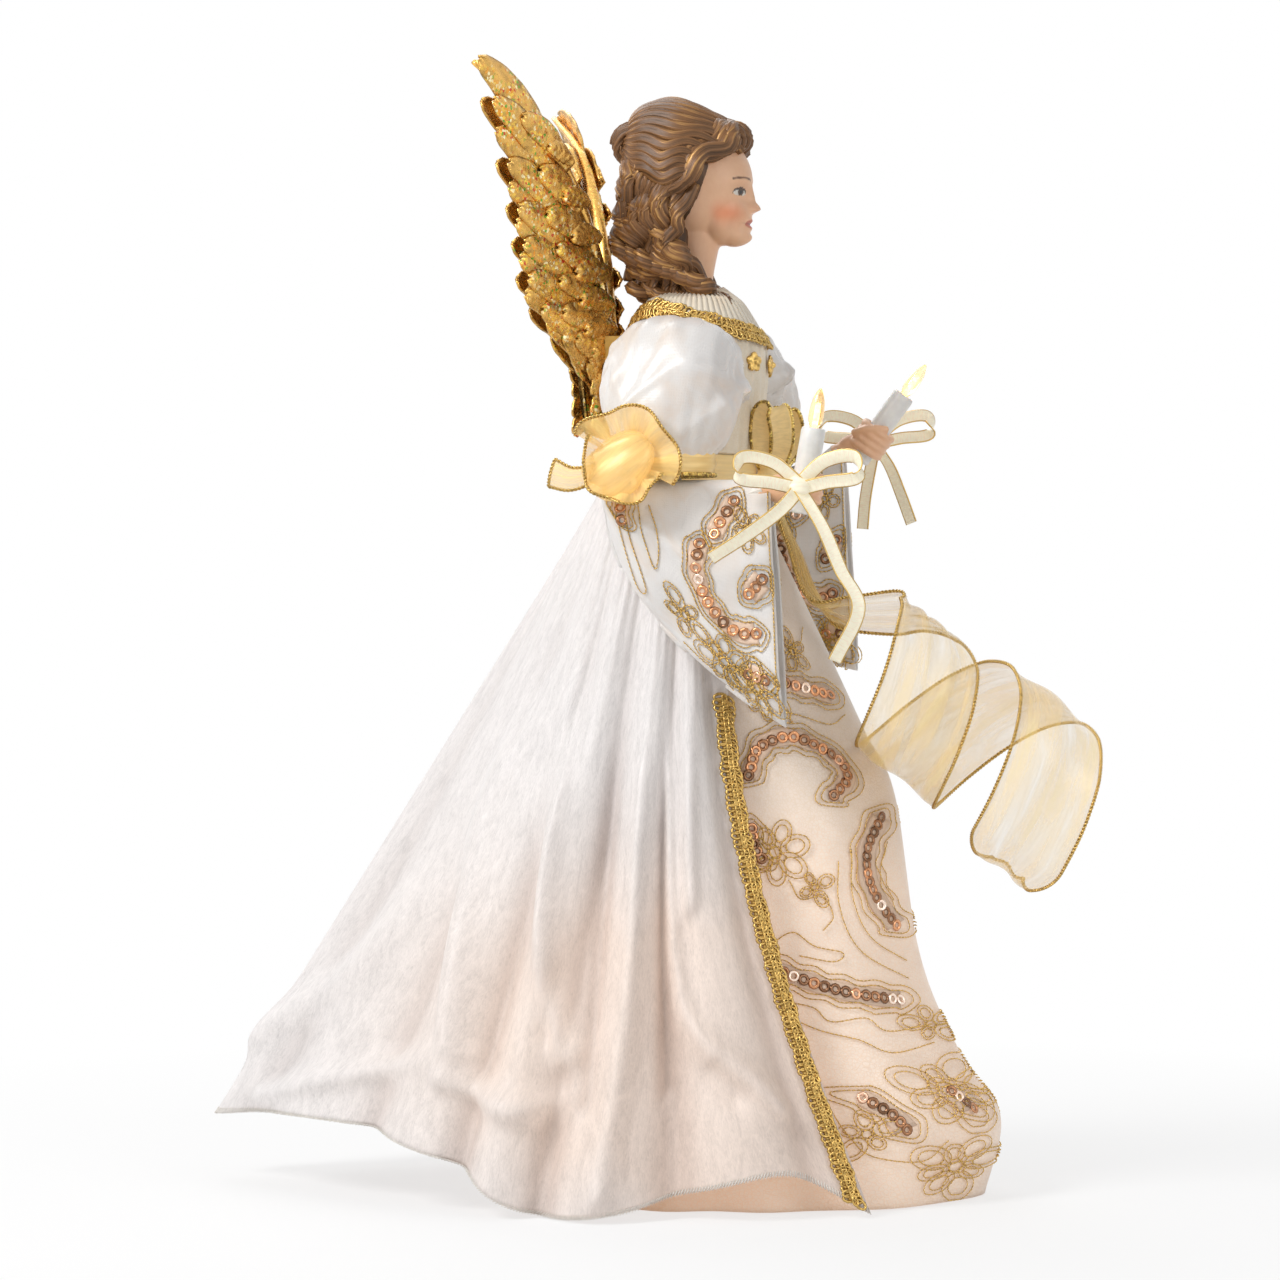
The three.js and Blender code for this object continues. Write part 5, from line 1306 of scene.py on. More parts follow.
# Pieces
class ANGEL_OT_stand(bpy.types.Operator):
    """Finishes of the frame's own parts: cone, wiring, lamps, torso, arms and brackets."""

    bl_idname = "angel.stand"
    bl_label = "Stand and wiring"

    def execute(self, context):
        looks = {
            "base_cone": "board",
            "cord_grommet": "rubber",
            "lamp_wire": "lead",
            "torso": "foam",
            "shoulder_wire": "steel",
            "wing_bracket": "bracket",
        }
        for side in SIDES:
            looks.update({side + "_wing_screw": "steel", side + "_arm": "arm", side + "_lamp_holder": "holder"})
        for k in range(1, 9):
            looks["skirt_lamp_%d" % k] = "glass"
            looks["skirt_lamp_holder_%d" % k] = "holder"
        for node, look in looks.items():
            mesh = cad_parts[node].data
            mesh.materials.clear()
            mesh.materials.append(finish(look))
        return {"FINISHED"}


class ANGEL_OT_overskirt(bpy.types.Operator):
    """Velvet overskirt with its train, its overlocked hem and its braided front edges."""

    bl_idname = "angel.overskirt"
    bl_label = "Overskirt"

    def execute(self, context):
        across, drop = np.meshgrid(np.linspace(0, 1, 385), np.linspace(0, 1, 121))
        outer = skirt_spot(across, drop, 0)
        cloth = shell("overskirt_velvet", outer, -size("cloth"), size=(0.62, 0.31))
        attribute(cloth, "glow", lamp_glow(places(cloth), SKIRT_LAMPS, 54))
        # painted shade mask: darkest in the velvet's fold valleys, faded out near the waist
        valley = smooth(1.5, -4.5, velvet_folds(across, drop)) * smooth(0.03, 0.3, drop)
        attribute(cloth, "valley", np.tile(valley.ravel(), 2))
        dress(cloth, "velvet", "figure", "crushed_velvet", "overskirt")
        whole = np.linspace(0, 1, 900)
        edge = even(skirt_spot(whole, np.ones_like(whole), 0.2), 1.1)
        inside = skirt_spot(whole, np.full_like(whole, 0.985), 0.2)
        at = np.linspace(0, 1, len(edge))
        near = np.stack([np.interp(at, whole, column) for column in inside.T], 1)
        up = unit(near - edge)
        out = unit(np.cross(tangents(edge), up))
        template = stitch_template("hem_stitch_template", 2.4, 0.5)
        row = (edge + up * 0.6, out, up, 1.0)
        hem = sewn("overskirt_hem_stitches", template, [row], finish("stitch"), tilt=0.1)
        discard(template)
        dress(hem, "stitch", "figure", "crushed_velvet")
        self.front_braids()
        return {"FINISHED"}

    def front_braids(self):
        drop = np.linspace(0.3, 0.995, 200)
        for side, share in (("right", 0.011), ("left", 0.989)):
            path = skirt_spot(np.full(200, share), drop, 1.0)
            next_to = skirt_spot(np.full(200, mix(share, 0.5, 0.03)), drop, 1.0)
            across = unit(next_to - path)
            facing = unit(np.cross(tangents(path), across)) * SIDES[side] * -1
            facing = np.where(np.einsum("ij,ij->i", facing, path * (1, 1, 0))[:, None] < 0, -facing, facing)
            braid(side + "_front_braid_loops", path, across, facing, 7.0, "figure", side + "_front_braid")


def braid(name, path, across, facing, width, body, *nodes):
    """Gimp braid: two rows of slanted loops and a chain down the middle, on a flat cord."""
    both = np.concatenate([path, across, facing], 1)
    pitch = 1.9
    rows = resample(both, pitch)
    spot, side, out = rows[:, :3], unit(rows[:, 3:6]), unit(rows[:, 6:])
    ahead = tangents(spot)
    template = loop_template(name + "_template", 2.2, size("loop"), 0.48)
    slant = 0.55
    chance = np.random.default_rng(5)
    scallop = (0.2 + 0.06 * np.sin(np.arange(len(spot)) * 1.05) + 0.04 * chance.uniform(-1, 1, len(spot)))[:, None]
    sets = [
        (spot + side * width * scallop + out * 0.5, out, unit(side + ahead * slant), 1.1),
        (spot - side * width * scallop + out * 0.5, out, unit(-side + ahead * slant), 1.1),
        (spot + out * 0.95, out, ahead, 0.8),
    ]
    loops = sewn(name, template, sets, finish("braid"), tilt=0.16, seed=7)
    discard(template)
    dress(loops, "braid", body, "gold_braid", *nodes)
    core = tube_parts(spot, width * 0.3, 8, side, flat=0.22)
    cord = mesh_piece(name + "_cord", *core, flip=False)
    dress(cord, "braid", body, "gold_braid")
    return loops


def resample(points, step):
    """Rows of numbers at an even spacing by their first three columns."""
    run = np.concatenate([[0], np.cumsum(np.linalg.norm(np.diff(points[:, :3], axis=0), axis=1))])
    at = np.linspace(0, run[-1], max(2, int(run[-1] / step) + 1))
    return np.stack([np.interp(at, run, points[:, k]) for k in range(points.shape[1])], 1)


class ANGEL_OT_gown(bpy.types.Operator):
    """Gown of satin under gold net, with its embroidery of stitches, sequins and flowers."""

    bl_idname = "angel.gown"
    bl_label = "Gown"

    def execute(self, context):
        angle, drop = np.meshgrid(np.linspace(0, TURN, 300, endpoint=False), np.linspace(0, 0.997, 110))
        outer = gown_spot(angle, drop, 0, gown_fold(angle, drop))
        cloth = shell("gown_satin", outer, -size("cloth"), wrap=True, size=(0.4, 0.25))
        attribute(cloth, "glow", lamp_glow(places(cloth), SKIRT_LAMPS, 64))
        dress(cloth, "gown", "figure", "embroidered_net", "gown")
        rows, patches = {"stitch": [], "sequin": []}, []
        for side in SIDES:
            spot = gown_side(side)
            lines = thread_lines(GOWN_VINES, GOWN_SEQUINS, GOWN_FLOWERS, GOWN_GRID, (3.4, 5.2))
            rows["stitch"] += [faced(surface_row(spot, line, 1.65, 0.15)) for line in lines]
            rows["sequin"] += [faced(surface_row(spot, line, 4.0, 0.35)) for line in GOWN_SEQUINS]
            patches += [strip(spot, line, GOWN_GRID, 3.0) for line in GOWN_SEQUINS]
        trims = embroider("gown", rows, "figure", patches)
        return {"FINISHED"}


def faced(row):
    """A row on the gown with each piece facing out."""
    points, facing, along, scale = row
    out = np.einsum("ij,ij->i", facing, points * (1, 1, 0) - np.array((0, -20, 0)))[:, None]
    return points, np.where(out < 0, -facing, facing), along, scale


def outlines(line, grid, gaps):
    """Thread outlines at gaps round a row of sequins; grid gives the millimetres of both coordinates."""
    path = even(spline(np.asarray(line) * grid, 60), 2.0)
    ahead = tangents(path)
    side = np.stack([-ahead[:, 1], ahead[:, 0]], -1)
    rings = []
    for gap in gaps:
        wave = gap + 0.5 * np.sin(np.arange(len(path)) * 1.3)[:, None]
        cap = [path[-1] + ahead[-1] * gap], [path[0] - ahead[0] * gap]
        there, back = path + side * wave, (path - side * wave)[::-1]
        ring = np.vstack([there, cap[0], back, cap[1], path[:1] + side[:1] * gap])
        rings.append(ring / grid)
    return rings


def strip(spot, line, grid, half):
    """A narrow patch of peach net under a row of sequins."""
    path = even(spline(np.asarray(line) * grid, 60), 1.5)
    ahead = tangents(path)
    side = np.stack([-ahead[:, 1], ahead[:, 0]], -1)
    places_on = (path[:, None] + side[:, None] * np.linspace(-half, half, 7)[:, None]) / grid
    flat = places_on.reshape(-1, 2)
    return spot(flat[:, 0], flat[:, 1]).reshape(len(path), 7, 3)


def blossom(at, petals, reach, grid):
    """Thread outlines of a flower: two nested loops for each petal, and a round eye."""
    loops = []
    for k in range(petals):
        angle = (k + 0.3) / petals * TURN
        ahead = np.array((math.cos(angle), math.sin(angle)))
        side = np.array((-ahead[1], ahead[0]))
        far = reach * (1 + 0.25 * math.sin(2.4 * k + at[1]))
        for part in (1.0, 0.62):
            turn = np.linspace(0, TURN, 15)
            along = far * (0.6 - 0.42 * part * np.cos(turn))
            wide = far * 0.3 * part * np.sin(turn)
            loops.append(np.asarray(at) + (along[:, None] * ahead + wide[:, None] * side) / grid)
    turn = np.linspace(0, TURN, 9)
    loops.append(np.asarray(at) + reach * 0.16 * np.stack([np.cos(turn), np.sin(turn)], -1) / grid)
    return loops


def thread_lines(vines, sequins, flowers, grid, gaps):
    """All the thread lines of a cloth's embroidery, in its own two coordinates."""
    lines = vines + [ring for row in sequins for ring in outlines(row, grid, gaps)]
    for at, petals, reach in flowers:
        lines = lines + blossom(at, petals, reach, grid)
    return lines


# Thickness of a patch to each side of its cloth
PATCH = 0.25


def embroider(name, rows, body, patches):
    """Sews gold stitches, sequins and peach patches on a cloth."""
    made = []
    templates = {
        "stitch": stitch_template(name + "_stitch_template", size("stitch"), 0.5),
        "sequin": sequin_template(name + "_sequin_template", size("sequin")),
    }
    looks = {"stitch": ("_gold_stitches", "thread", 0.08), "sequin": ("_sequins", "sequin", 0.2)}
    for key, template in templates.items():
        ending, look, tilt = looks[key]
        piece = sewn(name + ending, template, rows[key], finish(look), tilt=tilt, seed=11)
        made.append(dress(piece, look, body, "gold_braid"))
    discard(*templates.values())
    both = [shell_parts(patch, thick, False, (0.02, 0.006)) for patch in patches for thick in (PATCH, -PATCH)]
    made.append(dress(merged(name + "_peach_patches", both), "patch", body, "embroidered_net"))
    return made


# Rows of sequins, thread lines and flowers: (share of the gown's reach, height) and (along, down) a sleeve
GOWN_GRID = np.array((78.0, 1.0))
GOWN_SEQUINS = [
    [(0.62, 178), (0.76, 176), (0.92, 173)],
    [(0.36, 146), (0.46, 156), (0.62, 159), (0.78, 154), (0.83, 145), (0.75, 139)],
    [(0.94, 131), (0.87, 121), (0.86, 111), (0.90, 101), (0.95, 94)],
    [(0.43, 81), (0.55, 77), (0.70, 73), (0.90, 69)],
    [(0.64, 38), (0.70, 33), (0.74, 27)],
    [(0.92, 38), (0.95, 32)],
    [(0.36, 128), (0.37, 122), (0.40, 118)],
]
GOWN_VINES = [
    [(0.80, 120), (0.79, 104), (0.85, 90), (0.96, 82)],
    [(0.74, 116), (0.73, 102), (0.80, 86), (0.95, 76)],
    [(0.95, 122), (0.91, 112), (0.95, 103)],
    [(0.44, 90), (0.52, 93), (0.62, 88), (0.72, 86), (0.68, 83), (0.55, 85)],
    [(0.46, 70), (0.56, 68), (0.64, 63), (0.74, 64), (0.84, 59), (0.97, 60)],
    [(0.48, 64), (0.58, 60), (0.70, 57), (0.82, 52), (0.95, 54)],
    [(0.52, 110), (0.58, 104), (0.64, 105), (0.70, 98), (0.66, 94)],
    [(0.62, 190), (0.72, 196), (0.84, 190), (0.92, 196)],
    [(0.60, 168), (0.72, 166), (0.86, 163), (0.95, 166)],
    [(0.50, 40), (0.56, 26), (0.66, 18), (0.78, 16), (0.86, 22)],
]
GOWN_FLOWERS = [
    ((0.46, 120), 7, 11),
    ((0.63, 108), 4, 6),
    ((0.92, 38), 8, 12),
    ((0.90, 13), 8, 10),
    ((0.54, 172), 6, 9),
    ((0.97, 60), 5, 7),
    ((0.62, 26), 5, 8),
    ((0.80, 188), 5, 7),
]
SLEEVE_GRID = np.array((58.0, 66.0))
SLEEVE_SEQUINS = [
    [(0.57, 0.34), (0.55, 0.48), (0.60, 0.62), (0.74, 0.70), (0.88, 0.66)],
    [(0.78, 0.1), (0.70, 0.2), (0.66, 0.27)],
    [(0.93, 0.42), (0.85, 0.5)],
    [(0.82, 0.86), (0.92, 0.84)],
    [(0.09, 0.2), (0.11, 0.42)],
]
SLEEVE_VINES = [
    [(0.06, 0.12), (0.09, 0.5), (0.2, 0.9), (0.24, 0.86), (0.15, 0.5), (0.12, 0.12)],
    [(0.2, 0.2), (0.24, 0.45), (0.3, 0.62), (0.33, 0.42), (0.27, 0.2)],
    [(0.985, 0.06), (0.985, 0.5), (0.985, 0.95)],
    [(0.45, 0.95), (0.7, 0.965), (0.97, 0.97)],
]
SLEEVE_FLOWERS = [((0.46, 0.78), 5, 8), ((0.68, 0.88), 7, 8), ((0.86, 0.90), 7, 8), ((0.86, 0.22), 5, 6)]


class ANGEL_OT_bodice(bpy.types.Operator):
    """Satin bodice with its net front, pleated neck edge, collar braid and flower beads."""

    bl_idname = "angel.bodice"
    bl_label = "Bodice"

    def execute(self, context):
        angle, height = np.meshgrid(np.linspace(0, TURN, 200, endpoint=False), np.linspace(309.6, 250.6, 60))
        gather = smooth(272, 252, height) * 0.5
        fold = gather * np.cos(44 * angle) + 0.3 * np.sin(9 * angle + height / 9)
        outer = torso_spot(angle, height, BODICE_OUT + fold)
        outer[..., 0] = np.clip(outer[..., 0], -BODICE_HALF, BODICE_HALF)
        cloth = shell("bodice_satin", outer, size("cloth"), wrap=True, size=(0.16, 0.06))
        dress(cloth, "satin", "figure", "white_satin", "bodice")
        angle, height = np.meshgrid(np.linspace(-0.95, 0.95, 80), np.linspace(297, 256, 50))
        ruck = 0.25 * np.cos(30 * angle + height / 7)
        front = torso_spot(angle, height, BODICE_OUT + 0.9 + ruck)
        front[..., 0] = np.clip(front[..., 0], -BODICE_HALF, BODICE_HALF)
        net = shell("bodice_net_front", front, 0.4, size=(0.06, 0.05))
        dress(net, "net", "figure", "embroidered_net")
        path, facing, up = collar_line(260)
        braid("collar_braid_loops", path, up, facing, 7.5, "figure", "collar_trim")
        self.pleats()
        template = petal_template("bead_template", size("flower"))
        spots = []
        for turned in (0, -28, 28):
            angle = np.array([math.radians(turned)])
            at = torso_spot(angle, np.array([288.0]), BODICE_OUT + 1.4)
            out = unit(torso_spot(angle, np.array([288.0]), 9) - at)
            spots.append((at, out, np.array([(0.0, 0.0, 1.0)]), 1.0))
        beads = sewn("flower_beads", template, spots, finish("bead"))
        discard(template)
        dress(beads, "bead", "figure", "gold_braid", "front_bead", "right_bead", "left_bead")
        return {"FINISHED"}

    def pleats(self):
        """The pleated edge between the collar braid and the neck."""
        _, facing, _ = collar_line(480)
        turn = np.linspace(0, TURN, 480)
        neck = np.stack([10.4 * np.sin(turn), 1 - 10.4 * np.cos(turn), 313.5 + 1.2 * np.cos(2 * turn)], -1)
        share = np.linspace(0, 1, 20)
        height = mix(collar_level(turn), 310.2, np.clip(share / 0.7, 0, 1)[:, None])
        outer = torso_spot(turn, height, BODICE_OUT + 0.8)
        outer[..., 0] = np.clip(outer[..., 0], -27, 27)
        outer = outer + (neck - outer) * smooth(0.7, 1, share)[:, None, None]
        pleat = np.abs(np.cos(30 * turn)) ** 0.6 * (0.5 + 0.9 * share[:, None])
        outer = (outer + facing * pleat[..., None])[:, :-1]
        ruffle = shell("neck_pleats", outer, -0.3, wrap=True, size=(0.1, 0.012))
        dress(ruffle, "ecru", "figure", "embroidered_net")


def collar_line(count):
    """The collar's line over the shoulders, the way it faces, and the way up it."""
    turn = np.linspace(0, TURN, count)
    level = collar_level(turn)
    path = torso_spot(turn, level, BODICE_OUT + 1.3)
    path[:, 0] = np.clip(path[:, 0], -27.8, 27.8)
    facing = unit(unit(path * (1, 1, 0)) + np.array((0, 0, 0.6)))
    ahead = tangents(path)
    ahead[0] = ahead[-1] = unit(path[1] - path[-2])
    return path, facing, np.cross(facing, ahead)


def collar_level(turn):
    """The collar's height: low on the chest, high behind the shoulders, lower again at the back."""
    round_back = np.degrees(np.minimum(turn, TURN - turn))
    level = np.interp(round_back, [0, 40, 90, 125, 180], [297, 298.5, 303.5, 307, 302.5])
    return np.convolve(np.pad(level, 9, "wrap"), np.ones(19) / 19, "valid")


SASH_INNER = 20.3
SASH_FRONT = -21.7
KNOT = np.array((0.0, -26.1, 250.0))
SASH_LOOP = [(1, 4, 1), (9, 3, 9), (13, 5, 21), (15, 9, 22), (13, 11, 12), (1, 6, -1)]


class ANGEL_OT_sash(bpy.types.Operator):
    """Gold waist sash with its standing bow, and the sheer wired streamer."""

    bl_idname = "angel.sash"
    bl_label = "Sash and streamer"

    def execute(self, context):
        angle, share = np.meshgrid(np.linspace(0, TURN, 160, endpoint=False), np.linspace(0, 1, 15))
        roll = 0.35 * np.cos(share * TURN * 2.5 + 0.8 * np.sin(3 * angle))
        outer = np.stack(
            [
                (SASH_INNER * TORSO_RATIO + 1.1 + roll) * np.sin(angle),
                -(SASH_INNER + 1.1 + roll) * np.cos(angle),
                mix(255.8, 244.2, share),
            ],
            -1,
        )
        sash = shell("waist_sash_ribbon", outer, 0.6, wrap=True, size=(0.15, 1))
        dress(sash, "sash", "figure", "gold_ribbon", "waist_sash")
        self.bow()
        self.streamer()
        return {"FINISHED"}

    def bow(self):
        parts, edges = [crumpled_knot(KNOT, (5, 4, 6))], []
        for side in (-1, 1):
            route = [(side * out, SASH_FRONT - ahead, WAIST + up) for out, ahead, up in SASH_LOOP]
            path = even(spline(route, 90), 0.7)
            share = np.linspace(0, 1, len(path))
            width = mix(4.6, 8.2, np.sin(math.pi * share))
            outer = ribbon_grid(path, (side / 3, 1, 1 / 3), width, 11, 0.1)
            parts.append(shell_parts(outer, 0.5, False, (1, len(path) * 0.07)))
            for rim in (outer[:, 0], outer[:, -1]):
                edges += twisted(rim, (1, 0.2, 0.3), 0.3, 1.8)
        bow = merged("sash_bow_loops", parts)
        dress(bow, "sash", "figure", "gold_ribbon", "sash_bow")
        trim = threads("sash_bow_edge_cords", edges, 0.4, finish("glitter"))
        dress(trim, "glitter", "figure", "gold_braid")

    def streamer(self):
        path, axis = streamer_route()
        share = np.linspace(0, 1, len(path))
        level = np.array((1.0, 0, 0))
        lean = level + (axis - level) * smooth(0, 0.12, share)[:, None]
        width = mix(7, 33, smooth(0.06, 0.26, share)) * (1 - 0.6 * smooth(0.9, 1.0, share))
        outer = ribbon_grid(path, lean, width, 25, 0.06)
        _, _, up = path_frames(path, lean)
        across = np.linspace(0, 1, 25)
        ruck = 1.5 * np.sin(across * 7 * math.pi) * (1 - smooth(0.04, 0.42, share))[:, None]
        sway = 0.9 * np.sin(across * 2.6 * math.pi + 14 * share[:, None]) * smooth(0.2, 0.5, share)[:, None]
        outer += up[:, None] * (ruck + sway)[..., None]
        cloth = shell("streamer_organza", outer, size("sheer"), size=(0.033, 0.33))
        dress(cloth, "organza", "figure", "gold_organza", "sash_streamer")
        rim = np.vstack([outer[:, 0], outer[-1, 1:-1], outer[::-1, -1]])
        lines = twisted(rim, (0.2, 0.3, 0.9), 0.34, 2.6)
        wire = threads("streamer_edge_wires", lines, size("wire"), finish("wire"))
        dress(wire, "wire", "figure", "gold_ribbon")


def crumpled_knot(centre, halves):
    """A ribbon knot: a small round body with wrapped folds."""
    p, q, uv = ellipsoid_parts((0, 0, 0), (1, 1, 1), 28, 18)
    turn = np.arctan2(p[:, 2], p[:, 0])
    p = p * (1 + 0.12 * np.cos(5 * turn + 3 * p[:, 1]))[:, None]
    return p * np.asarray(halves) + np.asarray(centre), q, uv


def streamer_route():
    """The streamer's centre line, and the axis of its curl."""
    route = [(0, KNOT[1], 243.6), KNOT + (-4, -9, -26), KNOT + (-20, -22, -47)]
    start, end = KNOT + (-27, -41, -67), KNOT + (-4, -103, -116)
    axis = unit(end - start)
    sideways = unit(np.array((1.0, 0, 0)) - axis * axis[0])
    upward = np.cross(axis, sideways)
    for share in np.linspace(0, 1, 18):
        angle = math.radians(335) + share * 1.62 * TURN
        radius = mix(23, 30, share)
        turned = upward * radius * math.cos(angle) - sideways * radius * math.sin(angle)
        route.append(mix(start, end, share) + turned)
    return spline(np.array(route), 320), axis


# Soft diagonal folds of a puff: waves round it, slant, start, height as a share of its width, and sharpness
PUFF_FOLDS = [
    (1.5, 5, 0.3, 0.06, 0.3),
    (2, -4.5, 1.1, 0.055, 0.26),
    (2.5, 8, 0.8, 0.035, 0.24),
    (1, 7, 2.0, 0.05, 0.2),
]
# A puff's centre line from the armhole to the band, and its half widths by the share of that line
PUFF_LINE = [(23.5, 1, 285), (33, 0, 285.5), (43, -0.5, 282.5), (49, 0.3, 270), (51, 1, 258), (51, 1, 252)]
PUFF_SHARES = [0, 0.12, 0.35, 0.6, 0.8, 0.93, 1]
PUFF_WIDE = [9.5, 13.2, 17.8, 16.8, 13.5, 11.2, 10.4]
PUFF_DEEP = [14, 19, 22.8, 21.5, 17.5, 14.6, 14.2]


class ANGEL_OT_sleeves(bpy.types.Operator):
    """Puffed satin sleeves, gold bands and hanging bell sleeves with embroidery."""

    bl_idname = "angel.sleeves"
    bl_label = "Sleeves"

    def execute(self, context):
        for side in SIDES:
            self.puff(side)
            self.band(side)
            self.bell(side)
        return {"FINISHED"}

    def puff(self, side):
        """A gathered tube of satin, bent from the armhole down to the arm band."""
        share = np.linspace(0, 1, 80)
        centre = spline(PUFF_LINE, share)
        halves = (np.interp(share, PUFF_SHARES, half) for half in (PUFF_WIDE, PUFF_DEEP))
        wide, deep = (np.convolve(np.pad(w, 6, "edge"), np.ones(13) / 13, "valid") for w in halves)
        along = tangents(centre)
        fore = np.broadcast_to(np.array((0, 1.0, 0)), centre.shape)
        fore = unit(fore - along * np.einsum("ij,ij->i", fore, along)[:, None])
        level = np.cross(fore, along)
        turn = np.linspace(0, TURN, 150, endpoint=False)
        ends = np.exp(-share / 0.16) + np.exp(-(1 - share) / 0.22)
        gather = 0.035 * ends[:, None] * np.cos(20 * turn + 0.8 * np.sin(3 * turn))
        down = share[:, None]
        soft = 0.05 * np.cos(4 * turn + 9 * down + 0.4) + 0.04 * np.cos(3 * turn - 12 * down + 1.2)
        for waves, slant, start, tall, thin in PUFF_FOLDS:
            bend = waves * turn + slant * down + start + 0.6 * np.sin(2 * turn + 3 * down)
            soft = soft + tall * np.exp(-((np.sin(bend) / thin) ** 2))
        swell = 1 + gather + soft * np.sin(math.pi * share)[:, None]
        x, y = wide[:, None] * swell * np.cos(turn), deep[:, None] * swell * np.sin(turn)
        outer = centre[:, None] + level[:, None] * x[..., None] + fore[:, None] * y[..., None]
        outer = on_arm(outer, side)
        cloth = shell(side + "_puff_satin", outer, size("cloth") * SIDES[side], wrap=True, size=(0.12, 0.07))
        dress(cloth, "satin", None, "white_satin", side + "_puff_sleeve")
        x = SIDES[side] * MM
        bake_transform(cloth)

    def band(self, side):
        angle, share = np.meshgrid(np.linspace(0, TURN, 120, endpoint=False), np.linspace(0, 1, 13))
        swell = 0.5 * np.sin(math.pi * share) + 0.3 * np.cos(3 * TURN * share + 2 * np.sin(2 * angle))
        outer = np.stack(
            [
                BAND_MIDDLE[0] + (11.8 + swell) * np.cos(angle),
                BAND_MIDDLE[1] + (15.8 + swell) * np.sin(angle),
                mix(BAND_BOTTOM + BAND_HEIGHT, BAND_BOTTOM, share),
            ],
            -1,
        )
        outer = on_arm(outer, side)
        band = shell(side + "_band_ribbon", outer, 0.7 * SIDES[side], wrap=True, size=(0.09, 1))
        dress(band, "sash", side + "_arm_body", "gold_ribbon", side + "_arm_band")
        lines = []
        for edge in (outer[0], outer[-1]):
            lines += twisted(np.vstack([edge, edge[:1]]), (0, 0, 1), 0.35, 2.0)
        trim = threads(side + "_band_edge_cords", lines, 0.42, finish("glitter"))
        dress(trim, "glitter", side + "_arm_body", "gold_braid")

    @staticmethod
    def gathered_end(outer):
        """Rows that close a sleeve behind the elbow, where the satin is gathered to a point."""
        middle = outer[0].mean(0)
        back = unit(middle - outer[6].mean(0)) * 3.5
        pull = [math.radians(a) for a in (2, 14, 28, 42, 56, 68, 80)]
        return np.stack([middle + (outer[0] - middle) * math.sin(a) + back * math.cos(a) for a in pull])

    def bell(self, side):
        turn, length = np.meshgrid(np.linspace(0, 1, 180, endpoint=False), np.linspace(0, 1, 90))
        outer = bell_spot(side, turn, length)
        outer = np.concatenate([self.gathered_end(outer), outer])
        cloth = shell(side + "_bell_satin", outer, size("cloth") * SIDES[side], wrap=True, size=(0.12, 0.06))
        dress(cloth, "satin", side + "_arm_body", "embroidered_net", side + "_bell_sleeve")
        rows, patches = {"stitch": [], "sequin": []}, []
        for face in (1, -1):

            def spot(along, down):
                along, down = np.atleast_1d(along), np.atleast_1d(down)
                return bell_spot(side, face * np.arccos(np.clip(1 - 2 * down, -1, 1)) / TURN % 1, along)

            def outward(row):
                p, facing, ahead, scale = row
                middle = bell_spot(side, np.full(len(p), 0.25), np.full(len(p), 0.6))
                other = bell_spot(side, np.full(len(p), 0.75), np.full(len(p), 0.6))
                way = (middle - other) * face
                sign = np.sign(np.einsum("ij,ij->i", facing, way))[:, None]
                return p + facing * sign * 0.3, facing * sign, ahead, scale

            lines = thread_lines(SLEEVE_VINES, SLEEVE_SEQUINS, SLEEVE_FLOWERS, SLEEVE_GRID, (3.4, 4.8))
            rows["stitch"] += [outward(surface_row(spot, line, 1.5)) for line in lines]
            rows["sequin"] += [outward(surface_row(spot, line, 4.0)) for line in SLEEVE_SEQUINS]
            patches += [strip(spot, line, SLEEVE_GRID, 3.0) for line in SLEEVE_SEQUINS]
        trims = embroider(side + "_bell", rows, side + "_arm_body", patches)


def bell_spot(side, turn, length):
    """A point on a bell sleeve, which hangs straight down from the forearm."""
    wrist = WRISTS[side]
    back = on_arm((54, 21, 245.7), side)
    front = on_arm((wrist[0], wrist[1] - 2, 245.7), side)
    rise = max(0, wrist[2] + 4.8 - 247.1)
    angle = turn * TURN
    drop = mix(11, 83, length**0.55) / 2
    wide = mix(8.6, 8, length)
    top = back + (front - back) * length[..., None]
    sag = np.sin(angle) * wide * (1 + 0.12 * length * np.cos(3 * angle))
    down = (1 - np.cos(angle)) / 2
    ripple = 1.5 * length * np.sin(angle) ** 2 * np.cos(15 * (angle - math.pi) / TURN * 2 + 4 * length)
    ripple = ripple + 2.0 * np.sin(math.pi * length) * np.exp(-(((down - 0.3 - 0.25 * length) / 0.07) ** 2))
    ripple = ripple + 1.3 * smooth(0.5, 0.9, down) * np.cos(17 * length + 3 * down)
    forward = 5 * length * np.sin(angle / 2) ** 2
    x = top[..., 0] + SIDES[side] * (sag + np.sign(np.sin(angle)) * ripple)
    z = top[..., 2] + rise * length**5 - drop * (1 - np.cos(angle))
    return np.stack([x, top[..., 1] - forward, z], -1)


def ruffle(span, reach, flare):
    """A standing ruffle of the elbow rosette over a span of degrees."""
    turn, share = np.meshgrid(np.radians(np.linspace(*span, 120)), np.linspace(0.2, 1, 20))
    r = reach * share * (1 + 0.06 * np.cos(5 * turn))
    out = 65.6 + flare * share**2 + 1.8 * share * np.cos(8 * turn)
    return np.stack([out, 12.5 - r * np.cos(turn), 251 + r * np.sin(turn)], -1)


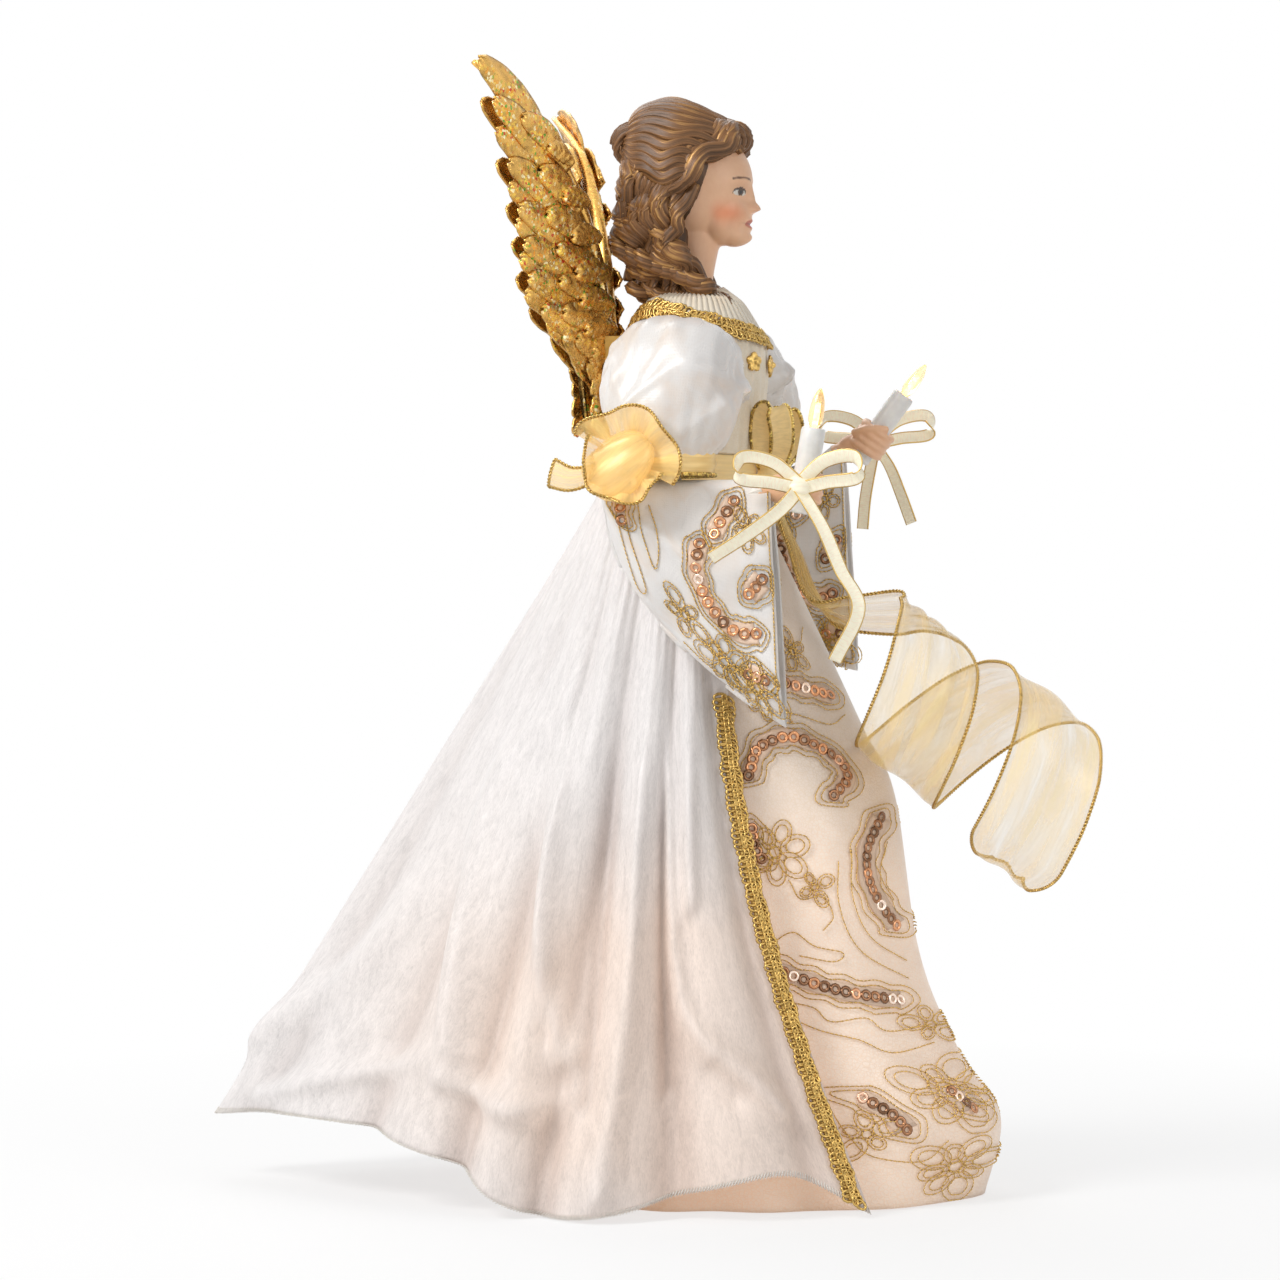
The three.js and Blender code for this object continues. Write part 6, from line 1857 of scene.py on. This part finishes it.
class ANGEL_OT_rosettes(bpy.types.Operator):
    """Poufs of wired organza at the elbows, each with a standing ruffle and a short tail."""

    bl_idname = "angel.rosettes"
    bl_label = "Elbow rosettes"

    def execute(self, context):
        for side in SIDES:
            turn, share = np.meshgrid(np.linspace(0, TURN, 120, endpoint=False), np.linspace(0.02, 0.98, 60))
            round_it = np.sin(share * math.pi) ** 0.7
            crumple = 0.95 + 0.13 * np.cos(2 * turn + 3 * share) + 0.07 * np.cos(5 * turn - 6 * share)
            along = 12.5 * np.cos(share * math.pi)
            aside = 9.5 * round_it * crumple * np.cos(turn)
            out = 5.5 * round_it * crumple * np.sin(turn)
            ahead, up = 14.5 + 0.77 * along + 0.64 * aside, 250.5 - 0.64 * along + 0.77 * aside
            pouf = np.stack([69 + out, ahead, up], -1)
            fan = ruffle((-25, 150), 18.5, 6.5)
            low = ruffle((140, 345), 13.5, 9.0)
            path = spline([(64.6, 20, 250), (66, 26, 247), (66.5, 32, 246), (66, 38, 248)], 50)
            tail = ribbon_grid(path, (0.25, 0.1, 1), np.linspace(4, 10, 50), 9, 0.3)
            pouf, fan, low, tail = (on_arm(outer, side) for outer in (pouf, fan, low, tail))
            parts = [shell_parts(pouf, 0.3, True, (0.06, 0.03))]
            parts += [shell_parts(outer, 0.3, False, (0.06, 0.02)) for outer in (fan, low, tail)]
            around = np.vstack([tail[:, 0], tail[-1], tail[::-1, -1]])
            lines = [line for rim in (fan[-1], low[-1], around) for line in twisted(rim, (1, 0.1, 0.2), 0.34, 2.6)]
            cloth = merged(side + "_rosette_organza", parts)
            dress(cloth, "rosette", side + "_arm_body", "gold_organza", side + "_rosette")
            wire = threads(side + "_rosette_wires", lines, size("wire"), finish("wire"))
            dress(wire, "wire", side + "_arm_body", "gold_ribbon")
        return {"FINISHED"}


# A candle's outside and bore, by (radius, height) from the middle of the hand
CANDLE = [(0.01, -9), (3.5, -9), (4.0, -8.6), (4.1, -8), (4.1, 4), (4.1, 18.8), (3.9, 19.7), (3.5, 20)]
CANDLE += [(3.1, 19.7), (3.0, 19), (3.0, 8), (3.0, -4.4), (0.01, -4.5)]
# Ribbon lines from the knot of a candle's bow, by (out, ahead, up)
BOW_LOOP = [(0, 0, 0.7), (3, 9, 8), (4.5, 19, 9), (4, 20, 3), (2, 9, 1), (0, 0, -1)]
BOW_TAILS = {
    "right": [
        [(0.5, 0, -1), (3, -6, -8), (5, -18, -17), (5, -29, -24)],
        [(0.5, 0, -1), (3, 8, -14), (3, 14, -28), (4, 20, -40), (3, 12, -58)],
    ],
    "left": [
        [(0.5, 0, -1), (3, -2, -10), (4, -4, -21), (4, -5, -32)],
        [(0.5, 0, -1), (3, 5, -9), (4, 9, -19), (4, 13, -30)],
    ],
}


class ANGEL_OT_candles(bpy.types.Operator):
    """Hands, candles, flame lamps and ribbon bows."""

    bl_idname = "angel.candles"
    bl_label = "Hands and candles"

    def execute(self, context):
        for side in SIDES:
            self.hand(side)
            self.candle(side)
            self.flame(side)
            self.bow(side)
        return {"FINISHED"}

    def hand(self, side):
        """A painted fist: palm, four fingers and a thumb closed round the candle."""
        x, y, z = WRISTS[side]
        parts = [
            ellipsoid_parts((x, y - 5.4, z + 0.5), (4.0, 6.2, 4.9)),
            tube_parts([(x, y + 2, z), (x, y - 2, z + 0.2), (x, y - 5, z + 0.4)], 3.7, 16),
        ]
        grip = candle_matrix(side)
        turn = np.radians(np.linspace(60, 330, 22))
        for k in range(4):
            level = -3.9 + 2.6 * k
            path = np.stack([5.7 * np.cos(turn), 5.7 * np.sin(turn), level + 0.5 * np.cos(turn)], -1)
            parts.append(moved(tube_parts(path, np.linspace(1.45, 1.2, 22), 10, (0, 0, 1)), grip))
        thumb = [(-3.0, 6.5, -2), (-5.4, 3.6, 1.5), (-5.9, 0.2, 4.4), (-4.4, -3.2, 6.4)]
        parts.append(moved(tube_parts(spline(thumb, 16), np.linspace(1.7, 1.3, 16), 10, (0, 0, 1)), grip))
        parts = [moved(part, arm_matrix(side)) for part in parts]
        hand = sculpted(side + "_hand_painted", parts, 0.42, 4)
        attribute(hand, "paint", np.tile(tint("skin"), (len(hand.data.vertices), 1)))
        dress(hand, "skin", side + "_arm_body", "painted_skin", side + "_hand")

    def candle(self, side):
        frame_of = arm_matrix(side) @ candle_matrix(side)
        candle = mesh_piece(side + "_candle_wax", *moved(turned_parts(CANDLE, 40), frame_of), flip=False)
        dress(candle, "wax", side + "_arm_body", "candle_white", side + "_candle")

    def flame(self, side):
        frame_of = arm_matrix(side) @ candle_matrix(side)
        length, radius = 13.5, 2.5
        line = spline([(0.55, 0), (1, 0.25), (0.85, 0.65), (0.35, 0.92), (0.02, 1.0)], 26)
        profile = [(0.02, -5.5), (1.3, -5.5), (1.3, 0)] + [(radius * r, length * z) for r, z in line]
        glass = turned_parts([(r, z + 20) for r, z in profile], 36)
        bulb = mesh_piece(side + "_flame_glass", *moved(glass, frame_of), flip=False)
        dress(bulb, "glass", side + "_flame_body", "lamp_glass", side + "_flame_lamp")
        post = [(-0.5, 0, 20.5), (-0.7, 0, 24), (-0.5, 0, 26), (0, 0, 28)]
        post += [(0.5, 0, 26), (0.7, 0, 24), (0.5, 0, 20.5)]
        thread = tube_parts(spline(post, 40), 0.6, 8, (0, 1, 0))
        wick = mesh_piece(side + "_flame_filament", *moved(thread, frame_of), flip=False)
        dress(wick, "filament", side + "_flame_body", "lamp_glass")

    def bow(self, side):
        x, y, z = WRISTS[side]
        knot = on_arm((x + 10.1, y - HAND_REACH, z + 1), side)
        s = SIDES[side]
        parts = [crumpled_knot(knot, (2.6, 3.6, 3.6))]
        routes = [(BOW_LOOP, way, (s / 2, 0, 1)) for way in (1, -1)]
        routes += [(tail, 1, (s / 2, 1, 0.2)) for tail in BOW_TAILS[side]]
        for route, way, across in routes:
            path = even(spline([knot + (s * out, -way * ahead, up) for out, ahead, up in route], 120), 0.6)
            outer = ribbon_grid(path, across, size("ribbon"), 7, 0.16)
            parts.append(shell_parts(outer, 0.4, False, (1, len(path) * 0.12)))
        bow = merged(side + "_candle_ribbon", parts)
        dress(bow, "ivory", side + "_arm_body", "ivory_ribbon", side + "_candle_bow")


NECK_LINE = [(0, 2, 304), (0, 2, 312), (0, 1, 322), (0, 0, 334)]
NECK_RADII = [9, 8.4, 7.9, 7.7, 7.6, 7.6, 7.6, 7.6, 7.6, 7.7, 7.8, 8, 8.3, 8.6, 9, 9.4]


class ANGEL_OT_head(bpy.types.Operator):
    """Painted doll's head."""

    bl_idname = "angel.head"
    bl_label = "Head"

    def execute(self, context):
        parts = [
            ellipsoid_parts((0, 0, HEAD_MIDDLE), (16.3, 18.8, 21.3), 48, 30),
            ellipsoid_parts((0, -9.3, 341.25), (11.2, 9.2, 11.2), 40, 24),
            ellipsoid_parts((0, -11.6, 340.2), (8.6, 8.4, 7.5), 32, 20),
            ellipsoid_parts((0, -13.6, 334.6), (6.0, 6.4, 5.0), 32, 20),
            tube_parts(spline(NECK_LINE, len(NECK_RADII)), NECK_RADII, 32, (1, 0, 0)),
        ]
        head = sculpted("head_painted", parts, 0.42, 14)
        p = places(head)
        q = p + face_push(p)
        head.data.vertices.foreach_set("co", (q * MM).astype(np.float32).ravel())
        head.data.update()
        attribute(head, "paint", face_paint(q))
        dress(head, "skin", "figure", "painted_skin", "head")
        return {"FINISHED"}


def bump_at(x, z, at, spread):
    return np.exp(-(((x - at[0]) / spread[0]) ** 2) - ((z - at[1]) / spread[1]) ** 2)


def face_push(p):
    """How far each point of the face moves: brow, eyes, nose, cheeks, lips and chin."""
    x, y, z = np.abs(p[:, 0]), p[:, 1], p[:, 2] - HEAD_MIDDLE
    front = smooth(-4, -11, y)
    f = 1.6 * bump_at(x, z, (0, 3), (11, 10))
    f -= 1.6 * bump_at(x, z, (6.4, -4.0), (3.2, 2.2))
    f += 1.1 * bump_at(x, z, (6.4, -4.2), (2.4, 1.5))
    f += 0.5 * bump_at(x, z, (6.0, 0.6), (4.5, 1.4))
    bridge = smooth(0.5, -9.0, z) * smooth(-11.0, -9.4, z)
    f += 3.5 * bridge * np.exp(-((x / (1.3 + 0.7 * smooth(-2, -9, z))) ** 2))
    f += 0.9 * bump_at(x, z, (2.0, -9.8), (1.0, 1.0))
    f += 0.8 * bump_at(x, z, (8.6, -9.5), (4.0, 4.0))
    f += 0.55 * bump_at(x, z, (0, -13.4), (2.9, 0.8)) + 0.6 * bump_at(x, z, (0, -15.8), (2.4, 0.9))
    f -= 0.25 * bump_at(x, z, (0, -14.6), (3.2, 0.5))
    f -= 0.6 * bump_at(x, z, (0, -17.6), (4.0, 0.9))
    f += 0.9 * bump_at(x, z, (0, -20.0), (3.6, 2.0))
    return np.stack([0 * f, -f * front, 0 * f], -1)


def face_paint(p):
    """The painted colours of the head."""
    x, y, z = np.abs(p[:, 0]), p[:, 1], p[:, 2] - HEAD_MIDDLE
    front = smooth(-6, -10, y)[:, None]
    skin = np.array(tint("skin"))
    colour = np.tile(skin, (len(p), 1))

    def brush(mask, tone):
        nonlocal colour
        colour = colour + (np.array(tone) - colour) * (np.clip(mask, 0, 1)[:, None] * front)

    brush(0.75 * bump_at(x, z, (10.2, -11.6), (4.6, 3.6)), (0.84, 0.27, 0.12))
    # painted shade under the nose: a darker, warmer tone round the nostrils
    brush(0.25 * bump_at(x, z, (0, -9.6), (2.6, 1.6)), (0.80, 0.38, 0.24))
    brush(0.4 * bump_at(x, z, (6.4, -2.4), (3.6, 1.6)), (0.55, 0.27, 0.15))
    lids = np.abs(x - 6.4)
    open_top = 1.5 * np.sqrt(np.clip(1 - (lids / 3.0) ** 2, 0, 1))
    eye = (lids < 3.0) & (z + 4.2 < open_top) & (z + 4.2 > -0.7 * open_top)
    brush(eye * 1.0, (0.80, 0.76, 0.70))
    ring = np.hypot(x - 6.2, z + 3.9)
    brush(eye & (ring < 1.4), (0.09, 0.045, 0.02))
    brush(eye & (ring < 0.7), (0.01, 0.01, 0.01))
    lash = np.abs(z + 4.2 - open_top) < 0.4
    brush((lids < 3.2) & lash & (z > -4.9), (0.05, 0.025, 0.015))
    arch = 0.1 + 0.9 * np.cos((x - 6.5) / 3.2)
    brush(smooth(0.5, 0.2, np.abs(z - arch)) * (x > 2.8) * (x < 10.6), (0.14, 0.065, 0.03))
    lip = smooth(1.0, 0.4, np.abs(z + 14.6) - 1.0 * np.clip(1 - (x / 3.6) ** 2, 0, 1)) * (x < 3.7)
    brush(lip * 0.85, (0.55, 0.11, 0.07))
    brush(bump_at(x, z, (0, -14.6), (3.4, 0.26)), (0.24, 0.04, 0.03))
    return colour


# Lines of the outermost locks of a side, from the crown down, and the form of a lock
FRONT_LOCK = [(1.5, -12, 372), (8, -15.5, 369.5), (14.5, -11.5, 363.5), (18.4, -3, 357)]
FRONT_LOCK += [(19.6, 5, 348), (18, 9, 338), (16, 4, 327), (12.5, -7, 316)]
BACK_LOCK = [(0.6, 6, 377), (6, 14, 375), (10.5, 18.5, 366), (13, 21.5, 354)]
BACK_LOCK += [(13.5, 23, 342), (12, 22, 331), (9.5, 18.5, 322), (7, 13, 315)]
UNDER_LOCK = [(17, -3, 350), (19, 2, 343), (19, 5, 334), (17.5, 4, 326)]
UNDER_LOCK += [(15.5, -1, 319), (13.5, -7, 313), (11.5, -11, 310), (9.5, -10, 309)]
LOCK_SIDES, LOCK_LOBES, LOCK_GROOVE, LOCK_FLAT = 24, 7, 0.11, 0.85


class ANGEL_OT_hair(bpy.types.Operator):
    """Sculpted hair: waved locks over a cap, with a rolled bun and a forelock."""

    bl_idname = "angel.hair"
    bl_label = "Hair"

    def execute(self, context):
        chance = np.random.default_rng(5)
        parts, raised = [], []

        def add(path, radius, crest, twist=1.0):
            form = {"lobes": LOCK_LOBES, "groove": LOCK_GROOVE, "twist": twist, "flat": LOCK_FLAT}
            parts.append(tube_parts(path, radius, LOCK_SIDES, **form))
            turn = np.linspace(0, TURN, LOCK_SIDES, endpoint=False)
            wave = np.cos(LOCK_LOBES * turn[None, :] + twist * TURN * np.linspace(0, 1, len(path))[:, None])
            # painted shade in the grooves between strands and painted highlight on the wave crests, where the lock
            # bulges out
            level = 0.36 + 0.2 * wave + 0.34 * np.asarray(crest)[:, None] ** 3
            end = np.full(LOCK_SIDES, 0.3)
            raised.append(np.concatenate([end, level.ravel(), end]))

        for under in (
            ellipsoid_parts((0, 4.2, 354.6), (18.6, 18.6, 22.4), 40, 26),
            ellipsoid_parts((0, 10, 334), (15, 11.5, 16), 32, 20),
        ):
            parts.append(under)
            # painted shade: the cap under the locks gets a low value, so it is painted dark
            raised.append(np.full(len(under[0]), 0.15))
        for side in (-1, 1):
            for k in range(14):
                share = k / 13
                route = mix(np.array(FRONT_LOCK, float), np.array(BACK_LOCK, float), share)
                self.lock(add, route, side, chance, 3.2, 2.0)
            for k in range(9):
                share = k / 8
                route = mix(np.array(UNDER_LOCK, float), np.array(BACK_LOCK, float) + (0, 1.0, -6), share**1.2)
                self.lock(add, route, side, chance, 2.9, 2.3)
            for k in range(11):
                self.sweep(add, side, math.radians(4 + 8.4 * k), chance)
            self.curl(add, side)
        for k in range(5):
            share = np.linspace(0, 1, 48)
            turn = share * 2.4 * TURN + k * 1.25
            r = 6.6 - 3.6 * share
            x = mix(-9, 9, (k + 0.5) / 5) + 1.4 * np.sin(turn * 0.5)
            path = np.stack([x + 0 * turn, 21.0 + r * np.cos(turn), 365.5 + r * np.sin(turn)], -1)
            add(path, 2.6 * np.sin(math.pi * (0.1 + 0.85 * share)) ** 0.4, 0.5 - 0.5 * np.cos(turn))
        hair = merged("hair_locks", parts)
        attribute(hair, "raised", np.clip(np.concatenate(raised), 0, 1))
        dress(hair, "hair", "figure", "painted_hair", "hair")
        return {"FINISHED"}

    @staticmethod
    def lock(add, route, side, chance, radius, wave):
        """One waved lock, which ends in a loose ringlet."""
        route = route + chance.normal(0, 0.45, route.shape)
        path = spline(route, 52)
        share = np.linspace(0, 1, 52)
        out = unit((path - np.array((0, 4, 348))) * (1, 1, 0.5))
        flat = np.cross(tangents(path), out)
        turn = share * 4.6 * TURN + chance.uniform(-0.6, 0.6)
        swing = wave * smooth(0.04, 0.3, share)
        lift = (0.35 + 0.65 * smooth(0.45, 0.75, share)) * swing
        path = path + flat * (swing * np.sin(turn))[:, None] + out * (lift * np.cos(turn))[:, None]
        path[:, 0] *= side
        width = radius * np.clip(np.sin(math.pi * (0.12 + 0.82 * share)), 0, 1) ** 0.45
        add(path, width, 0.5 + 0.5 * np.cos(turn), twist=chance.uniform(0.3, 0.9))

    @staticmethod
    def sweep(add, side, lean, chance):
        """One strand combed from the hairline over the crown; lean runs from the parting to the ear."""
        start = mix(-62, -8, smooth(0.45, 1.4, lean))
        turn = np.radians(np.linspace(start, 66, 40))
        share = np.linspace(0, 1, 40)
        ripple = 0.9 * np.sin(share * 2.3 * TURN + 2.5 * lean + chance.uniform(-0.4, 0.4))
        tilt = lean + 0.05 * ripple
        reach = np.cos(turn)
        path = np.stack(
            [
                side * 20.4 * np.sin(tilt) * reach,
                2.5 + 22.6 * np.sin(turn),
                352 + (24.6 + 0.5 * ripple) * np.cos(tilt) * reach + 9 * smooth(0.3, 1, share),
            ],
            -1,
        )
        width = 2.9 * np.clip(np.sin(math.pi * (0.1 + 0.84 * share)), 0, 1) ** 0.4
        add(path, width, 0.5 + 0.4 * ripple, twist=0.4)

    @staticmethod
    def curl(add, side):
        """The rolled forelock over the brow."""
        share = np.linspace(0, 1, 36)
        for start, reach in ((2.0, 0.0), (5.2, 1.2), (8.5, 2.6)):
            turn = mix(-0.4, 1.35, share) * TURN
            r = mix(5.2, 1.4, share)
            ahead, up = reach - 14.6 - r * np.sin(turn), 367.2 - reach * 0.4 + r * np.cos(turn)
            path = np.stack([side * (start + 1.2 * share), ahead, up], -1)
            add(path, 2.2 * np.sin(math.pi * (0.15 + 0.75 * share)) ** 0.5, 0.5 + 0.5 * np.cos(turn))


class ANGEL_OT_wings(bpy.types.Operator):
    """Moulded gold wings of layered feathers."""

    bl_idname = "angel.wings"
    bl_label = "Wings"

    def execute(self, context):
        for side in SIDES:
            parts, raised = [], []
            chance = np.random.default_rng(9)

            def add(part, high):
                parts.append(part)
                raised.append(high)

            def covert(base, tip, width, lift, high):
                turn = chance.uniform(-2.6, 2.6, 2)
                part = tip + turn * (0.5 if high < 0.07 else 0.8)
                self.feather(add, base + turn[::-1] * 0.4, part, width * chance.uniform(0.8, 1.15), lift, high)

            edge = spline(WING_EDGE, 60)
            rib = np.concatenate([edge, np.full((60, 1), 1.5)], 1)
            add(tube_parts(rib, np.linspace(3.0, 1.0, 60), 12, (0, 0, 1), 4, 0.1, 6), np.full(62 * 12, 0.8))
            bases, tips = np.array(FEATHER_ROOTS, float), np.array(FEATHER_TIPS, float)
            for k, (base, tip) in enumerate(zip(bases, tips)):
                self.feather(add, base, tip, 13, 1.5, 0.0)
                if k + 1 < len(bases):
                    root = mix(base, bases[k + 1], 0.5)
                    end = mix(root, mix(tip, tips[k + 1], 0.5), 0.95)
                    for lift in (0.4, 2.6):
                        self.feather(add, root, end, 12, lift, 0.02)
                near = edge_near(edge, base)
                for lift in (-0.9, 3.9):
                    covert(mix(base, near, 0.6), mix(base, tip, 0.5), 10, lift, 0.05)
                for lift in (-1.7, 4.7):
                    covert(near, mix(base, tip, 0.18), 8, lift, 0.08)
            for v in (-28, -21, -14, -7, 0, 7):
                for lift in (-1.2, 4.2):
                    self.feather(add, (1, v + 6), (10.5, v - 4 if v > -26 else v - 3), 7, lift, 0.06)
            plate = [[(out, up, level) for out, up in WING_PLATE] for level in (0.6, 2.6)]
            add(ring_parts(np.array(plate, float)), np.full(4 * len(WING_PLATE), 0.1))
            wing = merged(side + "_wing_gold", [self.place(part, side) for part in parts])
            attribute(wing, "raised", np.clip(np.concatenate(raised), 0, 1))
            normal = np.zeros(len(wing.data.vertices) * 3, np.float32)
            wing.data.vertices.foreach_get("normal", normal)
            ahead = np.array((math.sin(WING_SWEEP) * SIDES[side], -math.cos(WING_SWEEP), 0))
            front = normal.reshape(-1, 3) @ ahead
            attribute(wing, "glitter", smooth(-0.2, 0.5, front))
            dress(wing, "wing", "figure", "wing_gold", side + "_wing")
        return {"FINISHED"}

    @staticmethod
    def feather(add, base, tip, width, lift, high):
        """One feather: a curved blade with a raised quill, fine barbs and a rounded tip."""
        base, tip = np.asarray(base, float), np.asarray(tip, float)
        t, s = np.meshgrid(np.linspace(0, 1, 24), np.linspace(-1, 1, 9), indexing="ij")
        ahead = unit(tip - base)
        side = np.array((ahead[1], -ahead[0]))
        half = width / 2 * (0.55 + 0.45 * smooth(0, 0.5, t)) * np.sqrt(np.clip(1 - t**5, 0.004, 1))
        bend = -0.08 * np.linalg.norm(tip - base) * np.sin(math.pi * t * 0.9)
        spot = base + (tip - base) * t[..., None] + side * (s * half + bend)[..., None]
        quill = 0.7 * np.exp(-((s / 0.18) ** 2)) * (1 - 0.8 * t)
        barb = 0.2 * np.cos(30 * t - 6 * np.abs(s))
        camber = 1.0 * (1 - s**2) + 0.7 * t
        relief = quill + barb + camber
        way = 1 if lift > 1.5 else -1
        front = np.concatenate([spot, (lift + way * (0.4 + 0.75 * relief))[..., None]], -1)
        part = shell_parts(front, 1.0 * way)
        level = 0.38 + 0.4 * (quill + barb) + 0.2 * (1 - s**2) + high
        add(part, np.concatenate([level.ravel(), level.ravel()]))

    @staticmethod
    def place(part, side):
        """From the wing's own plane to its place behind the shoulders."""
        p, q, uv = part
        out = np.array((math.cos(WING_SWEEP), math.sin(WING_SWEEP), 0))
        back = np.array((-math.sin(WING_SWEEP), math.cos(WING_SWEEP), 0))
        spot = np.array(WING_ROOT) + p[:, :1] * out + p[:, 1:2] * np.array((0, 0, 1.0)) + p[:, 2:] * back
        spot[:, 0] *= SIDES[side]
        if signed_volume(spot, q) < 0:
            q, uv = q[:, ::-1], uv[:, ::-1]
        return spot, q, uv


def edge_near(edge, spot):
    return edge[np.argmin(np.linalg.norm(edge - np.asarray(spot, float), axis=1))]


OPERATORS = (
    ANGEL_OT_stage,
    ANGEL_OT_stand,
    ANGEL_OT_overskirt,
    ANGEL_OT_gown,
    ANGEL_OT_bodice,
    ANGEL_OT_sash,
    ANGEL_OT_sleeves,
    ANGEL_OT_rosettes,
    ANGEL_OT_candles,
    ANGEL_OT_head,
    ANGEL_OT_hair,
    ANGEL_OT_wings,
)


class ANGEL_PT_panel(bpy.types.Panel):
    """Lists the angel's pieces in the sidebar."""

    bl_idname = "ANGEL_PT_panel"
    bl_label = "Angel Tree Topper"
    bl_space_type = "VIEW_3D"
    bl_region_type = "UI"
    bl_category = "Angel"

    def draw(self, context):
        for operator in OPERATORS:
            self.layout.operator(operator.bl_idname)
        for group in (context.scene.angel_sizes, context.scene.angel_colours):
            for name in group.__annotations__:
                self.layout.prop(group, name)


CLASSES = (AngelColours, AngelSizes, *OPERATORS, ANGEL_PT_panel)


def register():
    for item in CLASSES:
        bpy.utils.register_class(item)
    bpy.types.Scene.angel_colours = bpy.props.PointerProperty(type=AngelColours)
    bpy.types.Scene.angel_sizes = bpy.props.PointerProperty(type=AngelSizes)


def unregister():
    del bpy.types.Scene.angel_sizes
    del bpy.types.Scene.angel_colours
    for item in reversed(CLASSES):
        bpy.utils.unregister_class(item)


def main():
    register()
    for operator in OPERATORS:
        name = operator.bl_idname.split(".")[1]
        getattr(bpy.ops.angel, name)()


if __name__ == "__main__":
    main()
